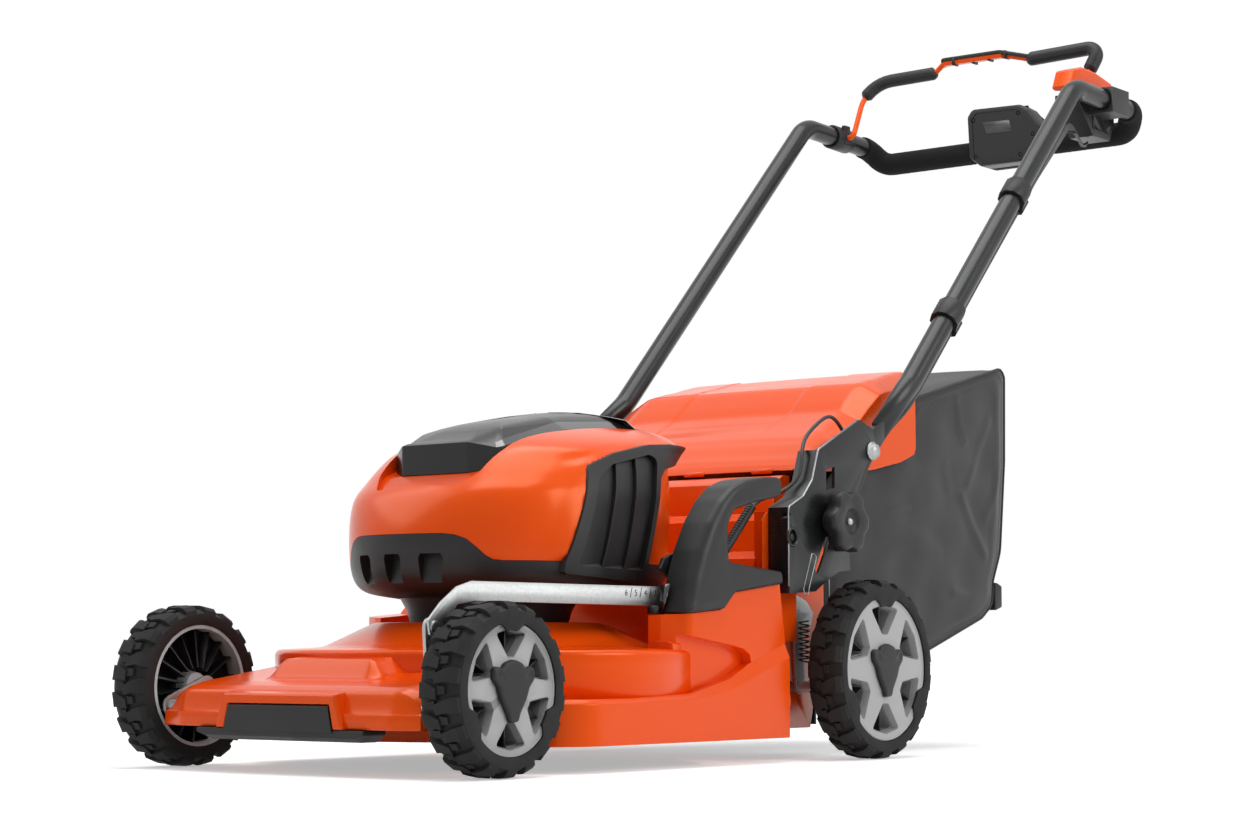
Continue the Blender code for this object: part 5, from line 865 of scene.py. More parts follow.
CAP_SHAPE = [(0.20, -1.06), (0.30, -0.80), (0.62, -0.30), (0.78, 0.08), (1.02, 0.34), (1.04, 0.66),
             (0.84, 0.76), (0.58, 0.66), (0.42, 0.86), (0.0, 0.98)]


def hub_cap(end, side_name):
    """A soft-edged cap with a round head, two ears and a tapered tongue, and a raised bare middle."""
    side = SIDES[side_name]
    width = WHEEL_WIDTH[end]
    shape = CAP_SHAPE + [(-y, z) for y, z in CAP_SHAPE[-2::-1]]
    radii = [0.10, 0.10, 0.30, 0.12, 0.16, 0.16, 0.16, 0.16, 0.30, 0.60]
    outline = rounded(shape, radii + radii[-2::-1], 5)
    scale = CAP_R * 1.02
    levels = [(0.0, 1.0), (0.0040, 0.985), (0.0052, 0.955), (0.0058, 0.90), (0.0060, 0.78), (0.0060, 0.30)]
    rings = [[(side * (width / 2 - RIM_INSET + 0.0002 + level), scale * share * y, scale * share * z)
              for y, z in outline] for level, share in levels]
    cap = solid("cap", loft(rings), NYLON)
    dimples = [turned([(0, -0.0012), (0.0052, 0.0006), (0.0062, 0.0030)],
                      (side * (width / 2 - RIM_INSET + 0.0056), sign * 0.0235, 0.0150), X * side, 32)
               for sign in (-1, 1)]
    whole = gathered(f"{end}_hub_cap_{side_name}", cut(cap, *dimples))
    on_axle(whole, end, side_name, (0.0007, 3, 40), "black_plastic", "hub_cap")


for end_name in ENDS:
    for wheel_side in SIDES:
        tyre(end_name, wheel_side)
        rim(end_name, wheel_side)
        hub_cap(end_name, wheel_side)


# Motor casing, lid and side vents

SPLIT_LINE = [(0.0, 0.2495), (0.1040, 0.2500), (0.1100, 0.2485), (0.1160, 0.2445), (0.1240, 0.2335),
              (0.1290, 0.2265), (0.1350, 0.2220), (0.1420, 0.2210), (0.55, 0.2210)]
GRILLE_FRONT = [(0.2070, 0.1960), (0.2190, 0.1960), (0.3260, 0.2400), (0.3420, 0.2870), (0.3560, 0.3580)]
GRILLE_OUTLINE = [
    (0.1960, 0.2070), (0.1960, 0.2190), (0.2400, 0.3260), (0.2870, 0.3420), (0.3580, 0.3560),
    (0.4000, 0.3590), (0.4680, 0.3580), (0.4640, 0.3500), (0.4150, 0.3360), (0.3760, 0.3290),
    (0.3630, 0.3180), (0.3230, 0.1990),
]
GRILLE_WINDOW = [(0.2110, 0.2160), (0.2500, 0.3130), (0.2780, 0.3290), (0.3490, 0.3440), (0.3630, 0.3400),
                 (0.3540, 0.3180), (0.3200, 0.2130)]
GRILLE_PROUD = 0.0072
COLLAR_R = 0.0945
DOME_TOP = 0.1560
DOME_HOLE_R = 0.0740
LID_PLAN = [(0.0490, 0.1570), (0.0780, 0.1800), (0.0850, 0.2800), (0.0850, 0.4150)]
LID_SEAT = [(0.0, 0.3175), (0.1570, 0.3175), (0.3000, 0.3520), (0.4600, 0.3660)]
LID_PROUD = 0.0085
TRAY_PLAN = [(0.0570, 0.1245), (0.0740, 0.1480), (0.0800, 0.1850)]
TRAY_FLOOR = [(0.0, 0.2915), (0.1245, 0.2915), (0.1570, 0.3170), (0.1900, 0.3290)]
CASING_LEVELS = 72
CASING_SIDES = 144


def between(table, at):
    """A value read from a table of (place, value) pairs, straight between them."""
    for (a, low), (b, high) in zip(table, table[1:]):
        if at <= b:
            return low + (high - low) * max(0.0, (at - a) / (b - a))
    return table[-1][1]


def casing_station(share):
    """A level section between the table's own, on a smooth curve through them."""
    rows = [CASING[0]] + CASING + [CASING[-1]]
    at = share * (len(CASING) - 1)
    i = min(int(at), len(CASING) - 2)
    t = at - i
    a, b, c, d = rows[i:i + 4]
    return [(2 * q + (r - p) * t + (2 * p - 5 * q + 4 * r - s) * t * t + (3 * q - p - 3 * r + s) * t ** 3) / 2
            for p, q, r, s in zip(a, b, c, d)]


def flare(y, z):
    """How far the hood swells outwards in front of a side vent."""
    ahead = between(GRILLE_FRONT, z) - y
    if z < 0.222 or y > 0.36 or z > 0.352:
        return 0.0
    swell = 0.0042 * unit(min(1 - ahead / 0.026, 1 + (ahead + 0.003) / 0.009))
    return swell * unit((0.352 - z) / 0.02) * unit((z - 0.222) / 0.006)


def casing(grow=0.0, lift=0.0, swollen=False):
    """The form of the motor casing, grown or shrunk by a wall and moved up or down."""
    rings = []
    for level in range(CASING_LEVELS + 1):
        share = level / CASING_LEVELS
        height, front, rear, half, depth, fullness = casing_station(share)
        rise = grow * (2 * share - 1) + lift
        front -= grow
        rear += grow
        half += grow
        middle = front + min(depth + grow, rear - front - half * 0.3)
        ring = []
        for i in range(CASING_SIDES):
            turn = 2 * math.pi * (i + 0.5) / CASING_SIDES
            power = 2 / (fullness if math.sin(turn) < 0 else REAR_FULLNESS)
            across = math.copysign(abs(math.cos(turn)) ** power, math.cos(turn))
            along = math.copysign(abs(math.sin(turn)) ** power, math.sin(turn))
            reach = rear - middle if along > 0 else middle - front
            x, y = half * across, middle + reach * along
            if swollen and abs(x) > 0.09:
                x += math.copysign(flare(y, height), x)
            ring.append((x, y, height + rise))
        rings.append(ring)
    return loft(rings)


def tree_of(bm):
    """A shape that can be asked where a line meets it."""
    found = BVHTree.FromBMesh(bm)
    bm.free()
    return found


CASING_TREE = tree_of(casing(0.0))


def surface_height(x, y):
    """The casing's height over a point of the plan."""
    hit = CASING_TREE.ray_cast(Vector((x, y, 1.0)), -Z)
    return hit[0].z


def surface_side(y, z):
    """The casing's half width at a point seen from the left."""
    hit = CASING_TREE.ray_cast(Vector((1.0, y, z)), -X)
    return hit[0].x if hit[0] else 0.14


def split_space(shift, high):
    """Everything above the line where the hood meets the base, which drops in an S behind the front."""
    line = [(y, z + shift) for y, z in SPLIT_LINE]
    return prism([(0.0, high)] + line + [(0.55, high)], "x", -0.3, 0.3)


def plan_ring(plan, margin, radii):
    """A plan that is the same on both sides, grown by a margin, with rounded corners."""
    grown = [(x + margin, y) for x, y in plan]
    grown[0] = (grown[0][0], grown[0][1] - margin)
    grown[-1] = (grown[-1][0], grown[-1][1] + margin)
    return rounded(grown + [(-x, y) for x, y in reversed(grown)], radii + radii[::-1], 8)


def above(ring, below):
    """The space over a plan, above a line seen from the side."""
    space = solid("space", prism(ring, "z", 0.25, 0.60))
    return cut(space, prism(below + [(0.6, 0.1), (0.0, 0.1)], "x", -0.3, 0.3))


def lid_ring(margin):
    """The lid's outline in plan."""
    return plan_ring(LID_PLAN, margin, [0.008, 0.014, 0.080, 0.010])


def tray_ring(margin):
    """The outline of the recess in front of the lid."""
    return plan_ring(TRAY_PLAN, margin, [0.014, 0.024, 0.0])


def hood():
    """The orange upper casing with its recess, the opening under the lid and its inner skin."""
    body = keep(solid("motor_hood_shell", casing(0.0, 0.0, True), ABS_ORANGE), split_space(0.0002, 0.6))
    cut(body, casing(-0.0032))
    floor = [(y, z - 0.0030) for y, z in TRAY_FLOOR]
    tray = keep(solid("tray", casing(-0.0010), ABS_ORANGE), above(tray_ring(0.0032), floor))
    join(body, tray)
    cut(body, above(tray_ring(0.0), TRAY_FLOOR), above(lid_ring(0.0008), LID_SEAT))
    round_edges(body, 0.0014, 3, 30)
    place(body, "machine", "orange_plastic", "motor_hood")


def lid():
    """The satin lid: a front wall, a crowned top and a polished sloping band down its sides."""
    outline = lid_ring(-0.0002)
    middle_y = 0.300
    rings = [[], [], []]
    for x, y in outline:
        aside = ease(unit((y - 0.160) / 0.045))
        crown = surface_height(x * 0.97, max(y, 0.172)) + LID_PROUD
        edge = surface_height(x, max(y, 0.176)) + LID_PROUD * (1 - aside) - 0.004 * (1 - aside) + 0.0002
        inset = 0.0045 + 0.0115 * aside
        rings[0].append((x, y, between(LID_SEAT, y) + 0.0003))
        rings[1].append((x, y, max(edge, between(LID_SEAT, y) + 0.002)))
        towards = Vector((-x, (middle_y - y) * 0.5)).normalized() * inset
        if y > 0.405:
            towards = Vector((-x * 0.2, middle_y - y)).normalized() * inset
        rings[2].append((x + towards.x, y + towards.y, crown + 0.0006))
    inner = []
    for share in (0.82, 0.64, 0.46, 0.28, 0.12):
        ring = []
        for x, y, _ in rings[2]:
            px, py = x * share, middle_y + (y - middle_y) * (0.35 + 0.65 * share)
            top = surface_height(px, max(py, 0.176)) + LID_PROUD + 0.0010
            ring.append((px, py, top))
        inner.append(ring)
    body = solid("battery_lid_cover", loft(rings + inner), ABS_SATIN, ABS_BLACK)
    count = len(outline)
    for face in body.data.polygons:
        if count <= face.index < 2 * count and face.center.y > 0.176:
            face.material_index = 1
    round_edges(body, 0.0030, 4, 26)
    place(body, "lid", "black_plastic", "battery_lid")


def base():
    """The black lower casing with three scooped vents and the collar that stands on the deck."""
    body = cut(solid("motor_base_shell", casing(0.0), NYLON), split_space(-0.0002, 0.6))
    scoops = []
    outline = [(-1.0, 0.1880), (-1.05, 0.2240), (-0.85, 0.2290), (0.85, 0.2290), (1.05, 0.2240),
               (0.70, 0.1880)]
    for degrees, half in ((-20.0, 0.0130), (-1.5, 0.0130), (17.0, 0.0155)):
        turn = math.radians(degrees)
        across = Vector((math.cos(turn), math.sin(turn), 0))
        outward = Vector((math.sin(turn), -math.cos(turn), 0))
        centre = Vector((0, BLADE_Y, 0)) + outward * 0.1570
        front = [centre + across * half * s + outward * 0.030 + Z * z for s, z in outline]
        back = [centre + across * half * s * 0.86 - outward * (0.0150 - 0.20 * max(0.0, 0.2130 - z)) +
                Z * (z * 0.90 + 0.2260 * 0.10) for s, z in outline]
        scoops.append(loft([front, back]))
    cut(body, *scoops)
    collar = turned([(COLLAR_R - 0.006, DOME_TOP + 0.0004), (COLLAR_R - 0.002, 0.1700),
                     (COLLAR_R + 0.006, 0.1840), (COLLAR_R - 0.020, 0.1840),
                     (COLLAR_R - 0.020, DOME_TOP + 0.0004)], (0, BLADE_Y, 0), Z, 96, closed=True)
    join(body, collar)
    cut(body, disc((0, BLADE_Y, DOME_TOP - 0.01), Z, DOME_HOLE_R, 0.020, 48))
    round_edges(body, 0.0012, 3, 34)
    place(body, "machine", "black_plastic", "motor_base")


def vent(side_name):
    """A side vent: a frame swept back to a point, three panels that overlap like shingles, and a sill."""
    side = SIDES[side_name]
    outline = rounded(GRILLE_OUTLINE, [0.004, 0.006, 0.016, 0.020, 0.030, 0.012, 0.004, 0.004, 0.020,
                                       0.010, 0.010, 0.006], 5)
    window = rounded(GRILLE_WINDOW, [0.005, 0.014, 0.010, 0.010, 0.006, 0.006, 0.005], 4)
    frame_plate = keep(solid("vent_frame", casing(GRILLE_PROUD), NYLON), prism(outline, "x", 0.1000, 0.25))
    cut(frame_plate, casing(-0.0012))
    recess = cut(solid("recess", casing(0.03)), casing(0.0006))
    keep(recess, prism(window, "x", 0.09, 0.25))
    cut(frame_plate, recess)
    panels = []
    edges = [((0.2080, 0.2150), (0.2490, 0.3230)), ((0.2480, 0.2130), (0.2860, 0.3330)),
             ((0.2860, 0.2110), (0.3240, 0.3420)), ((0.3180, 0.2100), (0.3640, 0.3460))]
    for first, second in zip(edges, edges[1:]):
        rows = []
        for v in range(17):
            up = v / 16
            start = [a + (b - a) * up for a, b in zip(*first)]
            end = [a + (b - a) * up for a, b in zip(*second)]
            outer, inner = [], []
            for u in range(9):
                share = u / 8
                y = start[0] + (end[0] - start[0]) * share
                z = start[1] + (end[1] - start[1]) * share
                x = surface_side(y, z)
                outer.append((x + 0.0060 - 0.0048 * share, y, z))
                inner.append((x - 0.0010, y, z))
            rows.append(outer + inner[::-1])
        panels.append(keep(solid("panel", loft(rows), NYLON), prism(window, "x", 0.09, 0.25)))
    rows = []
    for i in range(13):
        y = 0.2090 + 0.1130 * i / 12
        z = 0.2165 - 0.0038 * i / 12
        x = surface_side(y, z)
        rows.append([(x - 0.001, y, z - 0.002), (x + 0.0062, y, z - 0.002), (x + 0.0058, y, z),
                     (x + 0.0010, y, z + 0.0052), (x - 0.001, y, z + 0.0052)])
    sill = solid("sill", loft(rows), NYLON)
    whole = gathered(f"side_vent_{side_name}",
                     *[round_edges(part, 0.0009, 2, 34) for part in (frame_plate, *panels, sill)])
    if side < 0:
        whole.data.transform(Matrix.Scale(-1, 4, X))
        whole.data.flip_normals()
    place(whole, "machine", "black_plastic", f"grille_{side_name}")


hood()
lid()
base()
for vent_side in SIDES:
    vent(vent_side)


# Deck

NOSE_HALF = 0.1840
NOSE_FACE = -0.0730
DRUM_R = 0.2380
SKIRT_STEP = [(0.0, 0.0705), (0.20, 0.0711), (0.31, 0.0748), (0.377, 0.0852), (0.4734, 0.1149),
              (0.50, 0.1235)]
SKIRT_BAND = [(0.0, 0.0045), (0.30, 0.0050), (0.382, 0.0095), (0.42, 0.0150), (0.50, 0.0150)]
SKIRT_BOTTOM = 0.0275
SHEET = 0.0020
SKIRT_HALF = 0.2450
CHAMBER_FROM, CHAMBER_HEIGHT = -0.1000, 0.2235
WALL_INNER, WALL_OUTER = 0.2080, 0.2392
LEDGE_FOOT = 0.0700


def soft_max(a, b, blend):
    """The larger of two values, with the corner between them rounded."""
    h = max(blend - abs(a - b), 0.0) / blend
    return max(a, b) + h * h * blend / 4


def nose_height(x, y):
    """The height of the nose: it rises to the rear, rounds down at its sides and carries a plateau."""
    base = between([(-0.062, 0.0850), (-0.052, 0.0895), (-0.035, 0.0935), (0.05, 0.1060), (0.13, 0.1180)], y)
    out = max(0.0, abs(x) - 0.148)
    radius = 0.0385
    base -= radius - math.sqrt(max(radius * radius - out * out, 1e-6))
    dx = max(0.0, abs(x) - 0.063 - 0.10 * max(0.0, y))
    dy = max(0.0, -0.0055 - y)
    plateau = 0.1165 + 0.10 * (y + 0.0055) - 1.15 * math.hypot(dx, dy)
    return soft_max(base, plateau, 0.0035)


def nose():
    """The pressed nose: lip, ledge, slanted front, rising top and plateau."""
    columns = 96
    stations = [(-0.0715, 0.0470), (-0.0722, 0.0475), (-0.0730, 0.0485), (-0.0732, 0.0605), (-0.0726, 0.0618),
                (-0.0700, 0.0625), (-0.0690, 0.0635), (-0.0655, 0.0770), (-0.0640, 0.0815)]
    rows = []
    for y, z in stations:
        row = []
        for i in range(columns + 1):
            x = NOSE_HALF * (2 * i / columns - 1)
            bend = 0.30 * max(0.0, abs(x) - 0.150)
            top = nose_height(x, -0.062) - 0.0015
            share = unit((z - 0.0635) / 0.018)
            row.append((x, y + bend, z + (top - 0.0815) * share if top < 0.0815 else z))
        rows.append(row)
    for j in range(61):
        y = -0.062 + 0.190 * (j / 60) ** 1.2
        row = []
        for i in range(columns + 1):
            x = NOSE_HALF * (2 * i / columns - 1)
            bend = 0.30 * max(0.0, abs(x) - 0.150) * max(0.0, 1 - j / 12)
            row.append((x, y + bend, nose_height(x, y)))
        rows.append(row)
    rings = []
    for row in rows:
        low = [(row[0][0], row[0][1], 0.0470), *row, (row[-1][0], row[-1][1], 0.0470)]
        inner = [(x * 0.989, y + SHEET * (1 if y < 0.10 else 0), max(0.0470, z - SHEET)) for x, y, z in low]
        rings.append(low + inner[::-1])
    shell = solid("nose", loft(rings), ENAMEL)

    def mouth(y, low, foot, high, head):
        """A ring round the bumper: the half width and height of its foot, then of its head."""
        return [(-low, y, foot), (low, y, foot), (high, y, head), (-high, y, head)]

    surround = solid("surround", loft([mouth(-0.0610, 0.0925, 0.0465, 0.0815, 0.0845),
                                       mouth(-0.0755, 0.0920, 0.0466, 0.0810, 0.0822),
                                       mouth(-0.0782, 0.0905, 0.0470, 0.0790, 0.0800)]), ENAMEL)
    cut(surround, loft([mouth(y, 0.0800, 0.0400, 0.0728, 0.0718) for y in (-0.0600, -0.0850)]))
    return [round_edges(shell, 0.0012, 3, 38), round_edges(surround, 0.0014, 3, 28)]


def bumper():
    """The black bumper in the nose, with a rolled top edge, and its foot under the lip."""
    profile = [(0.0, 0.0435), (0.0, 0.0660), (0.0008, 0.0695), (0.0030, 0.0712), (0.0062, 0.0716)]
    rings = []
    for back, z in profile:
        half = 0.0782 - (z - 0.0435) * 0.235
        rings.append([(-half, NOSE_FACE - 0.0060 + back, z), (half, NOSE_FACE - 0.0060 + back, z),
                      (half, NOSE_FACE + 0.0020, z), (-half, NOSE_FACE + 0.0020, z)])
    face = round_edges(solid("face", loft(rings), NYLON), 0.0012, 3, 30)
    foot = 0.1200
    outline = [(-0.0060 + NOSE_FACE + 0.0015, 0.0462), (-0.0060 + NOSE_FACE + 0.0015, 0.0385),
               (-0.0660, 0.0340), (-0.0440, 0.0335), (-0.0440, 0.0462)]
    rings = []
    for x in (-foot, -foot + 0.012, foot - 0.012, foot):
        drop = 0.0075 if abs(x) >= foot else 0.0
        rings.append([(x, y, max(z, 0.0340 + drop) if z < 0.045 else z) for y, z in outline])
    step = round_edges(solid("foot", loft(rings), NYLON), 0.0010, 2, 30)
    place(gathered("bumper_cover", face, step), "machine", "black_plastic", "front_bumper")


def drum():
    """The round blade chamber with its rolled rim, the sloping shoulder and the dome under the motor."""
    outer = rounded([(DRUM_R, SKIRT_BOTTOM + 0.004), (DRUM_R - 0.0005, 0.1262), (0.1850, 0.1292),
                     (0.1290, 0.1560), (0.0, 0.1560)], [0, 0.0065, 0.030, 0.014, 0], 8, closed=False)
    inner = [(max(0.0, r - SHEET), z - SHEET) for r, z in outer[:-1]] + [(0.0, outer[-1][1] - SHEET)]
    inner[0] = (inner[0][0], outer[0][1])
    return [solid("drum", turned(outer + inner[::-1], (0, BLADE_Y, 0), Z, 160), ENAMEL)]


def skirt():
    """The skirt round the drum: its wall, the step that climbs to the rear corner and a turned rear edge."""
    half = SKIRT_HALF
    path = [(0.2060, 0.4970), (0.2340, 0.4970), (half, 0.4850)]
    path += [(half, 0.4850 - 0.3350 * i / 48) for i in range(1, 49)]
    path += [(0.185 + 0.060 * math.cos(math.radians(a)), 0.150 - 0.060 * math.sin(math.radians(a)))
             for a in range(6, 91, 6)]
    path += [(0.120, 0.090)]
    whole = path + [(-x, y) for x, y in reversed(path)]
    rings = []
    count = len(whole)
    for i, (x, y) in enumerate(whole):
        before = Vector(whole[max(i - 1, 0)])
        after = Vector(whole[min(i + 1, count - 1)])
        along = (after - before).normalized()
        inward = Vector((-along.y, along.x)) * -1
        if inward.dot(Vector((0, 0.3)) - Vector((x, y))) < 0:
            inward = -inward
        step = between(SKIRT_STEP, y)
        band = between(SKIRT_BAND, y)
        section = [(0.0, SKIRT_BOTTOM), (0.0, step - 0.0008), (0.0004, step), (0.0058, step + band),
                   (0.0350, step + band), (0.0350, step + band - SHEET), (0.0072, step + band - SHEET),
                   (0.0022, step - SHEET), (0.0022, SKIRT_BOTTOM)]
        rings.append([(x + inward.x * inset, y + inward.y * inset, z) for inset, z in section])
    return [round_edges(solid("skirt", loft(rings), ENAMEL), 0.0016, 3, 24)]


def chamber():
    """The space in which the blade turns."""
    return disc((0, BLADE_Y, CHAMBER_FROM), Z, DRUM_R - SHEET, CHAMBER_HEIGHT, 96)


def panel(side):
    """The tall side wall behind the drum and the ledge that carries the height handle."""
    outline = [(0.3900, 0.0640), (0.3870, 0.1320), (0.3620, 0.1400), (0.3606, 0.1698), (0.3804, 0.1886),
               (0.4740, 0.2000), (0.4955, 0.0640)]
    wall = solid("wall", on_side(prism(outline, "x", WALL_INNER, WALL_OUTER), side), ENAMEL)
    plan = [(0.1986, 0.2830), (0.2120, 0.2880), (0.2392, 0.3040), (0.2392, 0.4060), (0.1986, 0.4060)]
    plan = rounded(plan, [0, 0.010, 0.012, 0, 0], 6)
    join(wall, on_side(loft([[(x, y, LEDGE_FOOT) for x, y in plan],
                             [(x, y, 0.1646 + 0.080 * (y - 0.2960)) for x, y in plan]]), side))
    below = [(0.2700, 0.0800), (0.2700, 0.1460), (0.3000, 0.1425), (0.3850, 0.1310), (0.4030, 0.1275),
             (0.4150, 0.1215), (0.4180, 0.1130), (0.4100, 0.0800)]
    cut(wall, on_side(prism(below, "x", 0.2264, 0.2600), side), chamber())
    pocket = turned([(0.2330, 0.1180), (0.2330, 0.1330), (0.2255, 0.1360), (0.2000, 0.1365),
                     (0.2000, 0.1180)], (0, BLADE_Y, 0), Z, 128, closed=True)
    lip = solid("lip", pocket, ENAMEL)
    keep(lip, on_side(block((0.10, 0.285, 0.10), (0.245, 0.430, 0.20)), side))
    return [round_edges(wall, 0.0020, 3, 40), round_edges(lip, 0.0018, 3, 30)]


def chute():
    """The discharge chute and the boxes for the brackets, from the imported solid, with pressed edges."""
    body = copied("deck_shell", "chute", ENAMEL)
    keep(body, block((-0.2165, 0.4700, 0.0), (0.2165, 0.6600, 0.34)))
    return [round_edges(body, 0.0022, 3, 35)]


def deck():
    """Everything that is pressed from the deck's sheet."""
    parts = [cut(part, chamber()) for part in nose() + skirt()] + drum() + chute()
    for side in (1, -1):
        parts += panel(side)
    place(gathered("deck_pressing", *parts), "machine", "deck_paint", "deck_shell")


deck()
bumper()


# Height handle, brackets and clamps

HANDLE_FACE = [
    (0.2960, 0.1650), (0.3600, 0.1710), (0.3812, 0.1896), (0.4728, 0.2004), (0.4706, 0.2144),
    (0.3700, 0.2225), (0.3694, 0.2640), (0.3800, 0.2800), (0.4200, 0.2905), (0.4700, 0.2990),
    (0.4712, 0.3210), (0.4400, 0.3200), (0.4050, 0.3150), (0.3800, 0.3065), (0.3581, 0.2901),
    (0.3375, 0.2662), (0.3190, 0.2351), (0.3061, 0.2045),
]
HANDLE_CORNERS = [0.003, 0.006, 0.006, 0.003, 0.003, 0.009, 0.014, 0.014, 0.030, 0.009, 0.009, 0.030,
                  0.040, 0.040, 0.040, 0.040, 0.040, 0.040]


def height_handle():
    """The thick moulded lever with an open grip, rolled in front and dished softly round the opening."""
    outer, inner = 0.2460, 0.2066
    face = rounded(HANDLE_FACE, HANDLE_CORNERS, 6)
    face = even_line(face + face[:1], 241)[:-1]
    outward = []
    for before, after in zip(face[-4:] + face[:-4], face[4:] + face[:4]):
        run = (after - before).normalized()
        outward.append(Vector((run.y, -run.x)))
    rings = [[(inner, *p) for p in face]]
    fronts, openings = [], []
    for point, way in zip(face, outward):
        fronts.append(max(0.0, -way.x) if point.x < 0.43 else 0.0)
        opens = 0.21 < point.y < 0.30 and point.x < 0.45
        openings.append(max(0.0, way.x, way.y if point.y < 0.235 else 0.0) if opens else 0.0)
    for share in (0.0, 0.15, 0.3, 0.45, 0.6, 0.8, 1.0):
        turn = share * math.pi / 2
        ring = []
        for k, (point, way) in enumerate(zip(face, outward)):
            near = [(k + shift) % len(face) for shift in range(-7, 8)]
            front = sum(fronts[n] for n in near) / len(near)
            opening = sum(openings[n] for n in near) / len(near)
            inset = 0.0030 + 0.0110 * front + 0.0080 * opening
            drop = 0.0030 + 0.0110 * front + 0.0016 * opening
            moved = point - way * inset * (1 - math.cos(turn))
            ring.append((outer - drop * (1 - math.sin(turn)), *moved))
        rings.append(ring)
    body = round_edges(solid("height_lever", loft(rings), NYLON), 0.0008, 2, 50)
    foot = solid("foot", prism([(0.2840, 0.1652), (0.2968, 0.1652), (0.2968, 0.1740), (0.2850, 0.1740)],
                               "x", 0.1962, 0.2070), NYLON)
    pointer = solid("pointer", prism([(0.2070, 0.1960), (0.2190, 0.1975), (0.2062, 0.1560)], "y", 0.2930,
                                     0.2990), ABS_BLACK)
    place(gathered("height_lever", body, foot, pointer), "machine", "black_plastic", "height_handle")


def bracket(side_name, side):
    """One handle bracket: a pressed plate with a turned flange, a window, a diamond, a recess and a slot."""
    body = copied(f"bracket_{side_name}", "plate", POWDER)
    face = side * BRACKET_OUTER
    ring = turned([(0.0075, -0.0040), (0.0078, 0.0002), (0.0092, 0.0014), (0.0104, 0.0015), (0.0116, 0.0004),
                   (0.0116, -0.0040)], (face, RECESS_Y, RECESS_Z), X * side, 40, closed=True)
    floor = disc((face - side * 0.0052, RECESS_Y, RECESS_Z), X * side, 0.0078, 0.0030, 32)
    cut(body, disc((face - side * 0.0022, RECESS_Y, RECESS_Z), X * side, 0.0078, 0.0080, 32))
    diamond = prism([(0.4760, 0.2800), (0.4830, 0.2890), (0.4905, 0.2800), (0.4830, 0.2700)], "x", 0.2340,
                    0.2540)
    cut(body, on_side(diamond, side))
    # A thin bright steel bead round the slot: a painted highlight on the slot's rim
    slot_path = [(0.5150, 0.1950), (0.5185, 0.1880), (0.5250, 0.1890), (0.5260, 0.1960), (0.5420, 0.2330),
                 (0.5330, 0.2380)]
    lip = [Vector((face, *p)) for p in rounded(slot_path, 0.003, 4)]
    slot_highlight = solid("slot_highlight", loft(sweep_rings(lip + lip[:1], 0.0007, 8)), STEEL)
    screw = solid("screw",
                  turned([(0, -0.0060), (0.0042, -0.0060), (0.0042, 0.0004), (0.0030, 0.0014),
                          (0, 0.0016)], (face - side * 0.0020, RECESS_Y, RECESS_Z), X * side, 32), NYLON)
    parts = [round_edges(body, 0.0009, 3, 32), solid("ring", ring, POWDER), solid("floor", floor, NYLON),
             screw, slot_highlight]
    # A thin bright steel strip along the plate's front edge: a painted highlight on that edge
    edge = [Vector((face - side * 0.0008, PIVOT_Y + y, PIVOT_Z + z)) for y,
            z in [(-0.1745, -0.1640), (-0.1745, -0.0740), (-0.1450, -0.0606), (-0.1264, -0.0408),
                  (-0.1134, -0.0048), (-0.0330, 0.0332)]]
    edge_highlight = rounded(edge, [0, 0.006, 0.008, 0.010, 0.008, 0], 6, closed=False)
    parts.append(solid("edge", pipe(edge_highlight, 0.0011, 8), STEEL))
    place(gathered(f"bracket_plate_{side_name}", *parts), "machine", "black_paint", f"bracket_{side_name}")


def pivot(side_name, side):
    """The zinc pivot bolt with its washer, hexagon and domed end."""
    body = copied(f"pivot_bolt_{side_name}", "shank", ZINC)
    axis = X * side
    start = side * BRACKET_OUTER
    washer = turned([(0.0040, 0.0), (0.0108, 0.0), (0.0110, 0.0004), (0.0108, 0.0014), (0.0040, 0.0014)],
                    (start, PIVOT_Y, PIVOT_Z), axis, 48, closed=True)
    hexagon = turned([(0.0005, 0.0014), (0.0058, 0.0014), (0.0058, 0.0046), (0.0052, 0.0052),
                      (0.0005, 0.0052)], (start, PIVOT_Y, PIVOT_Z), axis, 6, closed=True)
    dome = turned([(0, 0.0), (0.0036, 0.0), (0.0036, 0.0068), (0.0028, 0.0078), (0, 0.0080)],
                  (start, PIVOT_Y, PIVOT_Z), axis, 32)
    parts = [round_edges(solid(n, b, ZINC), 0.0004, 2, 30) for n, b in (("washer", washer), ("nut", hexagon),
                                                                       ("end", dome))]
    place(gathered(f"pivot_fastener_{side_name}", body, *parts), "machine", "zinc",
          f"pivot_bolt_{side_name}")


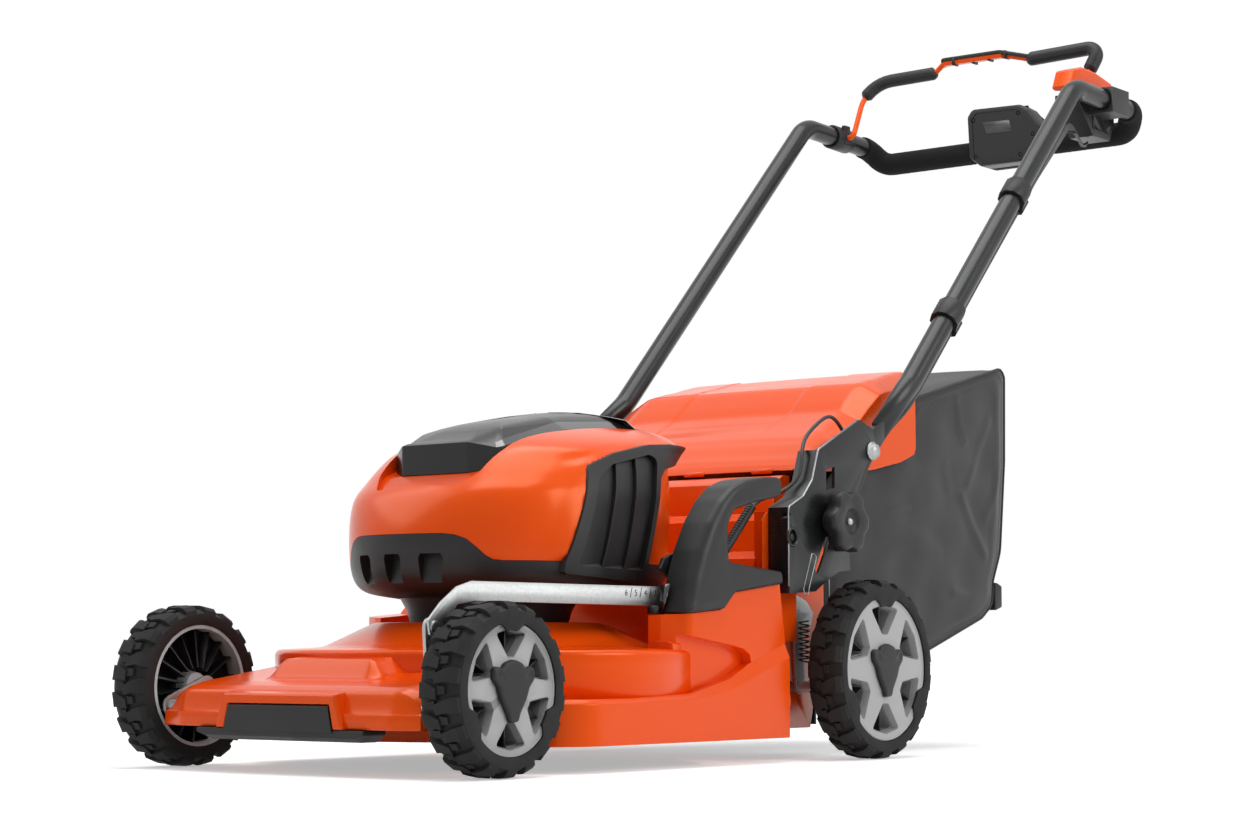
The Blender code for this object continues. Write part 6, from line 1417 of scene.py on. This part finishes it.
def knob(side_name, side):
    """The six-lobed knob with its finger scoops, a round recess and the bright end of its bolt."""
    lobes = 6
    sides = 120
    start = side * KNOB_FACE
    profile = [(0.0, 0.62), (0.0045, 0.64), (0.0068, 0.80), (0.0084, 0.96), (0.0110, 1.0), (0.0205, 1.0),
               (0.0238, 0.975), (0.0257, 0.93), (0.0264, 0.86), (0.0260, 0.44), (0.0252, 0.40),
               (0.0222, 0.36), (0.0210, 0.30), (0.0210, 0.06)]
    rings = []
    for along, share in profile:
        ring = []
        for i in range(sides):
            t = 2 * math.pi * i / sides + math.radians(12)
            wave = 0.5 + 0.5 * math.cos(lobes * t)
            dip = 0.17 * (1 - wave) ** 1.6 if share > 0.68 else 0.0
            r = KNOB_R * share * (1 - dip)
            ring.append((start + side * along, KNOB_Y + r * math.cos(t), KNOB_Z + r * math.sin(t)))
        rings.append(ring)
    body = solid("grip", loft(rings), NYLON)
    place(body, f"clamp_knob_{side_name}", "black_plastic", f"knob_{side_name}")
    shank = copied(f"knob_bolt_{side_name}", "shank", ZINC)
    end = solid("end", turned([(0, -0.004), (0.0046, -0.004), (0.0046, 0.0012), (0.0034, 0.0034),
                               (0, 0.0042)], (start + side * 0.0210, KNOB_Y, KNOB_Z), X * side, 32), ZINC)
    place(gathered(f"clamp_bolt_end_{side_name}", shank, end), f"clamp_bolt_{side_name}", "zinc",
          f"knob_bolt_{side_name}")


# Handle

def handle_line(steps):
    """The middle line of the handle tube, from its left foot round to its right foot."""
    down = Vector((0, KNEE_Y - PIVOT_Y, KNEE_Z - PIVOT_Z)).normalized() * 0.042
    left = [(HANDLE_HALF, PIVOT_Y + down.y, PIVOT_Z + down.z), (HANDLE_HALF, KNEE_Y, KNEE_Z),
            (HANDLE_HALF, HANDLE_TOP_Y, HANDLE_TOP_Z), (HANDLE_HALF, HANDLE_END_Y, HANDLE_END_Z),
            (HANDLE_BAR_HALF, HANDLE_BAR_Y, HANDLE_BAR_Z)]
    radii = [0, 0.120, 0.045, 0.026, 0.026]
    right = [(-x, y, z) for x, y, z in reversed(left)]
    return rounded(left + right, radii + radii[::-1], steps, closed=False)


def tube():
    """One bent tube, pressed flat towards each foot."""
    bm = pipe(handle_line(12), TUBE_R, 40)
    knee = Vector((0, KNEE_Y - PIVOT_Y, KNEE_Z - PIVOT_Z)).normalized()
    for vert in bm.verts:
        rel = Vector((0, vert.co.y - PIVOT_Y, vert.co.z - PIVOT_Z))
        along = rel.dot(knee)
        if along < 0.090 and vert.co.z < 0.45:
            press = ease(1 - unit((along - 0.042) / 0.048))
            side = 1 if vert.co.x > 0 else -1
            width = abs(vert.co.x) - HANDLE_HALF
            vert.co.x = side * (HANDLE_HALF + width * (1 - 0.62 * press) + 0.0076 * press)
            across = rel - knee * along
            vert.co.y += across.y * 0.12 * press
            vert.co.z += across.z * 0.12 * press
    body = solid("tube", bm, POWDER)
    tangs = copied("handle_tube", "tangs", POWDER)
    keep(tangs, merged(*[block((min(s * 0.2280, s * 0.2385), 0.5500, 0.2400),
                               (max(s * 0.2280, s * 0.2385), 0.7000, 0.4000)) for s in (1, -1)]))
    round_edges(tangs, 0.0012, 3, 30)
    place(gathered("handle_bar", body, tangs), "handle", "black_paint", "handle_tube")


def foam(side_name, side):
    """A foam sleeve over the crossbar and its corner, with rounded ends."""
    line = [Vector(p) for p in handle_line(12)]
    line = [p for p in line if p.x > 0 and p.y > FOAM_FRONT - 0.020]
    inner = BOX_LEFT + 0.0008 if side > 0 else -BOX_RIGHT + 0.0008
    line = [Vector((line[0].x, FOAM_FRONT, line[0].z))] + [p for p in line if p.y > FOAM_FRONT + 0.001]
    line += [Vector((inner, HANDLE_BAR_Y, HANDLE_BAR_Z))]
    length = run_length(line)
    distances = [0.0, 0.0006, 0.0016, 0.0030, 0.0050]
    stations = distances + [0.0050 + (length - 0.0100) * i / 60 for i in range(1, 60)] + \
        [length - d for d in reversed(distances)]
    grow = {0: -0.0022, 1: -0.0010, 2: -0.0003, 3: 0.0, 4: 0.0}
    route = at_stations(line, stations)
    radii = []
    for k in range(len(stations)):
        nearest = min(k, len(stations) - 1 - k)
        wave = 0.00012 * math.sin(k * 1.7) * math.sin(k * 0.37)
        radii.append(FOAM_R + 0.0012 + grow.get(nearest, 0.0) + wave)
    outer = sweep_rings(route, radii, 40)
    bore = sweep_rings(route, TUBE_R + 0.0002, 40)
    obj = solid(f"foam_sleeve_{side_name}", on_side(loft(outer + bore[::-1], closed=True), side), FOAM)
    place(obj, "handle", "foam", f"foam_grip_{side_name}")


def controls():
    """The control box, its sloping panel with two buttons, the blank label and the corner screws."""
    front = [(-0.0420, 0.9185), (-0.0340, 0.9295), (0.0470, 0.9270), (0.0610, 0.9185), (0.0830, 0.8900),
             (0.0830, 0.8620), (0.0490, 0.8415), (-0.0200, 0.8415), (-0.0390, 0.8560)]
    outline = rounded(front, [0.008, 0.010, 0.014, 0.014, 0.012, 0.012, 0.010, 0.010, 0.010], 5)
    middle = Vector((0.0150, 0.8850))
    rings = []
    for y, shrink in ((1.3762, 0.0042), (1.3765, 0.0026), (1.3780, 0.0008), (1.3810, 0.0), (1.4050, 0.0),
                      (1.4055, 0.0006), (1.4060, 0.0)):
        rings.append([(p[0] + (middle.x - p[0]) * shrink / 0.045, y, p[1] + (middle.y - p[1])
                       * shrink / 0.045) for p in outline])
    body = solid("box", loft(rings), POLYPROPYLENE)
    rear = [(x, 1.4050, z) for x, z in outline]
    join(body, loft([rear, [(x, 1.4230 - max(0.0, z - 0.8950), z) for x, _, z in rear]]))
    cut(body, disc((BOX_RIGHT - 0.010, HANDLE_BAR_Y, HANDLE_BAR_Z), X, TUBE_R + 0.0003, 0.15, 40))
    inset = [(p[0] + (middle.x - p[0]) * 0.16, p[1] + (middle.y - p[1]) * 0.16) for p in outline]
    cut(body, loft([[(x, 1.3700, z) for x, z in inset], [(x, 1.3771, z) for x, z in inset]]))
    screws = []
    for x, z in ((-0.0310, 0.9120), (0.0450, 0.9140), (-0.0270, 0.8560), (0.0480, 0.8520), (0.0690, 0.8800)):
        cut(body, disc((x, 1.3740, z), Y, 0.0034, 0.0075, 24))
        screws.append(solid("screw",
                            turned([(0, 0.0058), (0.0025, 0.0058), (0.0025, 0.0022), (0.0018, 0.0016),
                                    (0.0010, 0.0020), (0, 0.0030)], (x, 1.3750, z), Y, 20), NYLON))
    label = rounded([(-0.0150, 0.9070), (0.0300, 0.9055), (0.0350, 0.8882), (-0.0080, 0.8890)], 0.001, 2)
    label = solid("label", loft([[(x, 1.3765, z) for x, z in label], [(x, 1.3772, z) for x, z in label]]),
                  LABEL)
    finished("control_panel", "panel", ABS_SATIN, (0.0005, 2, 30), "handle", "black_plastic")
    for name in ("power", "drive"):
        finished(f"{name}_button", f"{name}_cap", WHEEL_SHADE, (0.0007, 3, 30), f"{name}_button_body",
                 "black_plastic")
    round_edges(body, 0.0006, 2, 35)
    place(gathered("control_housing", body, *screws, label), "handle", "black_plastic", "control_box")


def switch():
    """The switch box with its screwed side plate, and the orange start lever on top of it."""
    body = round_edges(copied("switch_box", "box", POLYPROPYLENE), 0.0045, 5, 35)
    y, z = BAIL_PIVOT_Y, BAIL_PIVOT_Z
    plate = rounded([(y - 0.0020, z - 0.0380), (y + 0.0440, z - 0.0410), (y + 0.0570, z - 0.0180),
                     (y + 0.0570, z + 0.0120), (y - 0.0020, z + 0.0050)], 0.005, 5)
    face = solid("plate", prism(plate, "x", SWITCH_OUTER - 0.0040, SWITCH_OUTER + 0.0012), POLYPROPYLENE)
    round_edges(face, 0.0008, 2, 30)
    screws = []
    for a, b in ((0.0030, -0.0330), (0.0400, -0.0360), (0.0520, 0.0060), (0.0030, 0.0000), (0.0530, -0.0170)):
        cut(face, disc((SWITCH_OUTER - 0.0020, y + a, z + b), X, 0.0030, 0.008, 20))
        screws.append(solid("screw",
                            turned([(0, -0.004), (0.0022, -0.004), (0.0022, 0.0002), (0.0012, 0.0006),
                                    (0, -0.0004)], (SWITCH_OUTER - 0.0010, y + a, z + b), X, 20), NYLON))
    place(gathered("switch_housing", body, face, *screws), "handle", "black_plastic", "switch_box")
    finished("start_lever", "lever", ABS_ORANGE, (0.0050, 5, 30), "start_lever_body", "orange_plastic")


def bail_line(steps):
    """The middle line of the bail, from its right pin over the top bar to its left pin."""
    rod_pin = SWITCH_INNER - 0.008
    far = -(HANDLE_HALF - TUBE_R - 0.0125)
    bar_y, bar_z, skew, arch_rise = 1.3450, 0.9830, 0.0480, 0.0130
    near_y = bar_y + skew
    points = [(far - 0.0090, BAIL_PIVOT_Y, BAIL_PIVOT_Z), (far, BAIL_PIVOT_Y, BAIL_PIVOT_Z),
              (far, bar_y, bar_z), (-0.0850, bar_y + skew * 0.30, bar_z + 0.005),
              (-0.0700, bar_y + skew * 0.35, bar_z + 0.006 + arch_rise),
              (0.0200, bar_y + skew * 0.60, bar_z + 0.008 + arch_rise),
              (0.0650, bar_y + skew * 0.70, bar_z + 0.009), (rod_pin + 0.015, near_y, bar_z + 0.015),
              (rod_pin + 0.002, near_y - 0.012, bar_z - 0.020), (rod_pin, BAIL_PIVOT_Y, BAIL_PIVOT_Z),
              (rod_pin + 0.0145, BAIL_PIVOT_Y, BAIL_PIVOT_Z)]
    radii = [0, 0.008, 0.046, 0.006, 0.006, 0.020, 0.020, 0.014, 0.014, 0.008, 0]
    return [Vector(p) for p in rounded(points, radii, steps, closed=False)]


def bail():
    """The orange rod of the bail, its two moulded grips and the raised strip with its ribs between them."""
    line = bail_line(8)
    core = solid("bail_rod", pipe(line, 0.0040, 20), ABS_ORANGE)
    middle = [p for p in line if -0.0780 < p.x < 0.0480 and p.z > 0.97]
    strip = solid("strip",
                  loft([[p + Vector((0, a, b)) for a,
                         b in rounded([(-0.0060, -0.0050), (0.0060, -0.0050), (0.0060, 0.0020),
                                       (-0.0060, 0.0020)], 0.0012, 2)] for p in middle]), ABS_ORANGE)
    place(gathered("bail_rod", core, strip), "bail", "orange_plastic", "bail_core")
    covers = []
    high = [p for p in line if p.z > 0.9530]
    right = [p for p in high if p.x < -0.0740]
    left = [p for p in high if p.x > 0.0440]
    for run, radius in ((right, 0.0098), (left, 0.0104)):
        length = run_length(run)
        stations = [length * k / 60 for k in range(61)]
        radii = []
        for station in stations:
            end = min(station, length - station)
            radii.append(radius * math.sqrt(max(0.30, 1 - max(0.0, 1 - end / 0.006) ** 2)))
        covers.append(solid("grip", pipe(at_stations(run, stations), radii, 32), NYLON))
    top = loft([[p + Vector((0, a, b)) for a, b in rounded(
        [(-0.0078, 0.0006), (0.0078, 0.0006), (0.0070, 0.0066), (-0.0070, 0.0066)], 0.0020, 3)]
        for p in line if -0.0790 < p.x < 0.0660 and p.z > 0.97])
    covers.append(solid("top", top, NYLON))
    for x in (-0.0520, -0.0250, 0.0020, 0.0290):
        spot = min(line, key=lambda p: abs(p.x - x) + (0 if p.z > 0.97 else 9))
        z = spot.z + (x - spot.x) * 0.02
        covers.append(solid("rib", block((x - 0.0016, spot.y - 0.0070, z - 0.0068),
                                         (x + 0.0016, spot.y + 0.0070, z + 0.0050)), NYLON))
    place(gathered("bail_covers", *covers), "bail", "black_plastic", "bail_cover")


def clamp():
    """The moulded clamp for the right bail pin: a collar, a round boss and the neck the rod goes into."""
    level = HANDLE_TOP_Z + (HANDLE_END_Z - HANDLE_TOP_Z) * (BAIL_PIVOT_Y - HANDLE_TOP_Y) / (HANDLE_END_Y
                                                                                            - HANDLE_TOP_Y)
    half = 0.0220
    reach = TUBE_R + 0.0040
    collar = turned([(TUBE_R + 0.0003, -half), (reach - 0.0012, -half), (reach, -half + 0.0015),
                     (reach, half - 0.0015), (reach - 0.0012, half), (TUBE_R + 0.0003, half)],
                    (-HANDLE_HALF, BAIL_PIVOT_Y, level), Vector((0, 1, -0.04)), 48, closed=True)
    boss = turned([(0.0040, 0.0130), (0.0118, 0.0130), (0.0125, 0.0138), (0.0125, 0.0158), (0.0110, 0.0170),
                   (0.0040, 0.0170)], (-HANDLE_HALF, BAIL_PIVOT_Y, BAIL_PIVOT_Z), X, 40, closed=True)
    bolt = disc((-HANDLE_HALF + 0.0130, BAIL_PIVOT_Y, BAIL_PIVOT_Z), X, 0.0040, 0.0022, 24)
    neck = block((-0.2140, BAIL_PIVOT_Y - 0.0080, BAIL_PIVOT_Z + 0.0080),
                 (-0.2072, BAIL_PIVOT_Y + 0.0080, BAIL_PIVOT_Z + 0.0190))
    parts = [solid("collar", collar, NYLON), solid("boss", boss, NYLON), solid("bolt", bolt, NYLON),
             round_edges(solid("neck", neck, NYLON), 0.0020, 3, 30)]
    place(gathered("bail_clamp_body", *parts), "handle", "black_plastic", "bail_clamp")
    for name in ("upper", "lower"):
        finished(f"cable_clip_{name}", f"clip_{name}", NYLON, (0.0012, 3, 40), "handle", "black_plastic")


height_handle()
for name, way in SIDES.items():
    bracket(name, way)
    pivot(name, way)
    knob(name, way)
    foam(name, way)
tube()
controls()
switch()
bail()
clamp()


# Flap

FLAP_TOP = [
    (0.5700, 0.3370, 0.1955), (0.5880, 0.3510, 0.1900), (0.6270, 0.3760, 0.1800), (0.6480, 0.3880, 0.1750),
    (0.6830, 0.4020, 0.1700), (0.7360, 0.4270, 0.1650), (0.7770, 0.4400, 0.1640), (0.8030, 0.4460, 0.1630),
    (0.8390, 0.4545, 0.1630), (0.8620, 0.4590, 0.1630),
]
FLAP_EDGE = [
    (0.5700, 0.3340), (0.5880, 0.3345), (0.6270, 0.3375), (0.6480, 0.3395), (0.6830, 0.3420),
    (0.7360, 0.3455), (0.7770, 0.3535), (0.8030, 0.3590), (0.8350, 0.3700), (0.8390, 0.3780),
]
FLAP_HALF = 0.1955
FLAP_FRONT, FLAP_BACK, FLAP_EDGE_BACK = 0.5700, 0.8620, 0.8390
FLAP_WALL = 0.0030
FLAP_PIN_Y, FLAP_PIN_Z, FLAP_PIN_R = 0.5680, 0.3365, 0.0030
PAD = [(0.0500, 0.7120), (0.0650, 0.7900), (0.0790, 0.8700)]
PAD_RISE = 0.0190
PAD_FRONT, PAD_RAMP = 0.7120, 0.0460


def table(rows, column, value):
    """A value read from a table between its rows, smoothly."""
    firsts = [row[0] for row in rows]
    k = max(0, min(len(rows) - 2, sum(1 for f in firsts if f <= value) - 1))
    a, b, c, d = (rows[max(0, min(len(rows) - 1, j))][column] for j in (k - 1, k, k + 1, k + 2))
    t = unit((value - firsts[k]) / (firsts[k + 1] - firsts[k]))
    return (2 * b + (c - a) * t + (2 * a - 5 * b + 4 * c - d) * t ** 2 + (3 * b - a - 3 * c + d) * t ** 3) / 2


def pad_height(x, y):
    """The raised middle of the flap: steep side walls and a ramp in front."""
    half = between(PAD, y)
    side = ease(unit((half - abs(x)) / 0.0070 + 0.5))
    return PAD_RISE * side * unit((y - PAD_FRONT) / PAD_RAMP)


def flap():
    """The moulded flap: a crowned top with creases, straight cheeks, a lip in front and a raised middle."""
    rows = []
    count = 70
    for j in range(count):
        s = j / (count - 1)
        y = FLAP_FRONT + (FLAP_BACK - FLAP_FRONT) * s
        z, crease = table(FLAP_TOP, 1, y), table(FLAP_TOP, 2, y)
        edge_y = FLAP_FRONT + (FLAP_EDGE_BACK - FLAP_FRONT) * s
        edge_z = table(FLAP_EDGE, 1, edge_y)
        shoulder = max(z - 0.62 * (FLAP_HALF - crease) - 0.0002, edge_z + 0.0012)
        across = [(-FLAP_HALF, edge_y, edge_z), (-FLAP_HALF, edge_y, shoulder), (-crease, y, z),
                  (crease, y, z), (FLAP_HALF, edge_y, shoulder), (FLAP_HALF, edge_y, edge_z)]
        soft = rounded(across, [0, min(0.005, (shoulder - edge_z) * 0.4), 0.022, 0.022,
                                min(0.005, (shoulder - edge_z) * 0.4), 0], 8, closed=False)
        row = []
        line = []
        for k, (a, b) in enumerate(zip(soft, soft[1:])):
            pieces = {9: 6, 18: 108, 27: 6}.get(k, 1)
            line += [Vector(a).lerp(Vector(b), i / pieces) for i in range(pieces)]
        for p in line + [Vector(soft[-1])]:
            lift = 0.0
            if p.z > shoulder - 0.001:
                lift = pad_height(p.x, p.y) + 0.0022 * (1 - (p.x / FLAP_HALF) ** 2)
                lift += 0.0016 * math.exp(-((p.y - 0.5790) / 0.0035) ** 2)
                fold = (p.y - 0.6480) / 0.0040 - abs(p.x - 0.02) * 30
                lift += 0.0012 / (1 + math.exp(min(60.0, -fold))) if abs(p.x) > 0.09 else 0.0
            row.append((p.x, p.y, p.z + lift))
        rows.append(row)
    rings = []
    for row in rows:
        inner = [(x * 0.985, y + 0.0006, z - FLAP_WALL if abs(x) < 0.190 else z) for x, y, z in row]
        rings.append(row + inner[::-1])
    body = round_edges(solid("flap_cover", loft(rings), ABS_ORANGE), 0.0008, 3, 50)
    knuckles = [solid("knuckle", disc((x - 0.014, FLAP_PIN_Y, FLAP_PIN_Z), X, FLAP_PIN_R, 0.028, 20),
                      ABS_ORANGE) for x in (-0.150, -0.050, 0.050, 0.150)]
    place(gathered("flap_cover", body, *knuckles), "flap", "orange_plastic", "rear_flap")


# Grass bag

BAG_HALF = 0.1900
BAG_MIDDLE = Vector((0.8600, 0.2900))
BAG_SIDE = [
    (0.6460, 0.1420), (0.6460, 0.3180), (0.7000, 0.3670), (0.7750, 0.4120), (0.8480, 0.4310),
    (0.8590, 0.4440), (1.0750, 0.5000), (1.0860, 0.4910), (1.0830, 0.3760), (1.0690, 0.2550),
    (1.0490, 0.2160), (1.0460, 0.1850), (1.0200, 0.1680), (0.8650, 0.1200), (0.7200, 0.1180),
]
CREASES = [
    [(0.955, 0.452), (0.961, 0.416), (0.973, 0.394), 0.0040, 0.0030],
    [(0.923, 0.362), (0.933, 0.332), 0.0060, 0.0020],
    [(0.962, 0.322), (0.986, 0.289), (1.018, 0.250), 0.0075, 0.0042],
    [(1.065, 0.370), (1.048, 0.333), (1.024, 0.300), 0.0050, 0.0034],
    [(0.856, 0.441), (0.916, 0.453), (0.995, 0.469), (1.062, 0.489), 0.0050, 0.0034],
    [(0.785, 0.301), (0.836, 0.304), 0.0030, 0.0012],
    [(1.035, 0.428), (1.003, 0.378), (0.976, 0.338), 0.0060, 0.0024],
    [(0.939, 0.199), (0.979, 0.191), (1.028, 0.202), 0.0080, 0.0028],
    [(0.760, 0.240), (0.840, 0.262), (0.900, 0.250), 0.0140, 0.0020],
    [(1.058, 0.470), (1.056, 0.380), (1.046, 0.300), (1.036, 0.225), 0.0045, 0.0026],
]


def crease_lift(y, z):
    """How far the cloth stands out at a point of the bag's side: a slack belly and the folds across it."""
    lift = 0.0
    for *line, width, height in CREASES:
        near = 1.0
        for a, b in zip(line, line[1:]):
            a, b, p = Vector(a), Vector(b), Vector((y, z))
            along = b - a
            t = unit((p - a).dot(along) / along.length_squared)
            near = min(near, (p - a - along * t).length)
        lift += 0.6 * height * math.exp(-(near / width) ** 2)
    lift += 0.0010 * math.sin(y * 61 + z * 23) * math.sin(z * 47 - y * 19)
    return lift


def bag():
    """The sewn bag: two side panels, a gusset all round, folds, an open front and bound edges."""
    outline = rounded([(y, z) for y, z in BAG_SIDE], [0.003, 0.010, 0.02, 0.03, 0.006, 0.006, 0.012, 0.010,
                                                      0.05, 0.05, 0.02, 0.02, 0.02, 0.04, 0.02], 6)
    edge = even_line(outline + outline[:1], 201)[:-1]
    middle = BAG_MIDDLE
    shares = [0.02 + 0.98 * (i / 34) for i in range(35)]

    def side_rings(way):
        """The rings of one side panel, from its middle out to its edge."""
        made = []
        for share in shares:
            ring = []
            for p in edge:
                q = middle + (p - middle) * share
                soft = max(0.0, 1 - ((1 - share) * 9) ** 2) if share > 0.9 else 0.0
                belly = 0.0014 * (1 - share ** 2)
                x = BAG_HALF - 0.0035 - 0.0050 * soft ** 2 + (crease_lift(q.x, q.y) * (1 - soft) + belly)
                ring.append((way * x, q.x, q.y))
            made.append(ring)
        return made

    rings = side_rings(1)
    for i in range(1, 30):
        t = i / 30
        x = (BAG_HALF - 0.0085) * (1 - 2 * t)
        ring = []
        for p in edge:
            out = (p - middle).normalized()
            bulge = 0.0022 * math.sin(math.pi * t) + 0.0008 * math.sin(9 * t + p.x * 40)
            bulge += 0.0012 if 0.04 < t < 0.96 else 0.0
            if p.x < 0.650:
                bulge = 0.0
            ring.append((x, p.x + out.x * bulge, p.y + out.y * bulge))
        rings.append(ring)
    rings += side_rings(-1)[::-1]
    cover = solid("bag_cloth", loft(rings), CLOTH)
    wall = 0.0030
    inner = [middle + (p - middle) * (1 - wall / (p - middle).length * 1.4) for p in edge]
    inside = loft([[(x, p.x, p.y) for p in inner] for x in (wall * 2 + 0.006 - BAG_HALF,
                                                            BAG_HALF - wall * 2 - 0.006)])
    cut(cover, inside, block((-0.1780, 0.6300, 0.1500), (0.1780, 0.6600, 0.3060)))
    place(cover, "bag", "bag_fabric", "grass_bag")
    for side_name, side in SIDES.items():
        route = [Vector((side * (BAG_HALF - 0.0080), p.x, p.y))
                 + Vector((0, *((p - middle).normalized() * 0.0006))) for p in edge]
        rows = sweep_rings(route + route[:2], 0.0015, 8)[:-2]
        seam = solid(f"bag_binding_{side_name}", loft(rows, closed=True), BINDING)
        place(seam, "bag", "bag_fabric")
        start, end = Vector((0.8640, 0.4420)), Vector((1.0700, 0.4955))
        run = end - start
        count = 52
        stitch = rod((0, -run.x * 0.3 / count, -run.y * 0.3 / count),
                     (0, run.x * 0.3 / count, run.y * 0.3 / count), 0.00045, 6)
        line = repeated(stitch, BINDING, count, (0, run.x / count, run.y / count),
                        name=f"stitches_{side_name}")
        shift = Vector((side * (BAG_HALF - 0.0015), start.x, start.y - 0.0075))
        line.data.transform(Matrix.Translation(shift))
        place(line, "bag", "bag_fabric")
    place(smoothed(copied("bag_frame", "bag_wire", ZINC)), "bag", "zinc", "bag_frame")
    finished("bag_handle", "bag_grip", NYLON, (0.0030, 4, 30), "bag", "black_plastic")


# Linkage, wires and what lies under the hood

def scale_marks():
    """The numbers and slashes screened on the height bar."""
    marks = []
    face, first, pitch, level = 0.1951, 0.2492, 0.00845, 0.1872
    for k, sign in enumerate("6/5/4/3/2/"):
        text = bpy.data.curves.new("mark", "FONT")
        text.body = sign
        text.size = 0.0098 if sign != "/" else 0.0150
        text.extrude = 0.00008
        text.align_x = "CENTER"
        text.align_y = "CENTER"
        holder = bpy.data.objects.new("mark", text)
        bpy.context.scene.collection.objects.link(holder)
        bpy.context.view_layer.update()
        mesh = bpy.data.meshes.new_from_object(holder.evaluated_get(bpy.context.evaluated_depsgraph_get()))
        bpy.data.objects.remove(holder, do_unlink=True)
        bpy.data.curves.remove(text)
        turn = Matrix(((0, 0, 1), (1, 0, 0), (0, 1, 0))).to_4x4()
        mesh.transform(Matrix.Translation((face, first + pitch * k, level)) @ turn)
        mesh.materials.clear()
        mesh.materials.append(INK)
        mark = bpy.data.objects.new("mark", mesh)
        bpy.context.scene.collection.objects.link(mark)
        marks.append(mark)
    return marks


def linkage():
    """The height bar with its scale, the two cranked axles, the latch and the spring."""
    bar = round_edges(copied("height_bar", "height_bar_plate", ZINC), 0.0006, 2, 40)
    head = solid("bolt_head",
                 turned([(0, 0), (0.0062, 0), (0.0062, 0.0008), (0.0052, 0.0014), (0.0022, 0.0015),
                         (0, 0.0010)], (0.1950, -0.0560, 0.1490), X, 32), STEEL)
    place(gathered("height_scale_bar", bar, head, *scale_marks()), "height_bar_body", "zinc", "height_bar")
    for end in ENDS:
        finished(f"{end}_axle", f"{end}_crank", ZINC, (0.0012, 3, 34), f"{end}_axle_body", "zinc")
    finished("height_latch", "latch_plate", POWDER, (0.0008, 2, 34), "latch", "zinc")
    path = []
    turns, steps = 8, 20
    spring_x, spring_y, coil_r = 0.2160, 0.5570, 0.0062
    low, high = 0.1106, 0.1594
    for i in range(turns * steps + 1):
        turn = 2 * math.pi * i / steps
        path.append((spring_x + coil_r * math.cos(turn), spring_y + coil_r * math.sin(turn),
                     low + (high - low) * i / (turns * steps)))
    spring = solid("spring_wire", pipe(path, 0.0010, 10), SPRING_STEEL)
    place(spring, "machine", "steel", "assist_spring")


def wires():
    """The ribbed sleeve on the cable in front of the left bracket, and smoother cables."""
    low, high = Vector((0.1995, 0.4120, 0.2270)), Vector((0.1995, 0.4750, 0.2890))
    route, radii = [], []
    ribs = 22
    for i in range(ribs * 4 + 1):
        route.append(low.lerp(high, i / (ribs * 4)))
        radii.append(0.0058 if i % 4 in (0, 1) else 0.0047)
    place(solid("ribbed_sleeve", pipe(route, radii, 24), SHEATH), "machine", "cable_sheath", "cable_sleeve")
    for name, body in (("body_cable", "machine"), ("handle_cable", "handle")):
        place(smoothed(copied(name, f"{name}_sheath", SHEATH)), body, "cable_sheath", name)


def power():
    """The battery, the motor and the blade with their moulded and machined edges."""
    for node, body, slot, finish_used, width in (("battery", "machine", "black_plastic", POLYPROPYLENE,
                                                  0.0030), ("motor", "machine", "motor_alloy", STEEL,
                                                            0.0012), ("motor_shaft", "blade_body", "steel",
                                                                      STEEL, 0.0006),
                                                 ("blade", "blade_body", "black_paint", POWDER, 0.0004),
                                                 ("blade_bolt", "blade_body", "zinc", ZINC, 0.0006),
                                                 ("rear_guard", "guard", "black_plastic", NYLON, 0.0010)):
        finished(node, f"{node}_finished", finish_used, (width, 3, 40), body, slot)


flap()
bag()
linkage()
wires()
power()
